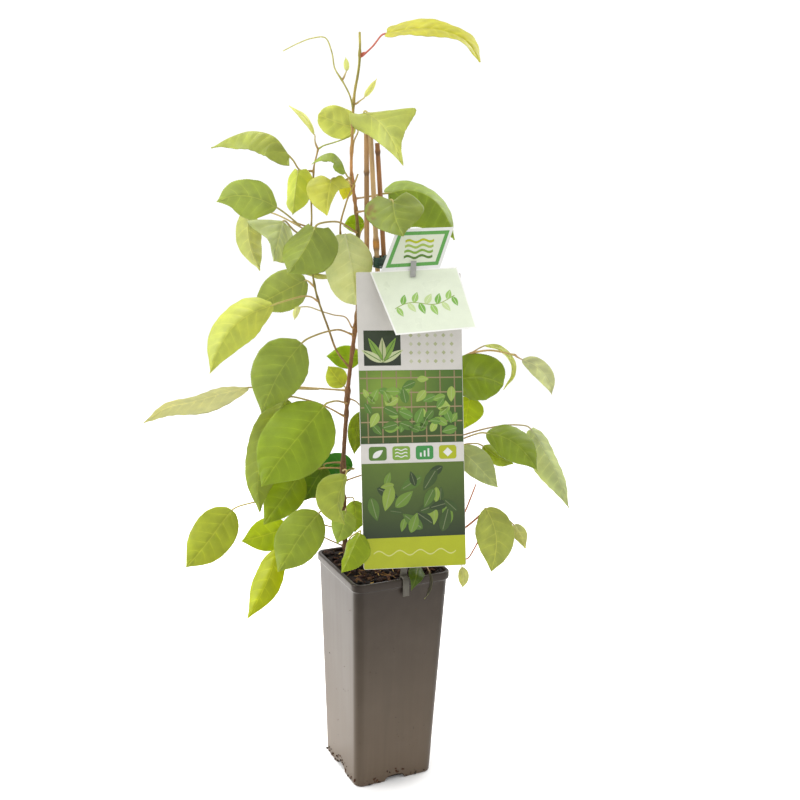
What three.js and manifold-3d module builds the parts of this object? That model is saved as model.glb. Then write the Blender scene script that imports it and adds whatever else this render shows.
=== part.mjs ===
// Young kiwi-berry vine in a tall square nursery pot, with three bamboo canes, a wire tie and a plant label.
// Millimetres, +Z up. The origin is the centre of the pot's underside. The label hangs over the -Y wall.
import * as THREE from 'three';
import { mergeVertices } from 'three/addons/utils/BufferGeometryUtils.js';
import Module from 'manifold-3d';

// ---- driving dimensions -------------------------------------------------------------------------
const POT_HEIGHT = 200;
const RIM_WIDTH = 94;            // across the flats of the rim band
const BODY_TOP_WIDTH = 90.4;     // body just under the rim band
const BASE_WIDTH = 76;
const RIM_BAND = 6.5;            // height of the rim band
const CORNER_RADIUS = 8;
const WALL = 1.6;
const FLOOR = 2.4;               // thickness of the base plate
const NOTCH_WIDTH = 20;          // drainage arch in the foot of each wall
const NOTCH_HEIGHT = 5.5;
const NOTCH_DEPTH = 7;           // how far the arch reaches in under the base plate
const SOIL_TOP = 195;            // soil level at the wall
const SOIL_CROWN = 1.6;          // the middle lies a little higher
const GAP = 0.3;                 // clearance between touching pieces
const BLADE_HALF = 0.35;         // half the leaf blade's thickness
const STALK_RADIUS = 0.85;
const CARD_THICK = 0.7;
const SWING_THICK = 0.5;
const STAKE_WIDTH = 6.4;
const STAKE_THICK = 1.5;
const HOOK_DROP = 15;            // the stake's hook on the outside of the rim
const TIE_WIRE = 0.9;            // radius of the coated wire
const TIE_TURNS = 6;             // turns of wire laid on one another

// ---- canes: straight, from the cut top to the foot in the soil -----------------------------------
const CANES = [
  { name: 'bamboo_cane_1', top: [-13.8, 22.0, 580.3], foot: [-7.3, 14.9, 112.0], radius: 2.3 },
  { name: 'bamboo_cane_2', top: [-13.6, 14.1, 577.1], foot: [13.5, -10.4, 112.0], radius: 2.2 },
  { name: 'bamboo_cane_3', top: [-5.0, 18.9, 568.2], foot: [26.2, -1.8, 112.0], radius: 2.2 },
];

// ---- stems: centre lines, and the radius at the foot and at the tip ------------------------------
const MAIN_STEM = { radius: [2.3, 1.0], path: [[-22.5, 29.4, 179.2], [-22.6, 32.4, 201.6], [-24.1, 32.5, 224.4], [-25.2, 32.4, 247.3], [-26.1, 32.2, 270.1], [-26.2, 32.3, 293.0], [-25.3, 31.1, 315.8], [-24.4, 29.9, 338.6], [-23.5, 28.6, 361.4], [-21.8, 27.1, 384.1], [-20.0, 25.8, 406.9], [-17.7, 25.8, 429.6], [-16.3, 27.2, 452.4], [-16.6, 28.8, 475.2], [-18.5, 27.2, 497.9], [-22.8, 23.6, 520.0], [-26.2, 23.2, 542.6], [-26.1, 23.4, 565.4], [-26.0, 23.3, 588.3], [-24.6, 22.6, 611.1], [-21.3, 21.1, 633.7], [-21.8, 21.3, 656.4]] };
const TIP_SHOOT = { radius: [0.75, 0.45], path: [[-25.9, 23.3, 595.3], [-30.8, 18.8, 605.9], [-37.0, 19.5, 616.9], [-44.0, 20.6, 627.4], [-45.6, 22.6, 639.6], [-49.5, 27.1, 650.5], [-59.3, 34.0, 650.3], [-69.5, 39.5, 645.4], [-79.8, 44.2, 639.7]] };
const TWINING_SHOOT = { radius: [1.0, 0.7], path: [[-22.3, 27.9, 373.3], [-34.9, 26.8, 388.6], [-42.9, 26.2, 406.9], [-50.2, 26.0, 425.6], [-57.0, 25.8, 444.4], [-59.6, 27.5, 463.9], [-58.9, 33.3, 483.0], [-57.4, 36.1, 502.8], [-56.0, 37.5, 522.7], [-55.0, 37.1, 542.7], [-52.6, 33.6, 562.2]] };
const UPPER_SHOOT = { radius: [0.9, 0.7], path: [[-16.5, 28.3, 465.7], [-25.5, 27.0, 474.5], [-33.5, 23.7, 483.5], [-37.0, 19.9, 495.1], [-36.9, 17.6, 507.5], [-33.4, 16.8, 519.5], [-27.8, 16.9, 530.9], [-23.3, 16.5, 542.6]] };
const RIGHT_SHOOT = { radius: [1.5, 0.8], path: [[16.0, 5.7, 179.4], [24.1, 8.8, 200.1], [39.2, 8.1, 218.3], [53.5, 5.9, 236.8], [62.1, 2.2, 258.5], [66.5, -1.9, 281.3], [67.9, -5.4, 304.6], [69.6, -2.2, 327.9], [69.2, 1.8, 351.1], [66.1, -1.9, 373.6], [67.0, -19.6, 388.6], [78.7, -38.3, 396.3], [95.9, -54.0, 394.1]] };
const LOW_SHOOT = { radius: [1.2, 0.9], path: [[37.2, -3.2, 179.5], [39.1, -0.6, 193.0], [43.2, -4.4, 206.1], [51.5, -10.4, 215.7], [59.7, -19.7, 222.6], [65.7, -29.2, 231.3], [72.2, -37.1, 241.2], [79.2, -43.9, 251.6]] };

// ---- leaves -------------------------------------------------------------------------------------
// midrib: base to tip. face: the side the upper face is set out from. w: half-width. right, left: the angle of each
// half about the midrib, 0 to the right and 90 towards face. stalk: the petiole, from the stem into the blade.
const LEAVES = [
  { name: 'leaf_01', w: 22, right: 84, left: 244, outline: 'blunt', outlineLeft: 'blunt', curl: -0.12, face: [-0.459, -0.885, -0.082], colour: '#cdcd46',
    midrib: [[-6.1, 2.9, 655.5], [12.2, -9.1, 658.9], [29.4, -23.0, 658.1], [45.3, -36.0, 650.3], [54.1, -47.6, 633.8]],
    stalk: [[-19.6, 19.2, 638.2], [-13.8, 12.6, 645.2], [-9.5, 5.9, 653.4], [-1.2, -0.4, 656.4]] },
  { name: 'leaf_02', w: 14.5, right: -20, left: 200, outline: 'round', outlineLeft: 'round', curl: -0.12, face: [-0.382, -0.924, -0.004], colour: '#afbe55',
    midrib: [[-18.6, 33.1, 580.0], [-26.4, 35.5, 582.1], [-34.1, 38.0, 584.5], [-41.6, 40.5, 587.3], [-49.1, 43.0, 590.2]],
    stalk: [[-24.6, 25.4, 561.7], [-21.6, 29.6, 569.5], [-17.1, 31.9, 577.2], [-22.3, 34.3, 581.0]] },
  { name: 'leaf_03', w: 29, right: -22, left: 184, outline: 'lobed', outlineLeft: 'tri', curl: -0.12, face: [-0.424, -0.906, 0.005], colour: '#b9c85a',
    midrib: [[-20.9, 5.5, 592.6], [-14.6, -6.1, 585.1], [-10.5, -16.7, 575.3], [-7.9, -26.1, 563.7], [-5.9, -34.8, 551.4]],
    stalk: [[-24.8, 21.2, 582.2], [-20.9, 15.0, 587.8], [-22.1, 7.9, 593.7], [-18.4, 0.9, 589.7]] },
  { name: 'leaf_04', w: 22, right: 238, left: 133, outline: 'cordate', outlineLeft: 'cordate', curl: -0.12, face: [-0.314, -0.949, 0.005], colour: '#aabe50',
    midrib: [[-78.6, 30.4, 556.2], [-89.3, 37.3, 571.3], [-105.1, 47.9, 575.6], [-120.3, 59.1, 570.3], [-134.0, 69.7, 560.7]],
    stalk: [[-57.0, 36.6, 543.9], [-68.1, 34.5, 544.7], [-75.5, 30.1, 552.2], [-81.8, 32.5, 560.8]] },
  { name: 'leaf_05', w: 15, right: 246, left: 122, outline: 'ovate', outlineLeft: 'ovate', curl: -0.12, face: [-0.379, -0.925, 0.022], colour: '#8ca555',
    midrib: [[-37.4, 8.8, 543.7], [-41.9, 7.8, 553.4], [-50.0, 7.8, 559.9], [-59.7, 9.5, 557.4], [-67.2, 11.8, 550.2]],
    stalk: [[-26.8, 21.1, 534.3], [-31.4, 15.8, 538.9], [-36.0, 9.4, 541.1], [-39.6, 8.3, 548.4]] },
  { name: 'leaf_06', w: 16, right: -58, left: 203, outline: 'cordate', outlineLeft: 'cordate', curl: -0.12, face: [-0.348, -0.936, 0.057], colour: '#afbe41',
    midrib: [[-71.2, 31.3, 544.5], [-73.9, 28.2, 535.2], [-76.6, 24.0, 526.4], [-79.4, 19.2, 517.8], [-82.1, 14.4, 509.3]],
    stalk: [[-58.0, 36.5, 520.6], [-61.1, 34.9, 532.8], [-66.8, 33.1, 543.9], [-72.5, 29.8, 540.0]] },
  { name: 'leaf_07', w: 19, right: -8, left: 196, outline: 'cordate', outlineLeft: 'spur', curl: -0.12, face: [-0.375, -0.925, 0.059], colour: '#c3cd41',
    midrib: [[-50.8, 8.5, 538.0], [-53.9, 3.8, 531.7], [-56.8, -0.4, 525.0], [-59.2, -3.9, 517.8], [-60.3, -7.0, 510.0]],
    stalk: [[-28.2, 21.9, 539.4], [-37.3, 16.7, 536.9], [-46.6, 11.8, 539.4], [-52.3, 6.2, 535.0]] },
  { name: 'leaf_08', w: 19, right: -35, left: 190, outline: 'ovate', outlineLeft: 'ovate', curl: -0.12, face: [-0.310, -0.949, 0.060], colour: '#91ac44',
    midrib: [[-92.3, 23.6, 514.8], [-104.5, 21.3, 520.6], [-117.6, 21.3, 524.2], [-131.2, 22.2, 524.2], [-143.9, 23.6, 519.5]],
    stalk: [[-60.0, 35.4, 497.3], [-75.0, 35.7, 502.2], [-72.1, 23.4, 499.5], [-84.3, 23.5, 509.4], [-97.6, 22.6, 517.3]] },
  { name: 'leaf_09', w: 34, right: 0, left: 252, outline: 'ovate', outlineLeft: 'ovate', curl: -0.12, face: [-0.458, -0.887, 0.059], colour: '#8ca846',
    midrib: [[8.7, 24.6, 526.5], [29.4, 23.8, 529.0], [48.4, 18.5, 522.0], [60.7, 13.1, 506.4], [67.0, 8.3, 486.8]],
    stalk: [[-20.7, 24.9, 521.9], [-11.4, 30.6, 522.4], [-1.0, 33.6, 523.6], [5.0, 26.6, 525.7], [14.7, 24.4, 527.2]] },
  { name: 'leaf_10', w: 25.5, right: -12, left: 192, outline: 'delta', outlineLeft: 'heart', curl: -0.12, face: [-0.429, -0.900, 0.076], colour: '#8aa555',
    midrib: [[-8.7, -22.4, 522.9], [-11.1, -29.3, 517.0], [-12.5, -35.8, 510.5], [-12.2, -42.0, 503.5], [-10.7, -48.0, 496.5]],
    stalk: [[-20.0, 22.4, 510.8], [-17.1, 12.1, 512.7], [-13.6, 2.2, 515.7], [-10.4, -7.6, 519.2], [-8.4, -17.4, 523.6], [-9.8, -25.8, 520.1]] },
  { name: 'leaf_11', w: 18, right: -45, left: 225, outline: 'ovate', outlineLeft: 'ovate', curl: -0.12, face: [-0.310, -0.946, 0.100], colour: '#c8cf6e',
    midrib: [[-95.0, 89.0, 505.4], [-95.3, 91.2, 492.4], [-93.8, 90.9, 479.3], [-90.8, 88.8, 466.6], [-86.4, 84.9, 454.8]],
    stalk: [[-59.5, 36.7, 493.7], [-66.7, 45.9, 498.4], [-73.8, 55.1, 503.1], [-80.8, 64.8, 506.7], [-87.4, 75.4, 508.2], [-93.6, 86.3, 508.2], [-95.1, 90.0, 499.4]] },
  { name: 'leaf_12', w: 30, right: -5, left: 232, outline: 'wing', outlineLeft: 'cordate', curl: -0.12, face: [-0.334, -0.938, 0.097], colour: '#a5b46e',
    midrib: [[-81.0, 40.4, 502.3], [-86.2, 30.9, 496.1], [-91.3, 22.0, 489.1], [-96.3, 13.8, 481.1], [-101.2, 5.7, 473.1]],
    stalk: [[-60.6, 34.8, 488.9], [-70.8, 37.8, 493.6], [-78.0, 41.9, 501.8], [-83.5, 35.8, 499.3]] },
  { name: 'leaf_13', w: 27, right: -50, left: 193, outline: 'cordate', outlineLeft: 'cordate', curl: -0.12, face: [-0.354, -0.929, 0.106], colour: '#6c913e',
    midrib: [[-68.3, -1.0, 500.7], [-75.2, -7.6, 491.7], [-83.0, -14.2, 483.3], [-91.5, -19.6, 474.9], [-100.5, -23.4, 466.1]],
    stalk: [[-20.4, 26.2, 493.5], [-30.4, 20.0, 498.7], [-40.8, 13.8, 503.0], [-52.2, 7.8, 504.0], [-63.7, 2.1, 503.0], [-71.5, -4.0, 496.6]] },
  { name: 'leaf_14', w: 22, right: 0, left: 215, outline: 'round', outlineLeft: 'ovate', curl: 0.05, face: [-0.393, -0.911, 0.122], colour: '#c3cd96',
    midrib: [[-35.2, 14.4, 493.1], [-33.5, 10.2, 478.5], [-31.4, 7.7, 463.6], [-28.9, 7.2, 448.5], [-26.7, 8.2, 433.4]],
    stalk: [[-35.6, 19.0, 490.9], [-35.3, 16.4, 492.3], [-34.9, 14.4, 490.0], [-34.5, 12.7, 487.4]] },
  { name: 'leaf_15', w: 18, right: -8, left: 188, outline: 'ovate', outlineLeft: 'ovate', curl: -0.12, face: [-0.332, -0.932, 0.144], colour: '#82a248',
    midrib: [[-61.8, 35.7, 452.4], [-72.8, 39.6, 446.4], [-83.6, 43.5, 440.3], [-94.3, 47.6, 434.0], [-105.0, 51.6, 427.6]],
    stalk: [[-58.6, 28.1, 448.8], [-60.5, 32.7, 451.4], [-62.1, 36.0, 452.3], [-66.8, 37.5, 449.6]] },
  { name: 'leaf_16', w: 21, right: -38, left: 205, outline: 'ovate', outlineLeft: 'ovate', curl: -0.12, face: [-0.290, -0.941, 0.175], colour: '#b6c144',
    midrib: [[-100.6, 9.8, 436.3], [-120.0, 10.6, 429.8], [-136.4, 10.8, 417.8], [-147.9, 10.2, 401.0], [-155.4, 9.1, 382.1]],
    stalk: [[-56.2, 24.3, 436.1], [-64.2, 17.9, 440.5], [-74.2, 13.6, 441.8], [-85.0, 11.5, 440.0], [-95.8, 10.0, 437.7], [-106.3, 10.1, 434.4]] },
  { name: 'leaf_17', w: 26, right: -15, left: 206, outline: 'ovate', outlineLeft: 'ovate', curl: -0.12, face: [-0.327, -0.920, 0.216], colour: '#7a9b3a',
    midrib: [[-74.6, 10.8, 402.7], [-86.7, 9.0, 390.4], [-97.3, 7.6, 376.6], [-105.5, 6.4, 361.4], [-113.1, 4.6, 345.8]],
    stalk: [[-23.2, 25.7, 404.9], [-34.5, 24.2, 409.5], [-45.8, 18.9, 410.2], [-57.5, 14.7, 408.9], [-69.3, 11.9, 405.8], [-78.8, 10.2, 398.5]] },
  { name: 'leaf_18', w: 23, right: -68, left: 110, outline: 'ovate', outlineLeft: 'ovate', curl: -0.12, face: [-0.256, -0.937, 0.238], colour: '#d2d7a0',
    midrib: [[-109.9, 47.4, 358.5], [-132.4, 53.7, 352.9], [-154.3, 60.7, 346.2], [-176.8, 67.2, 341.1], [-196.6, 70.5, 329.1]],
    stalk: [[-26.9, 30.0, 353.8], [-46.2, 36.2, 355.4], [-65.7, 41.8, 357.2], [-51.4, 30.0, 357.2], [-59.3, 28.9, 357.6], [-78.4, 35.8, 358.3], [-97.4, 43.0, 358.9], [-115.5, 49.0, 357.1]] },
  { name: 'leaf_19', w: 31, right: -18, left: 186, outline: 'elliptic', outlineLeft: 'elliptic', curl: -0.12, face: [-0.333, -0.902, 0.275], colour: '#85a230',
    midrib: [[-64.0, -14.0, 352.9], [-79.1, -15.9, 337.9], [-94.1, -17.5, 322.8], [-108.5, -18.7, 307.1], [-121.6, -20.1, 290.3]],
    stalk: [[-26.4, 27.2, 342.8], [-33.1, 19.3, 346.1], [-40.0, 11.4, 349.3], [-46.9, 3.3, 351.8], [-53.9, -4.9, 353.6], [-61.3, -12.9, 354.7], [-68.3, -14.6, 348.7]] },
  { name: 'leaf_20', w: 23, right: -42, left: 195, outline: 'ovate', outlineLeft: 'ovate', curl: -0.12, face: [-0.307, -0.908, 0.283], colour: '#8fa858',
    midrib: [[-79.7, 33.1, 349.5], [-93.6, 32.1, 326.7], [-103.8, 30.6, 302.1], [-108.3, 28.2, 275.9], [-107.7, 24.2, 249.5]],
    stalk: [[-28.0, 30.4, 330.8], [-39.1, 30.4, 337.5], [-50.6, 30.7, 343.4], [-62.8, 31.7, 347.8], [-75.3, 33.0, 351.2], [-82.8, 32.9, 344.3]] },
  { name: 'leaf_21', w: 20, right: -8, left: 188, outline: 'elliptic', outlineLeft: 'elliptic', curl: -0.12, face: [-0.257, -0.900, 0.353], colour: '#a0af34',
    midrib: [[-120.8, 63.5, 243.0], [-131.6, 63.4, 230.7], [-142.3, 61.7, 218.5], [-153.6, 60.5, 206.7], [-165.2, 60.2, 195.3]],
    stalk: [[-28.7, 33.5, 251.2], [-43.1, 38.3, 252.6], [-57.4, 43.1, 254.0], [-71.8, 47.9, 254.5], [-86.2, 52.7, 253.0], [-100.3, 57.5, 250.1], [-114.3, 62.1, 246.4], [-124.8, 63.5, 238.5]] },
  { name: 'leaf_22', w: 16, right: -8, left: 188, outline: 'ovate', outlineLeft: 'ovate', curl: -0.12, face: [-0.302, -0.886, 0.350], colour: '#9eaf23',
    midrib: [[-73.8, 45.8, 225.6], [-84.0, 48.7, 222.5], [-94.1, 51.5, 219.4], [-104.5, 54.0, 216.9], [-114.9, 56.4, 214.6]],
    stalk: [[-27.3, 33.4, 221.7], [-37.2, 35.9, 225.6], [-47.5, 38.5, 228.3], [-58.0, 41.4, 228.1], [-68.5, 44.4, 226.7], [-78.7, 47.2, 224.1]] },
  { name: 'leaf_23', w: 20.5, right: -10, left: 190, outline: 'elliptic', outlineLeft: 'elliptic', curl: -0.12, face: [-0.329, -0.875, 0.356], colour: '#829e3e',
    midrib: [[-65.6, -8.9, 256.8], [-76.8, -10.9, 246.5], [-87.2, -13.3, 235.5], [-96.7, -15.9, 223.8], [-106.6, -18.3, 212.4]],
    stalk: [[-27.5, 29.8, 246.1], [-35.4, 21.1, 251.2], [-43.5, 12.1, 255.6], [-52.2, 2.9, 257.8], [-61.2, -6.2, 258.6], [-70.0, -9.7, 252.8]] },
  { name: 'leaf_24', w: 15.5, right: -30, left: 206, outline: 'ovate', outlineLeft: 'ovate', curl: -0.12, face: [-0.298, -0.871, 0.391], colour: '#afbc34',
    midrib: [[-89.6, 31.1, 211.9], [-95.8, 26.1, 197.5], [-103.8, 21.8, 183.8], [-113.2, 17.9, 170.9], [-123.5, 13.9, 158.6]],
    stalk: [[-26.5, 32.6, 207.0], [-37.6, 32.6, 213.3], [-48.8, 32.6, 219.5], [-61.1, 32.5, 222.3], [-73.7, 32.4, 219.9], [-85.6, 32.1, 215.4], [-91.8, 29.3, 206.6]] },
  { name: 'leaf_25', w: 20, right: 0, left: 250, outline: 'ovate', outlineLeft: 'ovate', curl: -0.12, face: [-0.367, -0.873, 0.321], colour: '#94ad50',
    midrib: [[-40.3, -7.5, 287.9], [-46.4, -12.5, 279.3], [-51.5, -17.7, 270.2], [-52.8, -23.5, 260.3], [-49.9, -29.6, 250.8]],
    stalk: [[-27.4, 29.1, 279.9], [-31.1, 18.6, 284.0], [-34.8, 8.0, 287.7], [-37.9, -3.3, 289.9], [-43.2, -9.9, 283.7]] },
  { name: 'leaf_26', w: 11.5, right: -10, left: 190, outline: 'ovate', outlineLeft: 'ovate', curl: -0.12, face: [-0.367, -0.864, 0.345], colour: '#8ca855',
    midrib: [[-30.4, 14.3, 246.6], [-32.3, 12.8, 239.3], [-34.5, 11.6, 232.1], [-37.4, 10.8, 225.1], [-40.4, 10.2, 218.1]],
    stalk: [[-25.8, 29.1, 239.4], [-27.9, 22.4, 243.3], [-29.4, 16.2, 248.3], [-31.3, 13.6, 243.1]] },
  { name: 'leaf_27', w: 11, right: -10, left: 190, outline: 'ovate', outlineLeft: 'ovate', curl: -0.12, face: [-0.379, -0.862, 0.336], colour: '#809d4e',
    midrib: [[-11.2, 40.7, 245.3], [-10.5, 39.1, 237.9], [-10.2, 37.8, 230.5], [-10.7, 37.0, 223.0], [-11.5, 36.4, 215.5]],
    stalk: [[-22.5, 34.1, 251.5], [-16.7, 37.5, 250.5], [-11.7, 41.0, 248.1], [-10.9, 39.9, 241.7]] },
  { name: 'leaf_28', w: 16, right: -60, left: 190, outline: 'ovate', outlineLeft: 'ovate', curl: -0.12, face: [-0.371, -0.854, 0.365], colour: '#8aa837',
    midrib: [[-43.9, -47.8, 249.1], [-49.0, -49.9, 241.7], [-53.7, -51.8, 234.0], [-58.3, -53.2, 226.1], [-63.4, -54.1, 218.5]],
    stalk: [[-23.7, 29.1, 204.4], [-27.6, 17.6, 212.5], [-31.5, 6.0, 220.6], [-35.0, -5.8, 228.4], [-37.5, -18.2, 235.8], [-39.6, -30.9, 242.8], [-41.8, -43.7, 249.5], [-46.4, -48.8, 245.5]] },
  { name: 'leaf_29', w: 11, right: -10, left: 190, outline: 'ovate', outlineLeft: 'ovate', curl: -0.12, face: [-0.382, -0.902, 0.199], colour: '#7a961e',
    midrib: [[-6.7, 40.8, 379.7], [-14.2, 43.1, 380.2], [-21.7, 45.4, 380.7], [-29.2, 47.9, 381.1], [-36.6, 50.4, 381.5]],
    stalk: [[-19.0, 28.7, 390.9], [-12.1, 35.2, 388.3], [-5.8, 38.8, 381.9], [-10.3, 41.9, 379.9]] },
  { name: 'leaf_30', w: 10, right: -10, left: 190, outline: 'ovate', outlineLeft: 'ovate', curl: -0.12, face: [-0.374, -0.902, 0.216], colour: '#a0b434',
    midrib: [[-22.5, 41.6, 354.9], [-26.5, 42.2, 359.4], [-30.3, 42.9, 364.0], [-33.8, 43.5, 368.8], [-37.2, 44.0, 373.7]],
    stalk: [[-23.6, 32.4, 351.3], [-23.2, 36.8, 353.7], [-21.2, 41.2, 353.4], [-24.4, 41.9, 357.1]] },
  { name: 'leaf_31', w: 17, right: -5, left: 185, outline: 'ovate', outlineLeft: 'ovate', curl: -0.12, face: [-0.320, -0.891, 0.322], colour: '#698219',
    midrib: [[-68.5, 30.1, 280.9], [-76.5, 31.2, 269.3], [-84.5, 32.7, 257.9], [-92.7, 34.5, 246.5], [-100.8, 36.4, 235.2]],
    stalk: [[-29.6, 31.9, 281.7], [-41.1, 30.2, 283.6], [-52.8, 29.7, 284.0], [-64.4, 29.8, 283.4], [-71.9, 30.6, 275.9]] },
  { name: 'leaf_32', w: 14, right: -5, left: 185, outline: 'ovate', outlineLeft: 'ovate', curl: -0.12, face: [-0.348, -0.885, 0.308], colour: '#4b6414',
    midrib: [[-44.1, 34.0, 284.5], [-48.8, 34.5, 276.7], [-53.4, 35.0, 268.9], [-57.9, 35.5, 261.0], [-62.3, 36.0, 253.1]],
    stalk: [[-29.6, 32.6, 286.6], [-36.3, 33.3, 287.1], [-42.9, 33.9, 286.5], [-46.3, 34.3, 280.8]] },
  { name: 'leaf_33', w: 11, right: -10, left: 190, outline: 'ovate', outlineLeft: 'ovate', curl: -0.12, face: [-0.366, -0.884, 0.292], colour: '#587a37',
    midrib: [[-13.3, 41.7, 277.1], [-20.4, 46.3, 279.5], [-27.8, 50.8, 279.4], [-34.1, 53.8, 274.1], [-39.9, 56.4, 268.0]],
    stalk: [[-23.5, 34.2, 274.1], [-18.2, 38.2, 276.7], [-11.5, 40.1, 276.3], [-16.7, 43.9, 278.2]] },
  { name: 'leaf_34', w: 9, right: -10, left: 190, outline: 'ovate', outlineLeft: 'ovate', curl: -0.12, face: [-0.388, -0.883, 0.265], colour: '#739137',
    midrib: [[-7.5, 36.7, 330.7], [-10.2, 35.4, 321.2], [-12.4, 34.4, 311.6], [-13.8, 33.9, 301.7], [-15.1, 33.6, 291.9]],
    stalk: [[-21.2, 30.6, 345.3], [-13.4, 33.9, 341.3], [-7.6, 36.7, 334.8], [-8.8, 36.1, 326.1]] },
  { name: 'leaf_35', w: 21, right: -8, left: 188, outline: 'round', outlineLeft: 'round', curl: -0.12, face: [-0.487, -0.847, 0.213], colour: '#7a982d',
    midrib: [[54.3, -15.6, 364.3], [61.1, -26.7, 370.1], [67.3, -38.9, 373.7], [73.4, -51.7, 374.0], [79.7, -64.1, 371.1]],
    stalk: [[67.5, -0.1, 353.4], [61.9, -7.0, 358.9], [54.1, -12.4, 362.6], [57.1, -20.3, 366.7]] },
  { name: 'leaf_36', w: 15, right: -8, left: 188, outline: 'ovate', outlineLeft: 'ovate', curl: -0.12, face: [-0.477, -0.844, 0.244], colour: '#87a01e',
    midrib: [[74.6, -16.4, 350.1], [72.8, -17.4, 343.2], [71.0, -18.2, 336.2], [69.7, -18.6, 329.0], [68.4, -19.0, 321.9]],
    stalk: [[70.3, -1.4, 343.1], [72.2, -8.1, 347.3], [74.7, -14.4, 351.9], [73.7, -16.8, 346.8]] },
  { name: 'leaf_37', w: 9, right: -22, left: 206, outline: 'ovate', outlineLeft: 'ovate', curl: -0.12, face: [-0.538, -0.818, 0.206], colour: '#afc378',
    midrib: [[98.3, -61.8, 391.1], [104.8, -70.1, 388.4], [109.2, -78.5, 383.0], [111.0, -86.0, 375.3], [110.7, -91.9, 366.1]],
    stalk: [[96.0, -55.0, 393.6], [96.8, -59.0, 392.4], [99.1, -62.4, 391.1], [101.4, -65.8, 389.8]] },
  { name: 'leaf_38', w: 20, right: -25, left: 222, outline: 'ovate', outlineLeft: 'ovate', curl: -0.12, face: [-0.512, -0.816, 0.269], colour: '#7d9e3c',
    midrib: [[76.1, -44.7, 324.1], [83.3, -57.8, 324.0], [91.8, -69.1, 319.2], [98.8, -78.5, 310.0], [104.1, -86.6, 298.5]],
    stalk: [[68.5, -7.8, 307.8], [70.3, -18.2, 313.3], [72.2, -28.7, 318.5], [74.2, -39.5, 323.1], [79.0, -50.0, 324.1]] },
  { name: 'leaf_39', w: 20, right: -30, left: 240, outline: 'ovate', outlineLeft: 'ovate', curl: -0.12, face: [-0.538, -0.793, 0.286], colour: '#a5bc78',
    midrib: [[129.0, -34.2, 320.1], [138.4, -40.3, 303.4], [146.4, -47.0, 286.2], [152.6, -53.9, 268.3], [157.2, -60.8, 250.0]],
    stalk: [[70.4, -6.5, 311.5], [79.7, -13.4, 316.3], [90.1, -19.0, 320.1], [102.0, -22.1, 322.2], [113.8, -25.8, 323.3], [124.8, -31.8, 322.9], [131.8, -36.1, 315.2]] },
  { name: 'leaf_40', w: 12, right: -40, left: 220, outline: 'ovate', outlineLeft: 'ovate', curl: -0.12, face: [-0.497, -0.821, 0.281], colour: '#769323',
    midrib: [[83.3, -28.2, 307.1], [87.4, -33.9, 303.0], [92.0, -39.5, 299.3], [97.3, -45.1, 296.7], [102.7, -50.6, 294.2]],
    stalk: [[69.2, -7.4, 302.9], [74.8, -15.1, 306.5], [80.2, -23.4, 308.4], [85.3, -30.9, 305.1]] },
  { name: 'leaf_41', w: 15, right: -35, left: 200, outline: 'ovate', outlineLeft: 'ovate', curl: -0.12, face: [-0.482, -0.827, 0.290], colour: '#87a055',
    midrib: [[54.4, -34.5, 309.9], [60.9, -42.6, 303.3], [67.0, -50.1, 295.7], [72.8, -57.5, 287.8], [78.3, -65.6, 280.3]],
    stalk: [[65.9, -5.2, 287.0], [62.2, -14.2, 294.0], [58.5, -23.1, 301.3], [53.9, -30.5, 309.5], [57.5, -38.4, 306.7]] },
  { name: 'leaf_42', w: 18, right: -4, left: 203, outline: 'elliptic', outlineLeft: 'elliptic', curl: -0.12, face: [-0.488, -0.800, 0.350], colour: '#94af4b',
    midrib: [[75.8, -51.2, 257.2], [78.9, -59.1, 245.5], [79.5, -65.1, 232.3], [76.7, -68.9, 218.6], [71.8, -71.4, 205.2]],
    stalk: [[77.3, -45.1, 251.9], [75.9, -48.9, 255.8], [75.8, -51.6, 257.0], [77.0, -54.5, 252.3]] },
  { name: 'leaf_43', w: 7.5, right: -10, left: 190, outline: 'ovate', outlineLeft: 'ovate', curl: -0.12, face: [-0.422, -0.823, 0.380], colour: '#5a7319',
    midrib: [[21.0, -32.0, 203.7], [15.4, -41.1, 205.3], [9.7, -50.3, 206.1], [3.9, -59.1, 203.8], [-2.0, -63.2, 196.0]],
    stalk: [[38.5, -3.1, 196.5], [33.7, -11.2, 200.0], [28.8, -19.4, 203.1], [23.5, -27.9, 203.3], [18.3, -36.4, 204.4]] },
  { name: 'leaf_44', w: 22, right: -20, left: 195, outline: 'ovate', outlineLeft: 'ovate', curl: -0.12, face: [0.435, 0.884, 0.171], colour: '#7a983a',
    midrib: [[18.7, 39.8, 414.9], [30.2, 44.6, 405.3], [41.7, 48.3, 395.3], [52.2, 51.0, 383.9], [61.0, 53.1, 371.0]],
    stalk: [[-15.9, 27.1, 421.0], [-6.4, 32.9, 421.1], [3.7, 37.6, 420.3], [14.4, 38.8, 417.4], [23.1, 41.6, 411.2]] },
  { name: 'leaf_45', w: 24, right: -15, left: 200, outline: 'elliptic', outlineLeft: 'elliptic', curl: -0.12, face: [0.443, 0.892, 0.093], colour: '#80a034',
    midrib: [[53.8, 36.5, 338.8], [51.7, 45.5, 322.3], [48.2, 53.5, 305.6], [44.0, 60.0, 288.4], [40.4, 65.0, 270.4]],
    stalk: [[68.6, -0.9, 321.9], [67.2, 8.0, 327.9], [65.5, 16.9, 333.9], [61.5, 25.7, 338.5], [55.0, 34.0, 341.1], [53.1, 39.4, 333.6]] },
  { name: 'leaf_46', w: 21, right: -18, left: 198, outline: 'ovate', outlineLeft: 'ovate', curl: -0.12, face: [0.452, 0.892, 0.031], colour: '#76963c',
    midrib: [[26.1, 38.5, 261.9], [39.6, 41.8, 250.1], [52.3, 42.9, 237.1], [63.5, 42.0, 222.8], [73.3, 40.6, 207.5]],
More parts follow.
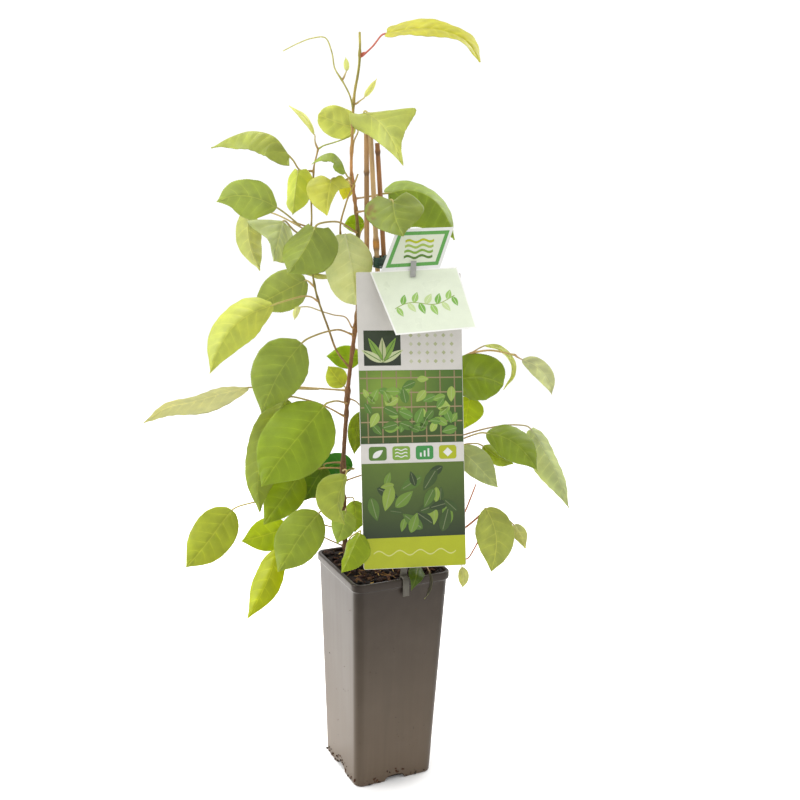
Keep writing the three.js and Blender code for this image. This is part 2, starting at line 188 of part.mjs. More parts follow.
    stalk: [[-22.8, 33.0, 268.7], [-11.7, 36.1, 269.9], [-0.5, 38.7, 270.6], [10.8, 39.1, 268.5], [21.6, 38.2, 264.7], [30.6, 39.6, 258.0]] },
  { name: 'leaf_47', w: 17, right: -12, left: 192, outline: 'ovate', outlineLeft: 'ovate', curl: -0.12, face: [0.456, 0.874, 0.169], colour: '#96af3e',
    midrib: [[69.5, 35.8, 409.4], [69.4, 42.5, 400.1], [69.0, 49.0, 390.7], [67.1, 54.8, 381.1], [64.6, 60.2, 371.3]],
    stalk: [[66.8, 1.6, 371.5], [67.8, 8.3, 381.6], [68.7, 15.2, 391.7], [69.3, 23.0, 401.2], [69.5, 31.7, 409.7], [69.5, 39.0, 404.9]] },
];

// small young leaves that have not opened yet: they stay one piece with their stem
const YOUNG = [
  { name: 'young_1', w: 6.5, right: 0, left: 180, outline: 'ovate', outlineLeft: 'ovate', curl: -0.12, face: [-0.389, -0.919, 0.054], colour: '#96aa2d',
    midrib: [[-24.9, 36.0, 535.9], [-25.6, 35.1, 531.9], [-26.4, 34.5, 527.9], [-27.6, 34.5, 523.9], [-28.9, 34.6, 520.0]],
    stalk: [[-24.9, 23.2, 532.4], [-24.9, 25.9, 533.0], [-24.9, 30.8, 535.0], [-24.6, 35.5, 537.6], [-25.2, 35.6, 534.0]], on: 'vine_stem' },
  { name: 'young_2', w: 8, right: 0, left: 180, outline: 'ovate', outlineLeft: 'ovate', curl: -0.12, face: [-0.395, -0.915, 0.082], colour: '#738c19',
    midrib: [[-7.1, 38.7, 499.9], [-11.3, 40.7, 499.4], [-15.4, 42.6, 498.9], [-19.5, 44.6, 497.9], [-23.6, 46.5, 496.9]],
    stalk: [[-17.2, 28.3, 486.4], [-15.3, 30.3, 487.3], [-11.8, 34.2, 493.0], [-6.7, 36.8, 498.3], [-9.1, 39.7, 499.7]], on: 'vine_stem' },
  { name: 'young_3', w: 9, right: -20, left: 200, outline: 'ovate', outlineLeft: 'ovate', curl: -0.12, face: [-0.364, -0.924, 0.118], colour: '#a5b658',
    midrib: [[-37.3, 41.9, 466.4], [-42.6, 44.5, 465.6], [-47.9, 46.8, 464.2], [-53.2, 48.3, 461.8], [-58.4, 49.6, 459.1]],
    stalk: [[-16.2, 28.1, 462.1], [-18.7, 29.7, 462.6], [-25.5, 34.1, 465.3], [-32.4, 38.9, 466.9], [-39.8, 43.1, 466.0]], on: 'vine_stem' },
  { name: 'young_4', w: 10, right: -78, left: 102, outline: 'ovate', outlineLeft: 'ovate', curl: -0.12, face: [-0.362, -0.924, 0.127], colour: '#96aa55',
    midrib: [[-35.6, 43.3, 453.1], [-43.0, 44.6, 454.6], [-50.3, 45.9, 455.9], [-57.8, 47.1, 456.7], [-65.2, 48.4, 457.3]],
    stalk: [[-16.4, 27.1, 450.3], [-18.6, 29.0, 450.8], [-25.3, 34.5, 453.4], [-31.3, 41.0, 453.3], [-39.1, 43.9, 453.8]], on: 'vine_stem' },
  { name: 'young_5', w: 9, right: -72, left: 106, outline: 'ovate', outlineLeft: 'ovate', curl: -0.12, face: [-0.515, -0.834, 0.198], colour: '#b2c05a',
    midrib: [[81.3, -27.3, 397.9], [92.1, -36.0, 395.8], [98.8, -43.8, 386.4], [97.8, -47.7, 373.7], [90.0, -46.8, 362.1]],
    stalk: [[69.3, -24.8, 391.5], [71.3, -24.1, 392.3], [76.6, -25.1, 395.7], [81.2, -27.0, 398.1], [86.0, -31.0, 397.0]], on: 'right_shoot' },
  { name: 'young_6', w: 8.5, right: -35, left: 215, outline: 'ovate', outlineLeft: 'ovate', curl: -0.12, face: [-0.506, -0.790, 0.346], colour: '#b9c07d',
    midrib: [[108.5, -46.7, 235.4], [111.2, -49.1, 230.7], [113.7, -51.4, 225.7], [115.4, -53.2, 220.2], [116.8, -55.0, 214.7]],
    stalk: [[78.1, -42.9, 250.0], [80.3, -43.0, 249.3], [88.9, -43.8, 247.3], [97.0, -44.5, 243.7], [104.7, -45.3, 239.2], [109.8, -47.9, 233.1]], on: 'low_shoot' },
  { name: 'young_7', w: 5, right: -75, left: 105, outline: 'ovate', outlineLeft: 'ovate', curl: -0.12, face: [-0.430, -0.814, 0.390], colour: '#a5af5a',
    midrib: [[18.9, -55.3, 207.7], [18.7, -58.9, 202.5], [17.1, -61.6, 197.1], [14.4, -63.1, 191.7], [10.6, -63.6, 186.7]],
    stalk: [[40.5, -1.8, 199.1], [39.6, -4.1, 199.3], [35.2, -15.4, 200.7], [30.7, -26.7, 202.1], [26.3, -37.9, 203.9], [21.7, -48.9, 206.7], [18.8, -57.1, 205.2]], on: 'low_shoot' },
  { name: 'young_8', w: 5.5, right: -20, left: 200, outline: 'ovate', outlineLeft: 'ovate', curl: -0.12, face: [-0.458, -0.803, 0.382], colour: '#b2c064',
    midrib: [[65.5, -30.8, 195.5], [64.9, -34.0, 191.8], [64.0, -37.0, 188.1], [62.4, -39.5, 184.1], [60.7, -41.8, 180.2]],
    stalk: [[61.5, -22.4, 224.8], [62.6, -23.9, 223.3], [64.8, -26.1, 215.9], [66.5, -28.1, 208.3], [66.2, -28.8, 200.4], [65.2, -32.4, 193.7]], on: 'low_shoot' },
  { name: 'young_9', w: 5.5, right: -62, left: 118, outline: 'ovate', outlineLeft: 'ovate', curl: -0.12, face: [-0.356, -0.934, -0.008], colour: '#bec86e',
    midrib: [[-55.7, 35.1, 574.3], [-58.8, 36.5, 581.4], [-63.1, 38.6, 587.7], [-68.8, 41.2, 592.5], [-74.6, 44.0, 597.1]],
    stalk: [[-52.6, 33.6, 562.4], [-53.1, 33.9, 563.1], [-54.8, 34.9, 568.0], [-55.0, 34.8, 573.0], [-57.2, 35.8, 577.7]], on: 'vine_stem' },
  { name: 'young_10', w: 2.6, right: -20, left: 200, outline: 'ovate', outlineLeft: 'ovate', curl: -0.12, face: [-0.388, -0.920, -0.053], colour: '#c8cd6e',
    midrib: [[-34.2, 18.3, 625.1], [-34.2, 18.3, 627.9], [-34.4, 18.4, 630.6], [-34.7, 18.6, 633.4], [-35.0, 18.7, 636.1]],
    stalk: [[-37.7, 19.6, 617.9], [-36.4, 19.2, 619.5], [-35.5, 18.9, 621.8], [-34.7, 18.6, 624.1], [-34.2, 18.3, 626.5]], on: 'vine_stem' },
  { name: 'young_11', w: 3.0, right: -30, left: 210, outline: 'ovate', outlineLeft: 'ovate', curl: -0.12, face: [-0.408, -0.912, -0.034], colour: '#c8cd6e',
    midrib: [[-17.4, 19.2, 605.2], [-14.9, 18.1, 608.9], [-12.6, 17.0, 612.5], [-10.4, 16.0, 616.4], [-8.3, 14.9, 620.2]],
    stalk: [[-25.6, 23.1, 599.2], [-23.3, 22.0, 599.7], [-20.8, 20.8, 602.0], [-18.1, 19.6, 604.0], [-16.2, 18.7, 607.0]], on: 'vine_stem' },
  { name: 'young_12', w: 3.4, right: -30, left: 210, outline: 'ovate', outlineLeft: 'ovate', curl: -0.12, face: [-0.345, -0.925, 0.161], colour: '#bec378',
    midrib: [[-66.6, 35.8, 429.2], [-69.3, 35.6, 427.4], [-71.0, 35.2, 424.7], [-71.9, 34.7, 421.6], [-72.7, 34.2, 418.4]],
    stalk: [[-19.7, 25.7, 410.1], [-22.6, 25.9, 411.0], [-28.4, 26.2, 419.9], [-39.1, 28.0, 422.3], [-49.3, 30.9, 425.5], [-59.2, 34.3, 429.1], [-67.9, 35.7, 428.3]], on: 'vine_stem' },
];

// half-width along the blade, as [distance from base, share of w], and how far the base lobes reach back
const OUTLINES = {
  ovate: { lobe: 0.06, at: [[0, 0], [0.02, 0.22], [0.06, 0.46], [0.12, 0.68], [0.22, 0.9], [0.35, 1], [0.48, 0.98], [0.6, 0.88], [0.72, 0.7], [0.82, 0.48], [0.9, 0.27], [0.96, 0.11], [1, 0]] },
  cordate: { lobe: 0.34, at: [[0, 0], [0.02, 0.42], [0.06, 0.7], [0.12, 0.88], [0.22, 0.99], [0.35, 1], [0.48, 0.93], [0.6, 0.8], [0.72, 0.62], [0.82, 0.42], [0.9, 0.23], [0.96, 0.09], [1, 0]] },
  elliptic: { lobe: 0.04, at: [[0, 0], [0.02, 0.25], [0.06, 0.48], [0.12, 0.7], [0.22, 0.9], [0.35, 1], [0.48, 0.99], [0.6, 0.92], [0.72, 0.76], [0.82, 0.54], [0.9, 0.31], [0.96, 0.13], [1, 0]] },
  heart: { lobe: 0.62, at: [[0, 0], [0.02, 0.42], [0.06, 0.7], [0.12, 0.88], [0.22, 0.99], [0.35, 1], [0.48, 0.93], [0.6, 0.8], [0.72, 0.6], [0.82, 0.37], [0.9, 0.18], [0.95, 0.075], [1, 0]] },
  round: { lobe: 0.1, at: [[0, 0], [0.02, 0.3], [0.06, 0.52], [0.12, 0.72], [0.22, 0.92], [0.35, 1], [0.48, 1], [0.6, 0.97], [0.72, 0.9], [0.82, 0.77], [0.9, 0.58], [0.95, 0.4], [1, 0]] },
  lobed: { lobe: 0.72, at: [[0, 0], [0.02, 0.4], [0.06, 0.58], [0.12, 0.64], [0.22, 0.62], [0.35, 0.53], [0.48, 0.43], [0.6, 0.33], [0.72, 0.22], [0.82, 0.135], [0.9, 0.07], [0.95, 0.03], [1, 0]] },
  wing: { lobe: 0.05, at: [[0, 0], [0.04, 0.55], [0.08, 0.85], [0.13, 1], [0.2, 0.92], [0.28, 0.78], [0.38, 0.58], [0.5, 0.36], [0.65, 0.2], [0.8, 0.12], [0.9, 0.06], [0.96, 0.03], [1, 0]] },
  blunt: { lobe: 0.12, at: [[0, 0], [0.01, 0.45], [0.03, 0.68], [0.06, 0.82], [0.12, 0.93], [0.22, 1], [0.35, 1], [0.48, 0.97], [0.6, 0.9], [0.72, 0.78], [0.82, 0.58], [0.9, 0.32], [1, 0]] },
  spur: { lobe: 0.62, at: [[0, 0], [0.04, 0.55], [0.08, 0.85], [0.13, 1], [0.2, 0.72], [0.28, 0.46], [0.38, 0.34], [0.5, 0.27], [0.65, 0.2], [0.8, 0.12], [0.9, 0.06], [0.96, 0.03], [1, 0]] },
  delta: { lobe: 0.62, at: [[0, 0], [0.02, 0.45], [0.06, 0.74], [0.12, 0.92], [0.22, 1], [0.35, 0.94], [0.48, 0.78], [0.6, 0.6], [0.72, 0.42], [0.82, 0.27], [0.9, 0.14], [0.96, 0.06], [1, 0]] },
  tri: { lobe: 0, at: [[0, 0], [0.05, 0.08], [0.15, 0.26], [0.25, 0.49], [0.33, 0.83], [0.38, 1.03], [0.42, 0.98], [0.47, 0.74], [0.55, 0.42], [0.65, 0.22], [0.78, 0.1], [0.9, 0.05], [1, 0]] },
};
const BLADE_ROWS = [0.045, 0.2, 0.42, 0.66, 0.86];
const BLADE_COLUMNS = [-1, -0.5, 0, 0.5, 1];

// ---- label --------------------------------------------------------------------------------------
const CARD = [[-34.7, -36.7, 210.2], [53.9, -58.5, 209.6], [59.7, -16.5, 467.3], [-28.9, 4.3, 462.0]];           // lower left, lower right, upper right, upper left
const CARD_FACE = [-0.2345, -0.9586, 0.1616];     // the printed side
const FLAP = [[-18.2, -0.6, 462.4], [55.6, -17.9, 466.6], [55.8, -56.2, 420.4], [-11.9, -41.3, 415.3]];           // fold left, fold right, free edge right, free edge left
const HEADER = [[-9.0, -2.7, 462.9], [41.0, -14.5, 465.9], [54.5, -12.0, 500.1], [6.1, -0.5, 498.0]];         // fold left, fold right, top right, top left
const CLIP = [[18.3, -9.3, 471.7], [17.6, -10.4, 465.4], [15.2, -14.7, 458.9]];           // the grey clip on the fold: top, bend, foot
const STAKE = [[0.6, -44.4, 205.8], [20.0, -4.7, 469.8]];         // where the stake leaves the rim, and its top end

// ---- tie around two of the canes ----------------------------------------------------------------
const TIE_CENTRE = [-2.8, 11.4, 469.5];
const TIE_ANGLE = 33.4;      // degrees, the line between the two canes
const TIE_HALF = 5.4;       // half the distance between them

// ---- helpers ------------------------------------------------------------------------------------
const wasm = await Module();
wasm.setup();

const V = (p) => new THREE.Vector3(p[0], p[1], p[2]);

function solid(geometry) {
  let g = geometry.clone();
  for (const name of ['normal', 'uv']) if (g.getAttribute(name)) g.deleteAttribute(name);
  g = mergeVertices(g, 1e-4);
  return new wasm.Manifold(new wasm.Mesh({
    numProp: 3,
    vertProperties: new Float32Array(g.getAttribute('position').array),
    triVerts: new Uint32Array(g.index.array),
  }));
}

function geometryOf(manifold) {
  const m = manifold.getMesh();
  const p = new Float32Array(m.numVert * 3);
  for (let i = 0; i < m.numVert; i++) for (let k = 0; k < 3; k++) p[3 * i + k] = m.vertProperties[m.numProp * i + k];
  const g = new THREE.BufferGeometry();
  g.setAttribute('position', new THREE.BufferAttribute(p, 3));
  g.setIndex(new THREE.BufferAttribute(new Uint32Array(m.triVerts), 1));
  g.computeVertexNormals();
  return g;
}

// closed skin through rings of equally many points, each ring running counter-clockwise seen from the far end
function loft(rings) {
  const n = rings[0].length;
  const position = [];
  const index = [];
  for (const ring of rings) for (const p of ring) position.push(p.x, p.y, p.z);
  for (let i = 0; i + 1 < rings.length; i++) {
    for (let j = 0; j < n; j++) {
      const a = i * n + j, b = i * n + ((j + 1) % n);
      index.push(a, b, b + n, a, b + n, a + n);
    }
  }
  const last = (rings.length - 1) * n;
  for (let j = 1; j + 1 < n; j++) {
    index.push(0, j + 1, j);
    index.push(last, last + j, last + j + 1);
  }
  // six times the enclosed volume tells which way the skin faces
  const at = (i) => new THREE.Vector3(position[3 * i], position[3 * i + 1], position[3 * i + 2]);
  let volume = 0;
  for (let i = 0; i < index.length; i += 3) volume += at(index[i]).dot(at(index[i + 1]).cross(at(index[i + 2])));
  if (volume < 0) index.reverse();
  const g = new THREE.BufferGeometry();
  g.setAttribute('position', new THREE.Float32BufferAttribute(position, 3));
  g.setIndex(index);
  return g;
}

// round bar along points, tapering from r0 to r1
function bar(points, r0, r1, sides, steps) {
  const curve = new THREE.CatmullRomCurve3(points.map(V), false, 'catmullrom', 0.5);
  const frames = curve.computeFrenetFrames(steps, false);
  const rings = [];
  for (let i = 0; i <= steps; i++) {
    const c = curve.getPointAt(i / steps);
    const r = r0 + ((r1 - r0) * i) / steps;
    const ring = [];
    for (let j = 0; j < sides; j++) {
      const a = (2 * Math.PI * j) / sides;
      ring.push(c.clone().addScaledVector(frames.normals[i], r * Math.cos(a)).addScaledVector(frames.binormals[i], r * Math.sin(a)));
    }
    rings.push(ring);
  }
  return loft(rings);
}

function roundedSquare(width, radius, z) {
  const h = width / 2 - radius;
  const ring = [];
  for (const [cx, cy, start] of [[h, -h, -90], [h, h, 0], [-h, h, 90], [-h, -h, 180]]) {
    for (const step of [0, 30, 60, 90]) {
      const a = THREE.MathUtils.degToRad(start + step);
      ring.push(new THREE.Vector3(cx + radius * Math.cos(a), cy + radius * Math.sin(a), z));
    }
  }
  return ring;
}

// flat sheet: four corners of its front face, thickened backwards along -face
function sheet(corners, face, thickness) {
  const front = corners.map(V);
  const back = front.map((p) => p.clone().addScaledVector(face, -thickness));
  return loft([back, front]);
}

function halfWidth(outline, t) {
  const at = outline.at;
  for (let i = 1; i < at.length; i++) {
    if (t <= at[i][0]) return at[i - 1][1] + ((at[i][1] - at[i - 1][1]) * (t - at[i - 1][0])) / (at[i][0] - at[i - 1][0]);
  }
  return 0;
}

// leaf blade: a thin closed cushion, thickest inside and sharp at the margin
function blade(leaf) {
  const curve = new THREE.CatmullRomCurve3(leaf.midrib.map(V), false, 'catmullrom', 0.5);
  const face = V(leaf.face);
  const top = [], under = [], position = [], index = [];
  const put = (p) => position.push(p.x, p.y, p.z) / 3 - 1;
  const base = put(curve.getPoint(0));
  for (const t of BLADE_ROWS) {
    const p = curve.getPoint(t);
    const T = curve.getPoint(Math.min(1, t + 0.02)).sub(curve.getPoint(Math.max(0, t - 0.02))).normalize();
    const S = T.clone().cross(face).normalize();
    const N = S.clone().cross(T);
    const rowTop = [], rowUnder = [];
    const normals = [];
    for (const side of [1, -1]) {
      const a = THREE.MathUtils.degToRad(side > 0 ? leaf.right : leaf.left);
      normals.push(side > 0
        ? S.clone().multiplyScalar(-Math.sin(a)).addScaledVector(N, Math.cos(a))
        : S.clone().multiplyScalar(Math.sin(a)).addScaledVector(N, -Math.cos(a)));
    }
    for (const s of BLADE_COLUMNS) {
      const right = s >= 0;
      const outline = OUTLINES[right ? leaf.outline : leaf.outlineLeft];
      const a = THREE.MathUtils.degToRad(right ? leaf.right : leaf.left);
      const w = halfWidth(outline, t) * leaf.w;
      const q = Math.abs(s);
      const normal = s === 0 ? normals[0].clone().add(normals[1]).normalize() : normals[right ? 0 : 1];
      const c = p.clone()
        .addScaledVector(S, Math.cos(a) * w * q).addScaledVector(N, Math.sin(a) * w * q)
        .addScaledVector(normals[right ? 0 : 1], leaf.curl * w * q * q)
        .addScaledVector(T, -outline.lobe * leaf.w * (1 - t) ** 3 * q * q * Math.min(1, t / 0.02));
      if (q === 1) {
        const i = put(c);
        rowTop.push(i); rowUnder.push(i);
      } else {
        rowTop.push(put(c.clone().addScaledVector(normal, BLADE_HALF)));
        rowUnder.push(put(c.clone().addScaledVector(normal, -BLADE_HALF)));
      }
    }
    top.push(rowTop); under.push(rowUnder);
  }
  const tip = put(curve.getPoint(1));
  const columns = BLADE_COLUMNS.length;
  for (const [rows, flip] of [[top, false], [under, true]]) {
    const tri = (a, b, c) => (flip ? index.push(a, c, b) : index.push(a, b, c));
    for (let j = 0; j + 1 < columns; j++) {
      tri(base, rows[0][j + 1], rows[0][j]);
      tri(tip, rows.at(-1)[j], rows.at(-1)[j + 1]);
      for (let i = 0; i + 1 < rows.length; i++) {
        tri(rows[i][j], rows[i][j + 1], rows[i + 1][j + 1]);
        tri(rows[i][j], rows[i + 1][j + 1], rows[i + 1][j]);
      }
    }
  }
  const g = new THREE.BufferGeometry();
  g.setAttribute('position', new THREE.Float32BufferAttribute(position, 3));
  g.setIndex(index);
  return g;
}

function leafSolid(leaf) {
  const steps = Math.max(3, leaf.stalk.length - 1);
  return solid(blade(leaf)).add(solid(bar(leaf.stalk, STALK_RADIUS, STALK_RADIUS * 0.8, 4, steps)));
}

const stem = (s, sides, steps, extra = 0) => solid(bar(s.path, s.radius[0] + extra, s.radius[1] + extra, sides, steps));

// ---- the object ---------------------------------------------------------------------------------
const group = new THREE.Group();
function add(name, manifoldOrGeometry, colour, roughness) {
  const geometry = manifoldOrGeometry.isBufferGeometry ? manifoldOrGeometry : geometryOf(manifoldOrGeometry);
  if (!geometry.getAttribute('normal')) geometry.computeVertexNormals();
  const mesh = new THREE.Mesh(geometry, new THREE.MeshStandardMaterial({ color: new THREE.Color(colour), roughness, metalness: 0 }));
  mesh.name = name;
  group.add(mesh);
}

// pot: one skin from the underside, up the outside, over the rim and down the inside to the floor
const rimFoot = POT_HEIGHT - RIM_BAND;
const insideTop = BODY_TOP_WIDTH - 2 * WALL;
const insideAt = (z) => BASE_WIDTH - 2 * WALL + ((insideTop - (BASE_WIDTH - 2 * WALL)) * z) / POT_HEIGHT;
let pot = solid(loft([
  roundedSquare(BASE_WIDTH, CORNER_RADIUS, 0),
  roundedSquare(BODY_TOP_WIDTH, CORNER_RADIUS, rimFoot - 1.5),
  roundedSquare(RIM_WIDTH, CORNER_RADIUS + 1, rimFoot),
  roundedSquare(RIM_WIDTH, CORNER_RADIUS + 1, POT_HEIGHT - 0.8),
  roundedSquare(RIM_WIDTH - 1.6, CORNER_RADIUS + 0.5, POT_HEIGHT),
  roundedSquare(insideTop, CORNER_RADIUS - 1.5, POT_HEIGHT),
  roundedSquare(insideAt(FLOOR), CORNER_RADIUS - 1.5, FLOOR),
]));
for (let i = 0; i < 4; i++) {
  const arch = new THREE.Shape();
  const w = NOTCH_WIDTH / 2;
  arch.moveTo(-w, -1).lineTo(w, -1).lineTo(w, 0.4).lineTo(w * 0.7, NOTCH_HEIGHT * 0.8).lineTo(w * 0.3, NOTCH_HEIGHT)
    .lineTo(-w * 0.3, NOTCH_HEIGHT).lineTo(-w * 0.7, NOTCH_HEIGHT * 0.8).lineTo(-w, 0.4);
  const cut = new THREE.ExtrudeGeometry(arch, { depth: NOTCH_DEPTH + 3, bevelEnabled: false });
  cut.rotateX(Math.PI / 2);
  cut.translate(0, -BASE_WIDTH / 2 + NOTCH_DEPTH, 0);
  cut.rotateZ((i * Math.PI) / 2);
  pot = pot.subtract(solid(cut));
}
add('nursery_pot', pot, '#4d4744', 0.55);

// soil: fills the pot to just under the rim, with a clear hole for everything that stands in it
const soilWidth = (z) => insideAt(z) - 2 * GAP;
let soil = solid(loft([
  roundedSquare(soilWidth(FLOOR + GAP) - 0.4, CORNER_RADIUS - 1.8, FLOOR + GAP),
  roundedSquare(soilWidth(SOIL_TOP) - 0.4, CORNER_RADIUS - 1.8, SOIL_TOP),
  roundedSquare(soilWidth(SOIL_TOP) * 0.7, CORNER_RADIUS, SOIL_TOP + SOIL_CROWN),
]));

for (const cane of CANES) {
  add(cane.name, bar([cane.foot, cane.top], cane.radius, cane.radius * 0.96, 8, 1), '#a98f6a', 0.7);
  const down = V(cane.foot).sub(V(cane.top)).normalize();
  const foot = V(cane.foot).addScaledVector(down, GAP).toArray();
  soil = soil.subtract(solid(bar([foot, cane.top], cane.radius + GAP + 0.15, cane.radius + GAP + 0.15, 8, 1)));
}

// vine stem: the woody main stem with its thin side shoots, one grown piece
let vine = stem(MAIN_STEM, 6, 24);
for (const [s, steps] of [[TIP_SHOOT, 10], [TWINING_SHOOT, 12], [UPPER_SHOOT, 8]]) vine = vine.add(stem(s, 4, steps));
let rightShoot = stem(RIGHT_SHOOT, 5, 14);
let lowShoot = stem(LOW_SHOOT, 5, 8);
for (const s of [MAIN_STEM, RIGHT_SHOOT, LOW_SHOOT]) {
  const path = s.path.slice(0, 3);
  const down = V(path[0]).sub(V(path[1])).normalize();
  path.unshift(V(path[0]).addScaledVector(down, GAP).toArray());
  soil = soil.subtract(solid(bar(path, s.radius[0] + GAP + 0.4, s.radius[0] + GAP + 0.4, 7, 4)));
}
for (const leaf of YOUNG) {
  if (leaf.on === 'vine_stem') vine = vine.add(leafSolid(leaf));
  if (leaf.on === 'right_shoot') rightShoot = rightShoot.add(leafSolid(leaf));
  if (leaf.on === 'low_shoot') lowShoot = lowShoot.add(leafSolid(leaf));
}
add('vine_stem', vine, '#7d6b45', 0.75);
add('right_shoot', rightShoot, '#86713f', 0.75);
add('low_shoot', lowShoot, '#8f7d4a', 0.75);

for (const leaf of LEAVES) add(leaf.name, leafSolid(leaf), leaf.colour, 0.5);

// tie: turns of coated wire around two canes as one oval band, with the twisted tail
const ring = new THREE.TorusGeometry(1, 0.15, 5, 14);
{
  const rx = TIE_HALF + 2.3 + GAP + TIE_WIRE + 0.9, ry = 2.3 + GAP + TIE_WIRE + 1.3;
  const p = ring.getAttribute('position');
  for (let i = 0; i < p.count; i++) {
    const x = p.getX(i), y = p.getY(i), a = Math.atan2(y, x), tube = Math.hypot(x, y) - 1;
    const k = TIE_WIRE / 0.15;
    const n = new THREE.Vector2(Math.cos(a) / rx, Math.sin(a) / ry).normalize();
    p.setXYZ(i, rx * Math.cos(a) + n.x * tube * k, ry * Math.sin(a) + n.y * tube * k, p.getZ(i) * k * TIE_TURNS);
  }
  ring.rotateZ(THREE.MathUtils.degToRad(TIE_ANGLE));
  ring.translate(TIE_CENTRE[0], TIE_CENTRE[1], TIE_CENTRE[2]);
}
const tieAxis = new THREE.Vector3(Math.cos(THREE.MathUtils.degToRad(TIE_ANGLE - 90)), Math.sin(THREE.MathUtils.degToRad(TIE_ANGLE - 90)), 0);
const knot = V(TIE_CENTRE).addScaledVector(tieAxis, 2.3 + GAP + TIE_WIRE + 1.3);
const tail = [knot.toArray(), knot.clone().addScaledVector(tieAxis, 2.4).add(V([0, 0, -3])).toArray(), knot.clone().addScaledVector(tieAxis, 2.2).add(V([1, 0, -8])).toArray()];
add('cane_tie', solid(ring).add(solid(bar(tail, TIE_WIRE, TIE_WIRE * 0.9, 6, 4))), '#2f4a38', 0.5);

// label: the tall card, the small folded card on its top edge, the clip that pins it and the stake behind
const cardFace = V(CARD_FACE);
add('label_card', solid(sheet(CARD, cardFace, CARD_THICK)), '#b9c09a', 0.35);

const flapFace = V(FLAP[1]).sub(V(FLAP[0])).cross(V(FLAP[3]).sub(V(FLAP[0]))).normalize().negate();
const up = V(HEADER[3]).sub(V(HEADER[0])).normalize();
const headerCorners = HEADER.map((p, i) => (i < 2 ? V(p).addScaledVector(up, -0.25) : V(p)).toArray());
const flapCorners = [FLAP[3], FLAP[2], FLAP[1], FLAP[0]];
add('swing_card', solid(sheet(headerCorners, cardFace, SWING_THICK)).add(solid(sheet(flapCorners, flapFace, SWING_THICK))), '#dfe6cf', 0.35);

const across = V(CARD[1]).sub(V(CARD[0])).normalize();
const strip = (a, b, width, thick, u, n) => {
  const at = (p) => [[-1, -1], [1, -1], [1, 1], [-1, 1]].map(([i, j]) => p.clone().addScaledVector(u, (i * width) / 2).addScaledVector(n, (j * thick) / 2));
  return [at(a), at(b)];
};
{
  const middle = cardFace.clone().add(flapFace).normalize();
  const rings = [[CLIP[0], cardFace], [CLIP[1], middle], [CLIP[2], flapFace]].map(([p, n]) => strip(V(p), V(p), 4.8, 1.0, across, n)[0]);
  add('label_clip', solid(loft(rings)), '#8d8f8d', 0.4);
}

// stake: a strip behind the card that twists to the wall, goes down inside it, and hooks over the rim
{
  const u0 = new THREE.Vector3(1, 0, 0), n0 = new THREE.Vector3(0, -1, 0);
  const x = STAKE[0][0];
  const y0 = -insideTop / 2 + GAP + 0.25 + STAKE_THICK / 2;
  const section = (p, u, n, width = STAKE_WIDTH) => strip(p, p, width, STAKE_THICK, u, n)[0];
  const lean = V(STAKE[1]).sub(V(STAKE[0])).normalize();
  const deep = 44;
  const slope = (insideTop - (BASE_WIDTH - 2 * WALL)) / 2 / POT_HEIGHT;
  const rings = [
    section(new THREE.Vector3(x, y0 + slope * deep + 0.4, POT_HEIGHT - deep), u0, n0, STAKE_WIDTH * 0.55),
    section(new THREE.Vector3(x, y0 + slope * (deep - 8) + 0.4, POT_HEIGHT - deep + 8), u0, n0),
    section(new THREE.Vector3(x, y0 + 0.2, POT_HEIGHT - 1), u0, n0),
    section(new THREE.Vector3(x, y0, POT_HEIGHT + 3.5), u0, n0),
    section(V(STAKE[0]).addScaledVector(lean, 6), across, cardFace),
    section(V(STAKE[1]), across, cardFace),
  ];
  let stake = solid(loft(rings));
  const outside = -RIM_WIDTH / 2 - GAP - 0.2;
  const hook = new THREE.Shape();
  hook.moveTo(y0 + 0.4, POT_HEIGHT + 0.5).lineTo(y0 + 0.4, POT_HEIGHT + 2.1).lineTo(outside - 1.5, POT_HEIGHT + 2.1)
    .lineTo(outside - 1.7, POT_HEIGHT - HOOK_DROP).lineTo(outside - 0.4, POT_HEIGHT - HOOK_DROP).lineTo(outside, POT_HEIGHT + 0.5);
  const g = new THREE.ExtrudeGeometry(hook, { depth: STAKE_WIDTH - 0.4, bevelEnabled: false });
  // profile x -> world Y, profile y -> world Z, depth -> world X
  g.applyMatrix4(new THREE.Matrix4().makeBasis(new THREE.Vector3(0, 1, 0), new THREE.Vector3(0, 0, 1), new THREE.Vector3(1, 0, 0)));
  g.translate(x - (STAKE_WIDTH - 0.4) / 2, 0, 0);
  stake = stake.add(solid(g));
  add('label_stake', stake, '#8d8f8d', 0.4);
  // the slot in the soil runs out to the pot's wall
  const slot = (z, y) => {
    const w = STAKE_WIDTH / 2 + GAP + 0.1, back = y + STAKE_THICK / 2 + GAP + 0.1;
    return [[-w, -60], [w, -60], [w, back], [-w, back]].map(([i, j]) => new THREE.Vector3(x + i, j, z));
  };
  const clear = [slot(POT_HEIGHT - deep - GAP - 0.2, y0 + slope * deep + 0.4), slot(POT_HEIGHT, y0 + 0.4)];
  soil = soil.subtract(solid(loft(clear)));
}

add('potting_soil', soil, '#2f2621', 0.95);

export default group;
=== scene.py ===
"""Looks of the potted kiwi-berry vine: pot, soil, canes, tie, stems, leaves and label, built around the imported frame.
Tables are in millimetres in the part's own frame; meshes are made in metres."""
import math
import bpy
import numpy as np
from mathutils import Matrix, Vector, noise


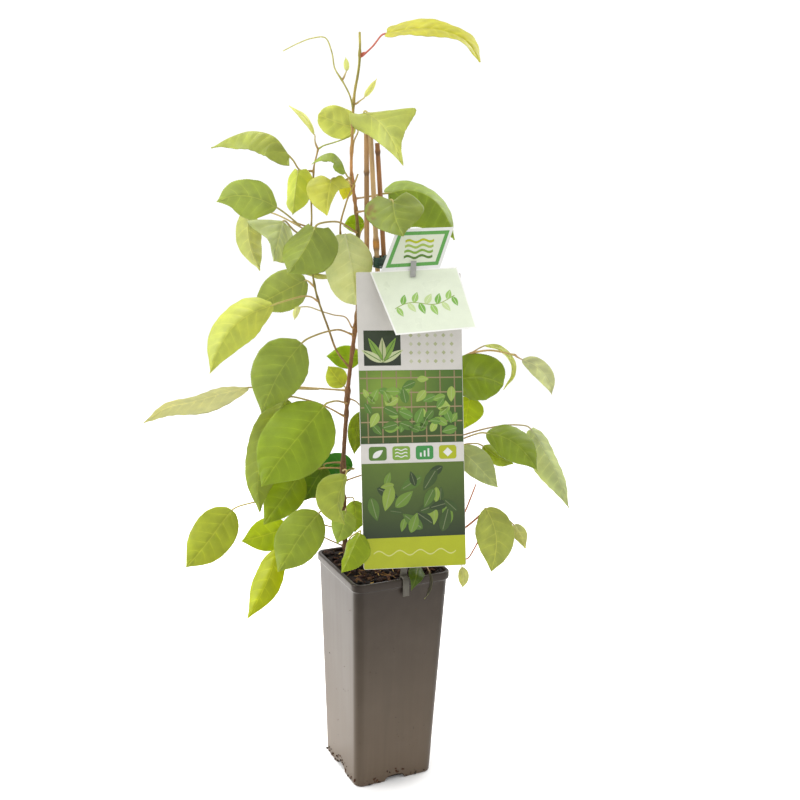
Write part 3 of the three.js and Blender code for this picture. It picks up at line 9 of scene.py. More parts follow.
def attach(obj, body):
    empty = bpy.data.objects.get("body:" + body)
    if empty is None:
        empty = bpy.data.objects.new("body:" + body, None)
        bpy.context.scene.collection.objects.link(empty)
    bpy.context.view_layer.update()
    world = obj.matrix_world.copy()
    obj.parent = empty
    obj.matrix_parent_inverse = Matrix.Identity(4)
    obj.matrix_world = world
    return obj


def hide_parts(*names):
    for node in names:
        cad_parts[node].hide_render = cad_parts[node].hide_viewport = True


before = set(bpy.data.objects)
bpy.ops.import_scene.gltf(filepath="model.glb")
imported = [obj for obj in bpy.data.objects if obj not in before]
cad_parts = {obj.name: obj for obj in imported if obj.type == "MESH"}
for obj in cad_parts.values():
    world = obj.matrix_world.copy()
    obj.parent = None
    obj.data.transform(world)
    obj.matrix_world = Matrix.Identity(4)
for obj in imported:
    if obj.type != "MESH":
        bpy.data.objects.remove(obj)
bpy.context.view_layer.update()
MM = 0.001

# ------------------------------------------------------------------------------------------------ tables
# name, node it stands for, stem, upper-face side, half-width, angle of the right and left half, outlines, curl, wave,
# colour, paleness of the stalk, midrib, stalk from the stem's axis
# painted light and shade: each leaf's colour was scaled until the leaf came out as bright as it shows where it hangs,
# so besides its own tone it holds the light and shade that fall on that leaf
LEAVES = [
    ("leaf_01_blade", "leaf_01", "main", (-0.459, -0.885, -0.082), 22, 84, 244, "blunt", "blunt", -0.12, 0.6, (182, 182, 56), 0.0,
     [(-6.1, 2.9, 655.5), (12.2, -9.1, 658.9), (29.4, -23.0, 658.1), (45.3, -36.0, 650.3), (54.1, -47.6, 633.8)],
     [(-21.2, 21.0, 637.6), (-19.6, 19.2, 638.2), (-13.8, 12.6, 645.2), (-9.5, 5.9, 653.4), (-1.2, -0.4, 656.4)]),
    ("leaf_02_blade", "leaf_02", "main", (-0.382, -0.924, -0.004), 14.5, -20, 200, "round", "round", -0.12, 0.6, (180, 188, 114), 0.45,
     [(-18.6, 33.1, 580.0), (-26.4, 35.5, 582.1), (-34.1, 38.0, 584.5), (-41.6, 40.5, 587.3), (-49.1, 43.0, 590.2)],
     [(-26.2, 23.3, 561.1), (-24.6, 25.4, 561.7), (-21.6, 29.6, 569.5), (-17.1, 31.9, 577.2), (-22.3, 34.3, 581.0)]),
    ("leaf_03_blade", "leaf_03", "main", (-0.424, -0.906, 0.005), 29, -22, 184, "lobed", "tri", -0.12, 0.6, (172, 180, 104), 0.6,
     [(-20.9, 5.5, 592.6), (-14.6, -6.1, 585.1), (-10.5, -16.7, 575.3), (-7.9, -26.1, 563.7), (-5.9, -34.8, 551.4)],
     [(-26.1, 23.4, 581.6), (-24.8, 21.2, 582.2), (-20.9, 15.0, 587.8), (-22.1, 7.9, 593.7), (-18.4, 0.9, 589.7)]),
    ("leaf_04_blade", "leaf_04", "twine", (-0.314, -0.949, 0.005), 22, 238, 133, "cordate", "cordate", -0.12, 0.6, (158, 168, 82), 0.5,
     [(-78.6, 30.4, 556.2), (-89.3, 37.3, 571.3), (-105.1, 47.9, 575.6), (-120.3, 59.1, 570.3), (-134.0, 69.7, 560.7)],
     [(-55.0, 37.1, 543.2), (-57.0, 36.6, 543.9), (-68.1, 34.5, 544.7), (-75.5, 30.1, 552.2), (-81.8, 32.5, 560.8)]),
    ("leaf_05_blade", "leaf_05", "main", (-0.379, -0.925, 0.022), 15, 246, 122, "ovate", "ovate", -0.12, 0.1, (144, 162, 68), 0.45,
     [(-37.4, 8.8, 543.7), (-41.9, 7.8, 553.4), (-50.0, 7.8, 559.9), (-59.7, 9.5, 557.4), (-67.2, 11.8, 550.2)],
     [(-25.2, 23.2, 534.0), (-26.8, 21.1, 534.3), (-31.4, 15.8, 538.9), (-36.0, 9.4, 541.1), (-39.6, 8.3, 548.4)]),
    ("young_leaf_1", None, "main", (-0.389, -0.919, 0.054), 6.5, 0, 180, "ovate", "ovate", -0.12, 0.6, (198, 196, 62), 0.45,
     [(-24.9, 36.0, 535.9), (-25.6, 35.1, 531.9), (-26.4, 34.5, 527.9), (-27.6, 34.5, 523.9), (-28.9, 34.6, 520.0)],
     [(-24.9, 23.2, 532.4), (-24.9, 25.9, 533.0), (-24.9, 30.8, 535.0), (-24.6, 35.5, 537.6), (-25.2, 35.6, 534.0)]),
    ("leaf_06_blade", "leaf_06", "twine", (-0.348, -0.936, 0.057), 16, -58, 203, "cordate", "cordate", -0.12, 0.6, (188, 200, 88), 0.6,
     [(-71.2, 31.3, 544.5), (-73.9, 28.2, 535.2), (-76.6, 24.0, 526.4), (-79.4, 19.2, 517.8), (-82.1, 14.4, 509.3)],
     [(-56.1, 37.4, 519.9), (-58.0, 36.5, 520.6), (-61.1, 34.9, 532.8), (-66.8, 33.1, 543.9), (-72.5, 29.8, 540.0)]),
    ("leaf_07_blade", "leaf_07", "main", (-0.375, -0.925, 0.059), 19, -8, 196, "cordate", "spur", -0.12, 0.6, (184, 188, 88), 0.7,
     [(-50.8, 8.5, 538.0), (-53.9, 3.8, 531.7), (-56.8, -0.4, 525.0), (-59.2, -3.9, 517.8), (-60.3, -7.0, 510.0)],
     [(-25.9, 23.2, 539.1), (-28.2, 21.9, 539.4), (-37.3, 16.7, 536.9), (-46.6, 11.8, 539.4), (-52.3, 6.2, 535.0)]),
    ("leaf_08_blade", "leaf_08", "twine", (-0.310, -0.949, 0.060), 19, -35, 190, "ovate", "ovate", -0.12, 0.6, (156, 170, 90), 0.45,
     [(-92.3, 23.6, 514.8), (-104.5, 21.3, 520.6), (-117.6, 21.3, 524.2), (-131.2, 22.2, 524.2), (-143.9, 23.6, 519.5)],
     [(-57.9, 35.4, 496.5), (-60.0, 35.4, 497.3), (-75.0, 35.7, 502.2), (-72.1, 23.4, 499.5), (-84.3, 23.5, 509.4), (-97.6, 22.6, 517.3)]),
    ("leaf_09_blade", "leaf_09", "main", (-0.458, -0.887, 0.059), 34, 0, 252, "ovate", "ovate", -0.12, 0.6, (136, 156, 52), 0.45,
     [(8.7, 24.6, 526.5), (29.4, 23.8, 529.0), (48.4, 18.5, 522.0), (60.7, 13.1, 506.4), (67.0, 8.3, 486.8)],
     [(-22.9, 23.6, 520.7), (-20.7, 24.9, 521.9), (-11.4, 30.6, 522.4), (-1.0, 33.6, 523.6), (5.0, 26.6, 525.7), (14.7, 24.4, 527.2)]),
    ("leaf_10_blade", "leaf_10", "main", (-0.429, -0.900, 0.076), 25.5, -12, 192, "delta", "heart", -0.12, 0.6, (134, 148, 68), 0.45,
     [(-8.7, -22.4, 522.9), (-11.1, -29.3, 517.0), (-12.5, -35.8, 510.5), (-12.2, -42.0, 503.5), (-10.7, -48.0, 496.5)],
     [(-20.8, 25.1, 510.5), (-20.0, 22.4, 510.8), (-17.1, 12.1, 512.7), (-13.6, 2.2, 515.7), (-10.4, -7.6, 519.2), (-8.4, -17.4, 523.6), (-9.8, -25.8, 520.1)]),
    ("young_leaf_2", None, "main", (-0.395, -0.915, 0.082), 8, 0, 180, "ovate", "ovate", -0.12, 0.6, (140, 164, 4), 0.45,
     [(-7.1, 38.7, 499.9), (-11.3, 40.7, 499.4), (-15.4, 42.6, 498.9), (-19.5, 44.6, 497.9), (-23.6, 46.5, 496.9)],
     [(-17.2, 28.3, 486.4), (-15.3, 30.3, 487.3), (-11.8, 34.2, 493.0), (-6.7, 36.8, 498.3), (-9.1, 39.7, 499.7)]),
    ("leaf_11_blade", "leaf_11", "twine", (0.310, 0.946, -0.100), 18, 45, 135, "ovate", "ovate", 0.12, 0.6, (170, 176, 108), 0.7,
     [(-95.0, 89.0, 505.4), (-95.3, 91.2, 492.4), (-93.8, 90.9, 479.3), (-90.8, 88.8, 466.6), (-86.4, 84.9, 454.8)],
     [(-58.2, 35.0, 493.2), (-59.5, 36.7, 493.7), (-66.7, 45.9, 498.4), (-73.8, 55.1, 503.1), (-80.8, 64.8, 506.7), (-87.4, 75.4, 508.2), (-93.6, 86.3, 508.2), (-95.1, 90.0, 499.4)]),
    ("leaf_12_blade", "leaf_12", "twine", (-0.334, -0.938, 0.097), 30, -5, 232, "wing", "cordate", -0.12, 0.6, (164, 174, 128), 0.45,
     [(-81.0, 40.4, 502.3), (-86.2, 30.9, 496.1), (-91.3, 22.0, 489.1), (-96.3, 13.8, 481.1), (-101.2, 5.7, 473.1)],
     [(-58.6, 34.2, 488.2), (-60.6, 34.8, 488.9), (-70.8, 37.8, 493.6), (-78.0, 41.9, 501.8), (-83.5, 35.8, 499.3)]),
    ("leaf_13_blade", "leaf_13", "main", (-0.354, -0.929, 0.106), 27, -50, 193, "cordate", "cordate", -0.12, 0.6, (140, 154, 70), 0.45,
     [(-68.3, -1.0, 500.7), (-75.2, -7.6, 491.7), (-83.0, -14.2, 483.3), (-91.5, -19.6, 474.9), (-100.5, -23.4, 466.1)],
     [(-17.9, 27.7, 493.4), (-20.4, 26.2, 493.5), (-30.4, 20.0, 498.7), (-40.8, 13.8, 503.0), (-52.2, 7.8, 504.0), (-63.7, 2.1, 503.0), (-71.5, -4.0, 496.6)]),
    ("young_leaf_3", None, "main", (-0.364, -0.924, 0.118), 9, -20, 200, "ovate", "ovate", -0.12, 0.6, (132, 146, 70), 0.45,
     [(-37.3, 41.9, 466.4), (-42.6, 44.5, 465.6), (-47.9, 46.8, 464.2), (-53.2, 48.3, 461.8), (-58.4, 49.6, 459.1)],
     [(-16.2, 28.1, 462.1), (-18.7, 29.7, 462.6), (-25.5, 34.1, 465.3), (-32.4, 38.9, 466.9), (-39.8, 43.1, 466.0)]),
    ("young_leaf_4", None, "main", (-0.362, -0.924, 0.127), 10, -78, 102, "ovate", "ovate", -0.12, 0.6, (154, 156, 88), 0.45,
     [(-35.6, 43.3, 453.1), (-43.0, 44.6, 454.6), (-50.3, 45.9, 455.9), (-57.8, 47.1, 456.7), (-65.2, 48.4, 457.3)],
     [(-16.4, 27.1, 450.3), (-18.6, 29.0, 450.8), (-25.3, 34.5, 453.4), (-31.3, 41.0, 453.3), (-39.1, 43.9, 453.8)]),
    ("leaf_14_blade", "leaf_14", "upper", (0.393, 0.911, -0.122), 22, 35, 180, "ovate", "round", -0.05, 0.6, (192, 200, 166), 0.8,
     [(-35.2, 14.4, 493.1), (-33.5, 10.2, 478.5), (-31.4, 7.7, 463.6), (-28.9, 7.2, 448.5), (-26.7, 8.2, 433.4)],
     [(-36.2, 21.2, 490.8), (-35.6, 19.0, 490.9), (-35.3, 16.4, 492.3), (-34.9, 14.4, 490.0), (-34.5, 12.7, 487.4)]),
    ("leaf_15_blade", "leaf_15", "twine", (-0.332, -0.932, 0.144), 18, -8, 188, "ovate", "ovate", -0.12, 0.6, (146, 158, 86), 0.45,
     [(-61.8, 35.7, 452.4), (-72.8, 39.6, 446.4), (-83.6, 43.5, 440.3), (-94.3, 47.6, 434.0), (-105.0, 51.6, 427.6)],
     [(-57.9, 26.0, 448.4), (-58.6, 28.1, 448.8), (-60.5, 32.7, 451.4), (-62.1, 36.0, 452.3), (-66.8, 37.5, 449.6)]),
    ("leaf_16_blade", "leaf_16", "twine", (-0.290, -0.941, 0.175), 21, -38, 205, "ovate", "ovate", -0.12, 0.6, (178, 186, 92), 0.45,
     [(-100.6, 9.8, 436.3), (-120.0, 10.6, 429.8), (-136.4, 10.8, 417.8), (-147.9, 10.2, 401.0), (-155.4, 9.1, 382.1)],
     [(-54.4, 25.8, 436.2), (-56.2, 24.3, 436.1), (-64.2, 17.9, 440.5), (-74.2, 13.6, 441.8), (-85.0, 11.5, 440.0), (-95.8, 10.0, 437.7), (-106.3, 10.1, 434.4)]),
    ("leaf_17_blade", "leaf_17", "main", (-0.327, -0.920, 0.216), 26, -15, 206, "ovate", "ovate", -0.12, 0.6, (134, 150, 64), 0.45,
     [(-74.6, 10.8, 402.7), (-86.7, 9.0, 390.4), (-97.3, 7.6, 376.6), (-105.5, 6.4, 361.4), (-113.1, 4.6, 345.8)],
     [(-20.2, 25.9, 404.1), (-23.2, 25.7, 404.9), (-34.5, 24.2, 409.5), (-45.8, 18.9, 410.2), (-57.5, 14.7, 408.9), (-69.3, 11.9, 405.8), (-78.8, 10.2, 398.5)]),
    ("leaf_18_blade", "leaf_18", "main", (0.256, 0.937, -0.238), 23, 290, 112, "ovate", "ovate", 0.12, 0.6, (154, 154, 102), 0.7,
     [(-109.9, 47.4, 358.5), (-132.4, 53.7, 352.9), (-154.3, 60.7, 346.2), (-176.8, 67.2, 341.1), (-196.6, 70.5, 329.1)],
     [(-23.9, 29.1, 353.1), (-26.9, 30.0, 353.8), (-46.2, 36.2, 355.4), (-65.7, 41.8, 357.2), (-51.4, 30.0, 357.2), (-59.3, 28.9, 357.6), (-78.4, 35.8, 358.3), (-97.4, 43.0, 358.9), (-115.5, 49.0, 357.1)]),
    ("leaf_19_blade", "leaf_19", "main", (-0.333, -0.902, 0.275), 31, -18, 186, "elliptic", "elliptic", -0.12, 0.6, (132, 152, 32), 0.45,
     [(-64.0, -14.0, 352.9), (-79.1, -15.9, 337.9), (-94.1, -17.5, 322.8), (-108.5, -18.7, 307.1), (-121.6, -20.1, 290.3)],
     [(-24.3, 29.7, 342.2), (-26.4, 27.2, 342.8), (-33.1, 19.3, 346.1), (-40.0, 11.4, 349.3), (-46.9, 3.3, 351.8), (-53.9, -4.9, 353.6), (-61.3, -12.9, 354.7), (-68.3, -14.6, 348.7)]),
    ("leaf_20_blade", "leaf_20", "main", (-0.307, -0.908, 0.283), 23, -42, 195, "ovate", "ovate", -0.12, 0.6, (134, 148, 50), 0.45,
     [(-79.7, 33.1, 349.5), (-93.6, 32.1, 326.7), (-103.8, 30.6, 302.1), (-108.3, 28.2, 275.9), (-107.7, 24.2, 249.5)],
     [(-24.8, 30.3, 330.1), (-28.0, 30.4, 330.8), (-39.1, 30.4, 337.5), (-50.6, 30.7, 343.4), (-62.8, 31.7, 347.8), (-75.3, 33.0, 351.2), (-82.8, 32.9, 344.3)]),
    ("leaf_21_blade", "leaf_21", "main", (-0.257, -0.900, 0.353), 20, -8, 188, "elliptic", "elliptic", -0.12, 0.6, (148, 158, 50), 0.45,
     [(-120.8, 63.5, 243.0), (-131.6, 63.4, 230.7), (-142.3, 61.7, 218.5), (-153.6, 60.5, 206.7), (-165.2, 60.2, 195.3)],
     [(-25.4, 32.4, 250.7), (-28.7, 33.5, 251.2), (-43.1, 38.3, 252.6), (-57.4, 43.1, 254.0), (-71.8, 47.9, 254.5), (-86.2, 52.7, 253.0), (-100.3, 57.5, 250.1), (-114.3, 62.1, 246.4), (-124.8, 63.5, 238.5)]),
    ("leaf_22_blade", "leaf_22", "main", (-0.302, -0.886, 0.350), 16, -8, 188, "ovate", "ovate", -0.12, 0.6, (150, 166, 12), 0.45,
     [(-73.8, 45.8, 225.6), (-84.0, 48.7, 222.5), (-94.1, 51.5, 219.4), (-104.5, 54.0, 216.9), (-114.9, 56.4, 214.6)],
     [(-23.9, 32.5, 221.3), (-27.3, 33.4, 221.7), (-37.2, 35.9, 225.6), (-47.5, 38.5, 228.3), (-58.0, 41.4, 228.1), (-68.5, 44.4, 226.7), (-78.7, 47.2, 224.1)]),
    ("leaf_23_blade", "leaf_23", "main", (-0.329, -0.875, 0.356), 20.5, -10, 190, "elliptic", "elliptic", -0.12, 0.6, (136, 152, 50), 0.45,
     [(-65.6, -8.9, 256.8), (-76.8, -10.9, 246.5), (-87.2, -13.3, 235.5), (-96.7, -15.9, 223.8), (-106.6, -18.3, 212.4)],
     [(-25.2, 32.5, 245.6), (-27.5, 29.8, 246.1), (-35.4, 21.1, 251.2), (-43.5, 12.1, 255.6), (-52.2, 2.9, 257.8), (-61.2, -6.2, 258.6), (-70.0, -9.7, 252.8)]),
    ("leaf_24_blade", "leaf_24", "main", (-0.298, -0.871, 0.391), 15.5, -30, 206, "ovate", "ovate", -0.12, 0.6, (160, 170, 16), 0.45,
     [(-89.6, 31.1, 211.9), (-95.8, 26.1, 197.5), (-103.8, 21.8, 183.8), (-113.2, 17.9, 170.9), (-123.5, 13.9, 158.6)],
     [(-22.9, 32.6, 206.6), (-26.5, 32.6, 207.0), (-37.6, 32.6, 213.3), (-48.8, 32.6, 219.5), (-61.1, 32.5, 222.3), (-73.7, 32.4, 219.9), (-85.6, 32.1, 215.4), (-91.8, 29.3, 206.6)]),
    ("leaf_25_blade", "leaf_25", "main", (-0.367, -0.873, 0.321), 20, 0, 250, "ovate", "ovate", -0.12, 0.6, (154, 166, 72), 0.45,
     [(-40.3, -7.5, 287.9), (-46.4, -12.5, 279.3), (-51.5, -17.7, 270.2), (-52.8, -23.5, 260.3), (-49.9, -29.6, 250.8)],
     [(-26.3, 32.3, 279.2), (-27.4, 29.1, 279.9), (-31.1, 18.6, 284.0), (-34.8, 8.0, 287.7), (-37.9, -3.3, 289.9), (-43.2, -9.9, 283.7)]),
    ("leaf_26_blade", "leaf_26", "main", (-0.367, -0.864, 0.345), 11.5, -10, 190, "ovate", "ovate", -0.12, 0.6, (154, 172, 80), 0.45,
     [(-30.4, 14.3, 246.6), (-32.3, 12.8, 239.3), (-34.5, 11.6, 232.1), (-37.4, 10.8, 225.1), (-40.4, 10.2, 218.1)],
     [(-24.9, 32.5, 238.9), (-25.8, 29.1, 239.4), (-27.9, 22.4, 243.3), (-29.4, 16.2, 248.3), (-31.3, 13.6, 243.1)]),
    ("leaf_27_blade", "leaf_27", "main", (-0.379, -0.862, 0.336), 11, -10, 190, "ovate", "ovate", -0.12, 0.6, (146, 166, 62), 0.45,
     [(-11.2, 40.7, 245.3), (-10.5, 39.1, 237.9), (-10.2, 37.8, 230.5), (-10.7, 37.0, 223.0), (-11.5, 36.4, 215.5)],
     [(-25.4, 32.4, 250.7), (-22.5, 34.1, 251.5), (-16.7, 37.5, 250.5), (-11.7, 41.0, 248.1), (-10.9, 39.9, 241.7)]),
    ("leaf_28_blade", "leaf_28", "main", (-0.371, -0.854, 0.365), 16, -60, 190, "ovate", "ovate", -0.12, 0.6, (136, 154, 14), 0.45,
     [(-43.9, -47.8, 249.1), (-49.0, -49.9, 241.7), (-53.7, -51.8, 234.0), (-58.3, -53.2, 226.1), (-63.4, -54.1, 218.5)],
     [(-22.7, 32.5, 203.7), (-23.7, 29.1, 204.4), (-27.6, 17.6, 212.5), (-31.5, 6.0, 220.6), (-35.0, -5.8, 228.4), (-37.5, -18.2, 235.8), (-39.6, -30.9, 242.8), (-41.8, -43.7, 249.5), (-46.4, -48.8, 245.5)]),
    ("leaf_29_blade", "leaf_29", "main", (-0.382, -0.902, 0.199), 11, -10, 190, "ovate", "ovate", -0.12, 0.6, (134, 160, 6), 0.45,
     [(-6.7, 40.8, 379.7), (-14.2, 43.1, 380.2), (-21.7, 45.4, 380.7), (-29.2, 47.9, 381.1), (-36.6, 50.4, 381.5)],
     [(-21.3, 26.7, 390.4), (-19.0, 28.7, 390.9), (-12.1, 35.2, 388.3), (-5.8, 38.8, 381.9), (-10.3, 41.9, 379.9)]),
    ("leaf_30_blade", "leaf_30", "main", (-0.374, -0.902, 0.216), 10, -10, 190, "ovate", "ovate", -0.12, 0.6, (166, 176, 66), 0.45,
     [(-22.5, 41.6, 354.9), (-26.5, 42.2, 359.4), (-30.3, 42.9, 364.0), (-33.8, 43.5, 368.8), (-37.2, 44.0, 373.7)],
     [(-24.0, 29.2, 350.5), (-23.6, 32.4, 351.3), (-23.2, 36.8, 353.7), (-21.2, 41.2, 353.4), (-24.4, 41.9, 357.1)]),
    ("leaf_31_blade", "leaf_31", "main", (-0.320, -0.891, 0.322), 17, -5, 185, "ovate", "ovate", -0.12, 0.6, (126, 144, 4), 0.45,
     [(-68.5, 30.1, 280.9), (-76.5, 31.2, 269.3), (-84.5, 32.7, 257.9), (-92.7, 34.5, 246.5), (-100.8, 36.4, 235.2)],
     [(-26.3, 32.3, 281.1), (-29.6, 31.9, 281.7), (-41.1, 30.2, 283.6), (-52.8, 29.7, 284.0), (-64.4, 29.8, 283.4), (-71.9, 30.6, 275.9)]),
    ("leaf_32_blade", "leaf_32", "main", (-0.348, -0.885, 0.308), 14, -5, 185, "ovate", "ovate", -0.12, 0.6, (86, 110, 2), 0.45,
     [(-44.1, 34.0, 284.5), (-48.8, 34.5, 276.7), (-53.4, 35.0, 268.9), (-57.9, 35.5, 261.0), (-62.3, 36.0, 253.1)],
     [(-26.3, 32.3, 285.9), (-29.6, 32.6, 286.6), (-36.3, 33.3, 287.1), (-42.9, 33.9, 286.5), (-46.3, 34.3, 280.8)]),
    ("leaf_33_blade", "leaf_33", "main", (-0.366, -0.884, 0.292), 11, -10, 190, "ovate", "ovate", -0.12, 0.6, (46, 110, 14), 0.45,
     [(-13.3, 41.7, 277.1), (-20.4, 46.3, 279.5), (-27.8, 50.8, 279.4), (-34.1, 53.8, 274.1), (-39.9, 56.4, 268.0)],
     [(-26.2, 32.2, 273.5), (-23.5, 34.2, 274.1), (-18.2, 38.2, 276.7), (-11.5, 40.1, 276.3), (-16.7, 43.9, 278.2)]),
    ("leaf_34_blade", "leaf_34", "main", (-0.388, -0.883, 0.265), 9, -10, 190, "ovate", "ovate", -0.12, 0.6, (122, 140, 14), 0.45,
     [(-7.5, 36.7, 330.7), (-10.2, 35.4, 321.2), (-12.4, 34.4, 311.6), (-13.8, 33.9, 301.7), (-15.1, 33.6, 291.9)],
     [(-24.2, 29.5, 344.8), (-21.2, 30.6, 345.3), (-13.4, 33.9, 341.3), (-7.6, 36.7, 334.8), (-8.8, 36.1, 326.1)]),
    ("leaf_35_blade", "leaf_35", "rightA", (-0.487, -0.847, 0.213), 21, -8, 188, "round", "round", -0.12, 0.6, (116, 136, 14), 0.45,
     [(54.3, -15.6, 364.3), (61.1, -26.7, 370.1), (67.3, -38.9, 373.7), (73.4, -51.7, 374.0), (79.7, -64.1, 371.1)],
     [(69.0, 1.8, 352.9), (67.5, -0.1, 353.4), (61.9, -7.0, 358.9), (54.1, -12.4, 362.6), (57.1, -20.3, 366.7)]),
    ("leaf_36_blade", "leaf_36", "rightA", (-0.477, -0.844, 0.244), 15, -8, 188, "ovate", "ovate", -0.12, 0.6, (154, 170, 6), 0.45,
     [(74.6, -16.4, 350.1), (72.8, -17.4, 343.2), (71.0, -18.2, 336.2), (69.7, -18.6, 329.0), (68.4, -19.0, 321.9)],
     [(69.7, 0.7, 342.0), (70.3, -1.4, 343.1), (72.2, -8.1, 347.3), (74.7, -14.4, 351.9), (73.7, -16.8, 346.8)]),
    ("young_leaf_5", None, "rightA", (-0.515, -0.834, 0.198), 9, -72, 106, "ovate", "ovate", -0.12, 0.6, (180, 188, 118), 0.45,
     [(81.3, -27.3, 397.9), (92.1, -36.0, 395.8), (98.8, -43.8, 386.4), (97.8, -47.7, 373.7), (90.0, -46.8, 362.1)],
     [(69.3, -24.8, 391.5), (71.3, -24.1, 392.3), (76.6, -25.1, 395.7), (81.2, -27.0, 398.1), (86.0, -31.0, 397.0)]),
    ("leaf_37_blade", "leaf_37", "rightA", (-0.538, -0.818, 0.206), 9, -22, 206, "ovate", "ovate", -0.12, 0.6, (172, 178, 146), 0.45,
     [(98.3, -61.8, 391.1), (104.8, -70.1, 388.4), (109.2, -78.5, 383.0), (111.0, -86.0, 375.3), (110.7, -91.9, 366.1)],
     [(96.0, -54.1, 394.1), (96.0, -55.0, 393.6), (96.8, -59.0, 392.4), (99.1, -62.4, 391.1), (101.4, -65.8, 389.8)]),
    ("leaf_38_blade", "leaf_38", "rightA", (-0.512, -0.816, 0.269), 20, -25, 222, "ovate", "ovate", -0.12, 0.6, (124, 142, 40), 0.45,
     [(76.1, -44.7, 324.1), (83.3, -57.8, 324.0), (91.8, -69.1, 319.2), (98.8, -78.5, 310.0), (104.1, -86.6, 298.5)],
     [(68.1, -5.4, 307.1), (68.5, -7.8, 307.8), (70.3, -18.2, 313.3), (72.2, -28.7, 318.5), (74.2, -39.5, 323.1), (79.0, -50.0, 324.1)]),
    ("leaf_39_blade", "leaf_39", "rightA", (-0.538, -0.793, 0.286), 20, -30, 240, "ovate", "ovate", -0.12, 0.6, (172, 182, 140), 0.45,
     [(129.0, -34.2, 320.1), (138.4, -40.3, 303.4), (146.4, -47.0, 286.2), (152.6, -53.9, 268.3), (157.2, -60.8, 250.0)],
     [(68.4, -5.1, 310.9), (70.4, -6.5, 311.5), (79.7, -13.4, 316.3), (90.1, -19.0, 320.1), (102.0, -22.1, 322.2), (113.8, -25.8, 323.3), (124.8, -31.8, 322.9), (131.8, -36.1, 315.2)]),
    ("leaf_40_blade", "leaf_40", "rightA", (-0.497, -0.821, 0.281), 12, -40, 220, "ovate", "ovate", -0.12, 0.6, (140, 156, 26), 0.45,
     [(83.3, -28.2, 307.1), (87.4, -33.9, 303.0), (92.0, -39.5, 299.3), (97.3, -45.1, 296.7), (102.7, -50.6, 294.2)],
     [(67.8, -5.4, 302.5), (69.2, -7.4, 302.9), (74.8, -15.1, 306.5), (80.2, -23.4, 308.4), (85.3, -30.9, 305.1)]),
    ("leaf_41_blade", "leaf_41", "rightA", (-0.482, -0.827, 0.290), 15, -35, 200, "ovate", "ovate", -0.12, 0.6, (150, 160, 112), 0.45,
     [(54.4, -34.5, 309.9), (60.9, -42.6, 303.3), (67.0, -50.1, 295.7), (72.8, -57.5, 287.8), (78.3, -65.6, 280.3)],
     [(67.0, -2.9, 286.8), (65.9, -5.2, 287.0), (62.2, -14.2, 294.0), (58.5, -23.1, 301.3), (53.9, -30.5, 309.5), (57.5, -38.4, 306.7)]),
    ("leaf_42_blade", "leaf_42", "rightB", (-0.488, -0.800, 0.350), 18, -4, 203, "elliptic", "elliptic", -0.12, 0.6, (152, 160, 82), 0.45,
     [(75.8, -51.2, 257.2), (78.9, -59.1, 245.5), (79.5, -65.1, 232.3), (76.7, -68.9, 218.6), (71.8, -71.4, 205.2)],
     [(78.8, -43.6, 251.1), (77.3, -45.1, 251.9), (75.9, -48.9, 255.8), (75.8, -51.6, 257.0), (77.0, -54.5, 252.3)]),
    ("young_leaf_6", None, "rightB", (0.506, 0.790, -0.346), 8.5, 35, 145, "ovate", "ovate", 0.12, 0.6, (168, 172, 112), 0.7,
     [(108.5, -46.7, 235.4), (111.2, -49.1, 230.7), (113.7, -51.4, 225.7), (115.4, -53.2, 220.2), (116.8, -55.0, 214.7)],
     [(78.1, -42.9, 250.0), (80.3, -43.0, 249.3), (88.9, -43.8, 247.3), (97.0, -44.5, 243.7), (104.7, -45.3, 239.2), (109.8, -47.9, 233.1)]),
    ("leaf_43_blade", "leaf_43", "rightB", (-0.422, -0.823, 0.380), 7.5, -10, 190, "ovate", "ovate", -0.12, 0.6, (66, 88, 4), 0.45,
     [(21.0, -32.0, 203.7), (15.4, -41.1, 205.3), (9.7, -50.3, 206.1), (3.9, -59.1, 203.8), (-2.0, -63.2, 196.0)],
     [(39.8, -1.0, 196.0), (38.5, -3.1, 196.5), (33.7, -11.2, 200.0), (28.8, -19.4, 203.1), (23.5, -27.9, 203.3), (18.3, -36.4, 204.4)]),
    ("young_leaf_7", None, "rightB", (-0.430, -0.814, 0.390), 5, -75, 105, "ovate", "ovate", -0.12, 0.6, (70, 66, 60), 0.45,
     [(18.9, -55.3, 207.7), (18.7, -58.9, 202.5), (17.1, -61.6, 197.1), (14.4, -63.1, 191.7), (10.6, -63.6, 186.7)],
     [(40.5, -1.8, 199.1), (39.6, -4.1, 199.3), (35.2, -15.4, 200.7), (30.7, -26.7, 202.1), (26.3, -37.9, 203.9), (21.7, -48.9, 206.7), (18.8, -57.1, 205.2)]),
    ("young_leaf_8", None, "rightB", (-0.458, -0.803, 0.382), 5.5, -20, 200, "ovate", "ovate", -0.12, 0.6, (184, 188, 134), 0.45,
     [(65.5, -30.8, 195.5), (64.9, -34.0, 191.8), (64.0, -37.0, 188.1), (62.4, -39.5, 184.1), (60.7, -41.8, 180.2)],
     [(61.5, -22.4, 224.8), (62.6, -23.9, 223.3), (64.8, -26.1, 215.9), (66.5, -28.1, 208.3), (66.2, -28.8, 200.4), (65.2, -32.4, 193.7)]),
    ("leaf_44_blade", "leaf_44", "main", (0.435, 0.884, 0.171), 22, -20, 195, "ovate", "ovate", -0.12, 0.6, (98, 122, 44), 0.45,
     [(18.7, 39.8, 414.9), (30.2, 44.6, 405.3), (41.7, 48.3, 395.3), (52.2, 51.0, 383.9), (61.0, 53.1, 371.0)],
     [(-18.6, 25.6, 420.6), (-15.9, 27.1, 421.0), (-6.4, 32.9, 421.1), (3.7, 37.6, 420.3), (14.4, 38.8, 417.4), (23.1, 41.6, 411.2)]),
    ("leaf_45_blade", "leaf_45", "rightA", (0.443, 0.892, 0.093), 24, -15, 200, "elliptic", "elliptic", -0.12, 0.6, (102, 128, 40), 0.45,
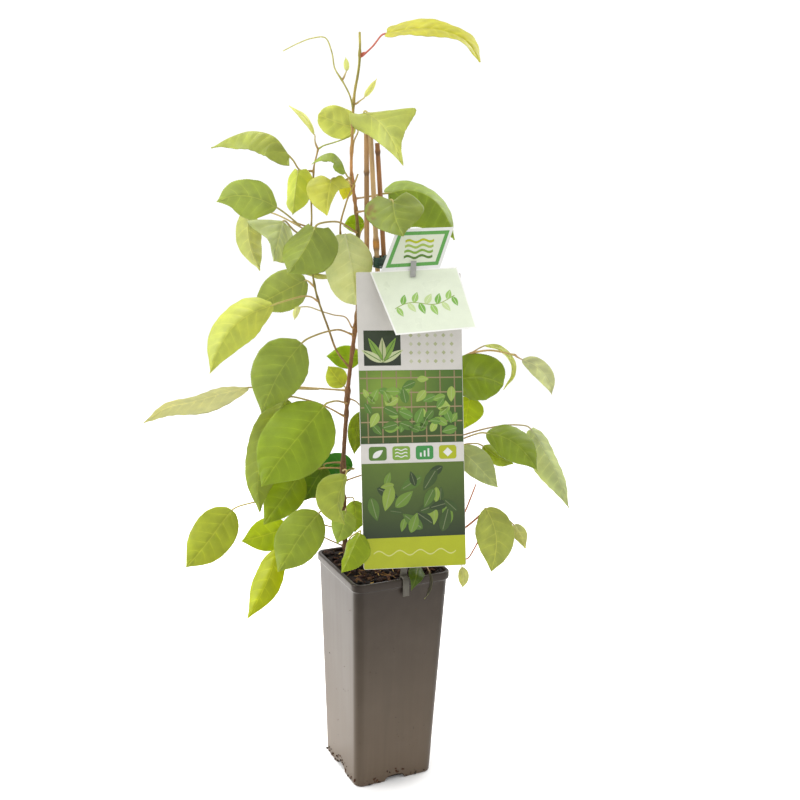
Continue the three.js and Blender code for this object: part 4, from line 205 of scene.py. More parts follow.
     [(53.8, 36.5, 338.8), (51.7, 45.5, 322.3), (48.2, 53.5, 305.6), (44.0, 60.0, 288.4), (40.4, 65.0, 270.4)],
     [(69.3, -3.3, 321.7), (68.6, -0.9, 321.9), (67.2, 8.0, 327.9), (65.5, 16.9, 333.9), (61.5, 25.7, 338.5), (55.0, 34.0, 341.1), (53.1, 39.4, 333.6)]),
    ("leaf_46_blade", "leaf_46", "main", (0.452, 0.892, 0.031), 21, -18, 198, "ovate", "ovate", -0.12, 0.6, (94, 120, 46), 0.45,
     [(26.1, 38.5, 261.9), (39.6, 41.8, 250.1), (52.3, 42.9, 237.1), (63.5, 42.0, 222.8), (73.3, 40.6, 207.5)],
     [(-26.1, 32.2, 268.0), (-22.8, 33.0, 268.7), (-11.7, 36.1, 269.9), (-0.5, 38.7, 270.6), (10.8, 39.1, 268.5), (21.6, 38.2, 264.7), (30.6, 39.6, 258.0)]),
    ("leaf_47_blade", "leaf_47", "rightA", (0.456, 0.874, 0.169), 17, -12, 192, "ovate", "ovate", -0.12, 0.6, (120, 140, 48), 0.45,
     [(69.5, 35.8, 409.4), (69.4, 42.5, 400.1), (69.0, 49.0, 390.7), (67.1, 54.8, 381.1), (64.6, 60.2, 371.3)],
     [(66.5, -0.3, 370.1), (66.8, 1.6, 371.5), (67.8, 8.3, 381.6), (68.7, 15.2, 391.7), (69.3, 23.0, 401.2), (69.5, 31.7, 409.7), (69.5, 39.0, 404.9)]),
    ("young_leaf_9", None, "twine", (-0.356, -0.934, -0.008), 5.5, -62, 118, "ovate", "ovate", -0.12, 0.6, (208, 212, 146), 0.45,
     [(-55.7, 35.1, 574.3), (-58.8, 36.5, 581.4), (-63.1, 38.6, 587.7), (-68.8, 41.2, 592.5), (-74.6, 44.0, 597.1)],
     [(-52.6, 33.6, 562.4), (-53.1, 33.9, 563.1), (-54.8, 34.9, 568.0), (-55.0, 34.8, 573.0), (-57.2, 35.8, 577.7)]),
    ("young_leaf_10", None, "tip", (-0.388, -0.920, -0.053), 2.6, -20, 200, "ovate", "ovate", -0.12, 0.6, (210, 216, 146), 0.45,
     [(-34.2, 18.3, 625.1), (-34.2, 18.3, 627.9), (-34.4, 18.4, 630.6), (-34.7, 18.6, 633.4), (-35.0, 18.7, 636.1)],
     [(-37.7, 19.6, 617.9), (-36.4, 19.2, 619.5), (-35.5, 18.9, 621.8), (-34.7, 18.6, 624.1), (-34.2, 18.3, 626.5)]),
    ("young_leaf_11", None, "main", (-0.408, -0.912, -0.034), 3.0, -30, 210, "ovate", "ovate", -0.12, 0.6, (218, 220, 146), 0.45,
     [(-17.4, 19.2, 605.2), (-14.9, 18.1, 608.9), (-12.6, 17.0, 612.5), (-10.4, 16.0, 616.4), (-8.3, 14.9, 620.2)],
     [(-25.6, 23.1, 599.2), (-23.3, 22.0, 599.7), (-20.8, 20.8, 602.0), (-18.1, 19.6, 604.0), (-16.2, 18.7, 607.0)]),
    ("young_leaf_12", None, "main", (-0.345, -0.925, 0.161), 3.4, -30, 210, "ovate", "ovate", -0.12, 0.6, (212, 214, 160), 0.45,
     [(-66.6, 35.8, 429.2), (-69.3, 35.6, 427.4), (-71.0, 35.2, 424.7), (-71.9, 34.7, 421.6), (-72.7, 34.2, 418.4)],
     [(-19.7, 25.7, 410.1), (-22.6, 25.9, 411.0), (-28.4, 26.2, 419.9), (-39.1, 28.0, 422.3), (-49.3, 30.9, 425.5), (-59.2, 34.3, 429.1), (-67.9, 35.7, 428.3)]),
]
STEMS = {
    "main": {"r0": 2.3, "r1": 1.0, "p": [(-22.5, 29.4, 179.2), (-22.6, 32.4, 201.6), (-24.1, 32.5, 224.4), (-25.2, 32.4, 247.3), (-26.1, 32.2, 270.1), (-26.2, 32.3, 293.0), (-25.3, 31.1, 315.8), (-24.4, 29.9, 338.6), (-23.5, 28.6, 361.4), (-21.8, 27.1, 384.1), (-20.0, 25.8, 406.9), (-17.7, 25.8, 429.6), (-16.3, 27.2, 452.4), (-16.6, 28.8, 475.2), (-18.5, 27.2, 497.9), (-22.8, 23.6, 520.0), (-26.2, 23.2, 542.6), (-26.1, 23.4, 565.4), (-26.0, 23.3, 588.3), (-24.6, 22.6, 611.1), (-21.3, 21.1, 633.7), (-21.8, 21.3, 656.4)]},
    "tip": {"r0": 0.75, "r1": 0.45, "p": [(-25.9, 23.3, 595.3), (-30.8, 18.8, 605.9), (-37.0, 19.5, 616.9), (-44.0, 20.6, 627.4), (-45.6, 22.6, 639.6), (-49.5, 27.1, 650.5), (-59.3, 34.0, 650.3), (-69.5, 39.5, 645.4), (-79.8, 44.2, 639.7)]},
    "twine": {"r0": 1.0, "r1": 0.7, "p": [(-22.3, 27.9, 373.3), (-34.9, 26.8, 388.6), (-42.9, 26.2, 406.9), (-50.2, 26.0, 425.6), (-57.0, 25.8, 444.4), (-59.6, 27.5, 463.9), (-58.9, 33.3, 483.0), (-57.4, 36.1, 502.8), (-56.0, 37.5, 522.7), (-55.0, 37.1, 542.7), (-52.6, 33.6, 562.2)]},
    "upper": {"r0": 0.9, "r1": 0.7, "p": [(-16.5, 28.3, 465.7), (-25.5, 27.0, 474.5), (-33.5, 23.7, 483.5), (-37.0, 19.9, 495.1), (-36.9, 17.6, 507.5), (-33.4, 16.8, 519.5), (-27.8, 16.9, 530.9), (-23.3, 16.5, 542.6)]},
    "rightA": {"r0": 1.5, "r1": 0.8, "p": [(16.0, 5.7, 179.4), (24.1, 8.8, 200.1), (39.2, 8.1, 218.3), (53.5, 5.9, 236.8), (62.1, 2.2, 258.5), (66.5, -1.9, 281.3), (67.9, -5.4, 304.6), (69.6, -2.2, 327.9), (69.2, 1.8, 351.1), (66.1, -1.9, 373.6), (67.0, -19.6, 388.6), (78.7, -38.3, 396.3), (95.9, -54.0, 394.1)]},
    "rightB": {"r0": 1.2, "r1": 0.9, "p": [(37.2, -3.2, 179.5), (39.1, -0.6, 193.0), (43.2, -4.4, 206.1), (51.5, -10.4, 215.7), (59.7, -19.7, 222.6), (65.7, -29.2, 231.3), (72.2, -37.1, 241.2), (79.2, -43.9, 251.6)]}}
TWIGS = [[(60.5, -20.7, 223.5), (63.3, -24.3, 232.0), (67.0, -29.4, 247.5), (69.4, -34.9, 263.1), (71.0, -40.1, 276.6)], [(53.1, -11.8, 216.5), (62.5, -18.4, 204.9), (72.5, -25.3, 200.1), (74.7, -35.2, 213.1), (74.0, -45.9, 228.5)]]
SHOOTS = [[(-52.6, 31.4, 562.6), (-49.2, 28.7, 565.2), (-40.6, 28.0, 567.8), (-30.0, 29.6, 571.2), (-22.4, 32.6, 575.0)]]
CANES = {
    "bamboo_cane_1": {"a": (-13.8, 22.0, 580.3), "b": (-7.3, 14.9, 112.0), "r": 2.3},
    "bamboo_cane_2": {"a": (-13.6, 14.1, 577.1), "b": (13.5, -10.4, 112.0), "r": 2.2},
    "bamboo_cane_3": {"a": (-5.0, 18.9, 568.2), "b": (26.2, -1.8, 112.0), "r": 2.2}}
CARD = [[-34.7, -36.7, 210.2], [53.9, -58.5, 209.6], [59.7, -16.5, 467.3], [-28.9, 4.3, 462.0]]
CARD_FACE = [-0.2345, -0.9586, 0.1616]
FLAP = [[-18.2, -0.6, 462.4], [55.6, -17.9, 466.6], [55.8, -56.2, 420.4], [-11.9, -41.3, 415.3]]
HEADER = [[-9.0, -2.7, 462.9], [41.0, -14.5, 465.9], [54.5, -12.0, 500.1], [6.1, -0.5, 498.0]]
CLIP = [[18.3, -9.3, 471.7], [17.6, -10.4, 465.4], [15.2, -14.7, 458.9]]
STAKE = [[0.6, -44.4, 205.8], [20.0, -4.7, 469.8]]
TIE_CENTRE, TIE_ANGLE, TIE_HALF = [-2.8, 11.4, 469.5], 33.4, 5.4
OUTLINES = {
    "ovate": ([0, .02, .06, .12, .22, .35, .48, .6, .72, .82, .9, .95, 1], [0, .22, .46, .68, .90, 1, .98, .88, .68, .43, .21, .09, 0], .06),
    "cordate": ([0, .02, .06, .12, .22, .35, .48, .6, .72, .82, .9, .95, 1], [0, .42, .70, .88, .99, 1, .93, .80, .60, .37, .18, .075, 0], .34),
    "heart": ([0, .02, .06, .12, .22, .35, .48, .6, .72, .82, .9, .95, 1], [0, .42, .70, .88, .99, 1, .93, .80, .60, .37, .18, .075, 0], .62),
    "elliptic": ([0, .02, .06, .12, .22, .35, .48, .6, .72, .82, .9, .95, 1], [0, .25, .48, .70, .90, 1, .99, .92, .75, .50, .26, .11, 0], .04),
    "round": ([0, .02, .06, .12, .22, .35, .48, .6, .72, .82, .9, .95, 1], [0, .30, .52, .72, .92, 1, 1, .97, .90, .77, .58, .40, 0], .10),
    "lobed": ([0, .02, .06, .12, .22, .35, .48, .6, .72, .82, .9, .95, 1], [0, .40, .58, .64, .62, .53, .43, .33, .22, .135, .07, .03, 0], .72),
    "wing": ([0, .04, .08, .13, .2, .28, .38, .5, .65, .8, .9, .96, 1], [0, .55, .85, 1.0, .92, .78, .58, .36, .2, .12, .06, .03, 0], .05),
    "blunt": ([0, .01, .03, .06, .12, .22, .35, .48, .6, .72, .82, .9, 1], [0, .45, .68, .82, .93, 1, 1, .97, .9, .78, .58, .32, 0], .12),
    "spur": ([0, .04, .08, .13, .2, .28, .38, .5, .65, .8, .9, .96, 1], [0, .55, .85, 1.0, .72, .46, .34, .27, .2, .12, .06, .03, 0], .62),
    "delta": ([0, .02, .06, .12, .22, .35, .48, .6, .72, .82, .9, .96, 1], [0, .45, .74, .92, 1, .94, .78, .6, .42, .27, .14, .06, 0], .62),
    "tri": ([0, .05, .15, .25, .33, .38, .42, .47, .55, .65, .78, .9, 1], [0, .08, .26, .49, .83, 1.03, .98, .74, .42, .22, .10, .05, 0], 0.),
}
POT_HEIGHT, RIM_WIDTH, BODY_TOP, BASE_WIDTH, RIM_BAND = 200., 94., 90.4, 76., 6.5
WALL, FLOOR, CORNER = 1.6, 2.4, 8.
NOTCH_WIDTH, NOTCH_HEIGHT, NOTCH_DEPTH = 20., 5.5, 7.
SOIL_TOP = 195


# ------------------------------------------------------------------------------------------------ small helpers
def lin(c):
    c = np.asarray(c, float) / 255.
    return np.where(c <= .04045, c / 12.92, ((c + .055) / 1.055) ** 2.4)


def unit(v):
    v = np.asarray(v, float)
    return v / np.maximum(np.linalg.norm(v, axis=-1, keepdims=True), 1e-12)


def crom(P, t):
    P = np.asarray(P, float)
    t = np.atleast_1d(np.asarray(t, float))
    n = len(P)
    x = np.clip(t, 0, 1) * (n - 1)
    i = np.minimum(np.floor(x).astype(int), n - 2)
    w = (x - i)[:, None]
    E = np.vstack([2 * P[0] - P[1], P, 2 * P[-1] - P[-2]])
    p0, p1, p2, p3 = E[i], E[i + 1], E[i + 2], E[i + 3]
    a, b = .5 * (p2 - p0), .5 * (p3 - p1)
    return p1 + a * w + (-3 * p1 + 3 * p2 - 2 * a - b) * w ** 2 + (2 * p1 - 2 * p2 + a + b) * w ** 3


def even(P, step):
    """points every step mm along the curve through P, and the distance of each from the start"""
    s = crom(P, np.linspace(0, 1, 60 * len(P)))
    a = np.r_[0, np.cumsum(np.linalg.norm(np.diff(s, axis=0), axis=1))]
    x = np.linspace(0, a[-1], max(4, int(round(a[-1] / step)) + 1))
    return np.stack([np.interp(x, a, s[:, k]) for k in range(3)], 1), x


def waves(x, seed, n=5, lo=.5, hi=3.):
    """a smooth wandering value along x, about -1 to 1"""
    g = np.random.default_rng(seed)
    out = np.zeros_like(np.asarray(x, float))
    for _ in range(n):
        out = out + np.sin(x * g.uniform(lo, hi) + g.uniform(0, 6.3)) * g.uniform(.4, 1)
    return out / (.55 * n)


class Build:
    """gathers closed shells with a colour per vertex, then becomes one object"""

    def __init__(self):
        self.v, self.f, self.c, self.m, self.n, self.w = [], [], [], [], 0, []

    def add(self, verts, faces, colour, mat=0, vein=None):
        verts = np.asarray(verts, float)
        colour = np.asarray(colour, float)
        if colour.ndim == 1:
            colour = np.tile(colour, (len(verts), 1))
        self.v.append(verts)
        self.c.append(colour)
        self.w.append(np.full((len(verts), 3), .5) if vein is None else np.asarray(vein, float))
        o = self.n
        self.f += [tuple(int(i) + o for i in f) for f in faces]
        self.m += [mat] * len(faces)
        self.n += len(verts)

    def make(self, name, materials, node=None, slot=None, smooth=True, sharp=None):
        V = np.vstack(self.v) * MM
        me = bpy.data.meshes.new(name)
        me.from_pydata(V.tolist(), [], self.f)
        for m in materials:
            me.materials.append(m)
        me.polygons.foreach_set("material_index", self.m)
        me.polygons.foreach_set("use_smooth", [smooth] * len(self.f))
        paint(me, np.clip(np.vstack(self.c), 0, 1))
        if LEAF in materials:
            paint(me, np.vstack(self.w), "vein")
        me.validate()
        me.update()
        if sharp is not None:
            me.set_sharp_from_angle(angle=math.radians(sharp))
        return place(bpy.data.objects.new(name, me), node)


def paint(me, colour, name="tint"):
    a = me.color_attributes.new(name, "FLOAT_COLOR", "POINT")
    rgba = np.ones((len(colour), 4), np.float32)
    rgba[:, :3] = colour
    a.data.foreach_set("color", rgba.ravel())


def place(o, node=None):
    bpy.context.scene.collection.objects.link(o)
    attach(o, "root")
    if node:
        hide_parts(*([node] if isinstance(node, str) else node))
    return o


def rings_to_faces(nr, ns, offset=0, closed=True):
    f = []
    for i in range(nr - 1):
        for j in range(ns if closed else ns - 1):
            k = (j + 1) % ns
            f.append((offset + i * ns + j, offset + i * ns + k, offset + (i + 1) * ns + k, offset + (i + 1) * ns + j))
    return f


def tube(path, radii, sides, squash=None):
    """closed round bar along path. radii: one per point, or points x sides"""
    path = np.asarray(path, float)
    n = len(path)
    T = unit(np.gradient(path, axis=0))
    ref = np.array([0., 0, 1]) if abs(T[0][2]) < .8 else np.array([1., 0, 0])
    U = np.zeros_like(path)
    u = unit(ref - T[0] * ref.dot(T[0]))
    for i in range(n):
        u = unit(u - T[i] * u.dot(T[i]))
        U[i] = u
    B = np.cross(T, U)
    a = np.linspace(0, 2 * np.pi, sides, endpoint=False)
    r = np.asarray(radii, float)
    if r.ndim == 1:
        r = np.tile(r[:, None], (1, sides))
    V = path[:, None] + r[..., None] * (np.cos(a)[None, :, None] * U[:, None] + np.sin(a)[None, :, None] * B[:, None])
    V = V.reshape(-1, 3)
    F = rings_to_faces(n, sides)
    V = np.vstack([V, path[0] - T[0] * r[0].mean() * .25, path[-1] + T[-1] * r[-1].mean() * .35])
    s, e = n * sides, n * sides + 1
    for j in range(sides):
        k = (j + 1) % sides
        F.append((s, k, j))
        F.append((e, (n - 1) * sides + j, (n - 1) * sides + k))
    return V, F


def per_ring(colour, sides):
    """colours per ring to colours per vertex of a tube"""
    c = np.repeat(np.asarray(colour, float), sides, axis=0)
    return np.vstack([c, colour[0], colour[-1]])


# ------------------------------------------------------------------------------------------------ materials
class Nodes:
    def __init__(self, name):
        self.mat = bpy.data.materials.new(name)
        self.mat.use_nodes = True
        self.t = self.mat.node_tree
        self.bsdf = next(n for n in self.t.nodes if n.type == "BSDF_PRINCIPLED")
        self.out = next(n for n in self.t.nodes if n.type == "OUTPUT_MATERIAL")
        self.co = self.n("ShaderNodeTexCoord").outputs["Object"]

    def n(self, kind, **kw):
        x = self.t.nodes.new(kind)
        for k, v in kw.items():
            setattr(x, k, v)
        return x

    def link(self, a, b):
        self.t.links.new(a, b)

    def stretch(self, scale):
        m = self.n("ShaderNodeMapping")
        m.inputs["Scale"].default_value = scale
        self.link(self.co, m.inputs["Vector"])
        return m.outputs["Vector"]

    def noise(self, scale, detail=3., rough=.55, vec=None, distort=0.):
        x = self.n("ShaderNodeTexNoise")
        x.inputs["Scale"].default_value = scale
        x.inputs["Detail"].default_value = detail
        x.inputs["Roughness"].default_value = rough
        x.inputs["Distortion"].default_value = distort
        self.link(vec or self.co, x.inputs["Vector"])
        return x.outputs["Fac"]

    def voronoi(self, scale, vec=None, feature="DISTANCE_TO_EDGE"):
        x = self.n("ShaderNodeTexVoronoi", feature=feature)
        x.inputs["Scale"].default_value = scale
        self.link(vec or self.co, x.inputs["Vector"])
        return x.outputs["Distance"]

    def span(self, v, a, b, lo, hi):
        x = self.n("ShaderNodeMapRange")
        for k, val in zip(("From Min", "From Max", "To Min", "To Max"), (a, b, lo, hi)):
            x.inputs[k].default_value = val
        self.link(v, x.inputs["Value"])
        return x.outputs["Result"]

    def math(self, op, a, b):
        x = self.n("ShaderNodeMath", operation=op)
        for i, val in enumerate((a, b)):
            if isinstance(val, (int, float)):
                x.inputs[i].default_value = val
            else:
                self.link(val, x.inputs[i])
        return x.outputs[0]

    def mix(self, fac, a, b, blend="MIX"):
        x = self.n("ShaderNodeMix", data_type="RGBA", blend_type=blend)
        for i, val in ((0, fac), (6, a), (7, b)):
            if isinstance(val, (int, float)):
                x.inputs[i].default_value = val
            elif isinstance(val, (tuple, list, np.ndarray)):
                x.inputs[i].default_value = (*[float(q) for q in val][:3], 1.)
            else:
                self.link(val, x.inputs[i])
        return x.outputs[2]

    def tint(self):
        x = self.n("ShaderNodeAttribute", attribute_name="tint")
        return x.outputs["Color"]

    def shade(self, colour, factor):
        """colour times a grey factor"""
        x = self.n("ShaderNodeVectorMath", operation="SCALE")
        self.link(colour, x.inputs[0])
        self.link(factor, x.inputs["Scale"])
        return x.outputs["Vector"]

    def bump(self, height, strength, distance, before=None):
        x = self.n("ShaderNodeBump")
        x.inputs["Strength"].default_value = strength
        x.inputs["Distance"].default_value = distance
        self.link(height, x.inputs["Height"])
        if before is not None:
            self.link(before, x.inputs["Normal"])
        return x.outputs["Normal"]

    def end(self, colour, rough=None, normal=None, spec=.5):
        self.link(colour, self.bsdf.inputs["Base Color"])
        if isinstance(rough, (int, float)):
            self.bsdf.inputs["Roughness"].default_value = rough
        elif rough is not None:
            self.link(rough, self.bsdf.inputs["Roughness"])
        if normal is not None:
            self.link(normal, self.bsdf.inputs["Normal"])
        self.bsdf.inputs["Specular IOR Level"].default_value = spec
        return self.mat


def leaf_material(name, through, gloss):
    """vein holds, per vertex: the count of side veins passed (whole at a vein), the distance from the midrib in mm, and the share of the half-width"""
    k = Nodes(name)
    c = k.tint()
    x = k.n("ShaderNodeSeparateColor")
    k.link(k.n("ShaderNodeAttribute", attribute_name="vein").outputs["Color"], x.inputs[0])
    count, off, share = x.outputs
    wander = k.math("ADD", count, k.span(k.noise(130., 2.), .3, .7, -.05, .05))
    away = k.math("ABSOLUTE", k.math("SUBTRACT", k.math("FRACT", k.math("ADD", wander, .5), 0.), .5), 0.)
    side = k.math("MULTIPLY", k.span(away, .012, .055, 1., 0.), k.span(share, .1, .97, 1., .15))
    side = k.math("MULTIPLY", side, k.span(count, -.35, -.1, 0., 1.))
    rib = k.span(off, .22, .62, 1., 0.)
    # cross veins between the side veins, and the fine net
    lace = k.n("ShaderNodeCombineXYZ")
    k.link(k.math("MULTIPLY", count, 2.2), lace.inputs[0])
    k.link(k.math("MULTIPLY", off, .42), lace.inputs[1])
    rungs = k.span(k.voronoi(1., lace.outputs[0]), 0., .07, 1., 0.)
    cells = k.voronoi(620.)
    net = k.span(cells, 0., .10, 1., 0.)
    broad = k.span(k.noise(95., 3.), .3, .7, .90, 1.09)
    c1 = k.shade(c, broad)
    warm = k.mix(k.span(k.noise(48., 2.), .42, .75, 0., .26), c1, k.mix(1., c1, (1.14, 1.03, .66), "MULTIPLY"))
    pale = k.mix(1., k.mix(1., warm, (1.34, 1.26, 1.18), "MULTIPLY"), (.030, .034, .008), "ADD")
    m = k.math("MAXIMUM", k.math("MULTIPLY", side, .62), k.math("MULTIPLY", rib, .85))
    m = k.math("MAXIMUM", m, k.math("MULTIPLY", rungs, .13))
    m = k.math("MAXIMUM", m, k.math("MULTIPLY", net, .10))
    col = k.mix(m, warm, pale)
    height = k.math("ADD", k.math("MULTIPLY", k.math("MAXIMUM", side, rib), -.9), k.math("MULTIPLY", rungs, -.30))
    nrm = k.bump(height, .30, .0003)
    nrm = k.bump(k.noise(150., 2.), .08, .0005, nrm)
    rough = k.span(k.noise(160., 2.), .3, .7, gloss - .06, gloss + .08)
    k.end(col, rough, nrm, .36)
    tr = k.n("ShaderNodeBsdfTranslucent")
    k.link(k.mix(1., k.mix(1., col, (1.75, 1.66, .80), "MULTIPLY"), (.86, .86, .60), "DARKEN"), tr.inputs["Color"])
    mx = k.n("ShaderNodeMixShader")
    mx.inputs[0].default_value = through
    k.link(k.bsdf.outputs[0], mx.inputs[1])
    k.link(tr.outputs[0], mx.inputs[2])
    k.link(mx.outputs[0], k.out.inputs["Surface"])
    return k.mat


def fibre_material(name, rough, contrast, along=(1, 1, .06), scale=900., speck=.25, bump=.35, spec=.3):
    """wood, bark and stalks: streaks along the piece over the vertex colour, with small dark specks"""
    k = Nodes(name)
    c = k.tint()
    v = k.stretch(along)
    streak = k.noise(scale, 4., .6, v)
    c = k.shade(c, k.span(streak, .3, .7, 1 - contrast, 1 + contrast))
    spots = k.span(k.noise(420., 2.), .62, .72, 0., speck)
    c = k.mix(spots, c, k.mix(1., c, (.42, .36, .30), "MULTIPLY"))
    nrm = k.bump(streak, bump, .0004)
    nrm = k.bump(k.noise(1500., 2.), .15, .0002, nrm)
    return k.end(c, k.span(streak, .3, .7, rough - .08, rough + .10), nrm, spec)


def soil_material(name):
    k = Nodes(name)
    c = k.tint()
    c = k.shade(c, k.span(k.noise(700., 4., .7), .3, .7, .45, 1.5))
    c = k.mix(k.span(k.noise(260., 2.), .55, .7, 0., .5), c, k.mix(1., c, (1.5, 1.1, .8), "MULTIPLY"))
    nrm = k.bump(k.noise(900., 4., .7), .8, .0009)
    return k.end(c, k.span(k.noise(300.), .3, .7, .82, .98), nrm, .2)


def pot_material(name):
    k = Nodes(name)
    c = k.tint()
    dust = k.noise(24., 4., .6)
    c = k.mix(k.span(dust, .45, .75, 0., .07), c, (.17, .14, .115))
    hair = k.noise(210., 3., .6, k.stretch((1., 1., .018)))
    c = k.shade(c, k.span(hair, .3, .7, .95, 1.06))
    specks = k.noise(340., 2., .5)
    c = k.mix(k.span(specks, .71, .76, 0., .6), c, (.016, .011, .008))
    rough = k.math("ADD", k.span(dust, .3, .75, 0.3, 0.3 + .06), k.span(hair, .35, .7, 0., .05))
    nrm = k.bump(k.noise(1300., 2.), .05, .0002)
    nrm = k.bump(hair, .04, .0003, nrm)
    k.bsdf.inputs["Specular Tint"].default_value = (1, .89, .79, 1)
    k.end(c, rough, nrm, 0.44)
    wear_and_painted_shade = k.n("ShaderNodeAttribute", attribute_name="wear_and_painted_shade")
    k.link(k.span(wear_and_painted_shade.outputs["Fac"], 0., 1., 0.44, 0.44 * .62), k.bsdf.inputs["Specular IOR Level"])
    return k.mat


def print_material(name, rough=.36):
    k = Nodes(name)
    c = k.tint()
    c = k.shade(c, k.span(k.noise(70., 4.), .3, .7, .955, 1.035))
    c = k.shade(c, k.span(k.noise(2400., 1.), .3, .7, .97, 1.03))
    nrm = k.bump(k.noise(40., 2.), .10, .0008)
    nrm = k.bump(k.noise(1800., 1.), .04, .0001, nrm)
    return k.end(c, k.span(k.noise(55., 3.), .3, .7, rough - .06, rough + .08), nrm, .45)


def plastic_material(name, rough=.42):
    k = Nodes(name)
    c = k.tint()
    c = k.shade(c, k.span(k.noise(180., 3.), .3, .7, .90, 1.08))
    c = k.mix(k.span(k.noise(420., 2.), .6, .75, 0., .35), c, k.mix(1., c, (.6, .55, .48), "MULTIPLY"))
    nrm = k.bump(k.noise(900., 2.), .15, .0002)
    return k.end(c, k.span(k.noise(90.), .3, .7, rough - .06, rough + .10), nrm, .45)


LEAF = leaf_material("leaf_blade", 0.42, .44)
STALK = fibre_material("leaf_stalk", .50, .12, (1, 1, 1), 500., .12, .15, .35)
BARK = fibre_material("stem_bark", .72, .34, (1, 1, .10), 1100., .45, .55, .25)
CANE = fibre_material("cane_bamboo", .50, .26, (1, 1, .025), 1500., .35, .30, .4)
WIRE = plastic_material("tie_coating", .38)
SOIL = soil_material("potting_soil")
POT = pot_material("pot_plastic")
PRINT = print_material("label_print", .34)
SWING = print_material("swing_print", .30)
GREY = plastic_material("stake_plastic", .45)


# ------------------------------------------------------------------------------------------------ leaves
SPOTS = {"leaf_10_blade": [(.16, .80, 2.2), (.26, .88, 1.6), (.36, .78, 1.3), (.22, .66, 1.0)]}
COLS = np.array([0, .035, .09, .16, .24, .33, .43, .53, .63, .73, .82, .90, .96, 1.])


def outline_at(kind, t):
    x, y, _ = OUTLINES[kind]
    g = np.linspace(0, 1, 801)
    w = np.interp(g, x, y)
    k = np.hanning(41)
    sm = np.convolve(np.r_[-w[20:0:-1], w, -w[-2:-22:-1]], k / k.sum(), "valid")
    # keep the round base and the drawn-out tip, smooth the rest
    m = np.clip(np.minimum(g / .05, (1 - g) / .04), 0, 1)
    root = np.sqrt(np.clip(g / .06, 0, 1)) * np.interp(.06, x, y)
    base = np.where(g < .06, root, w)
    return np.interp(t, g, np.clip(base * (1 - m) + sm * m, 0, None))


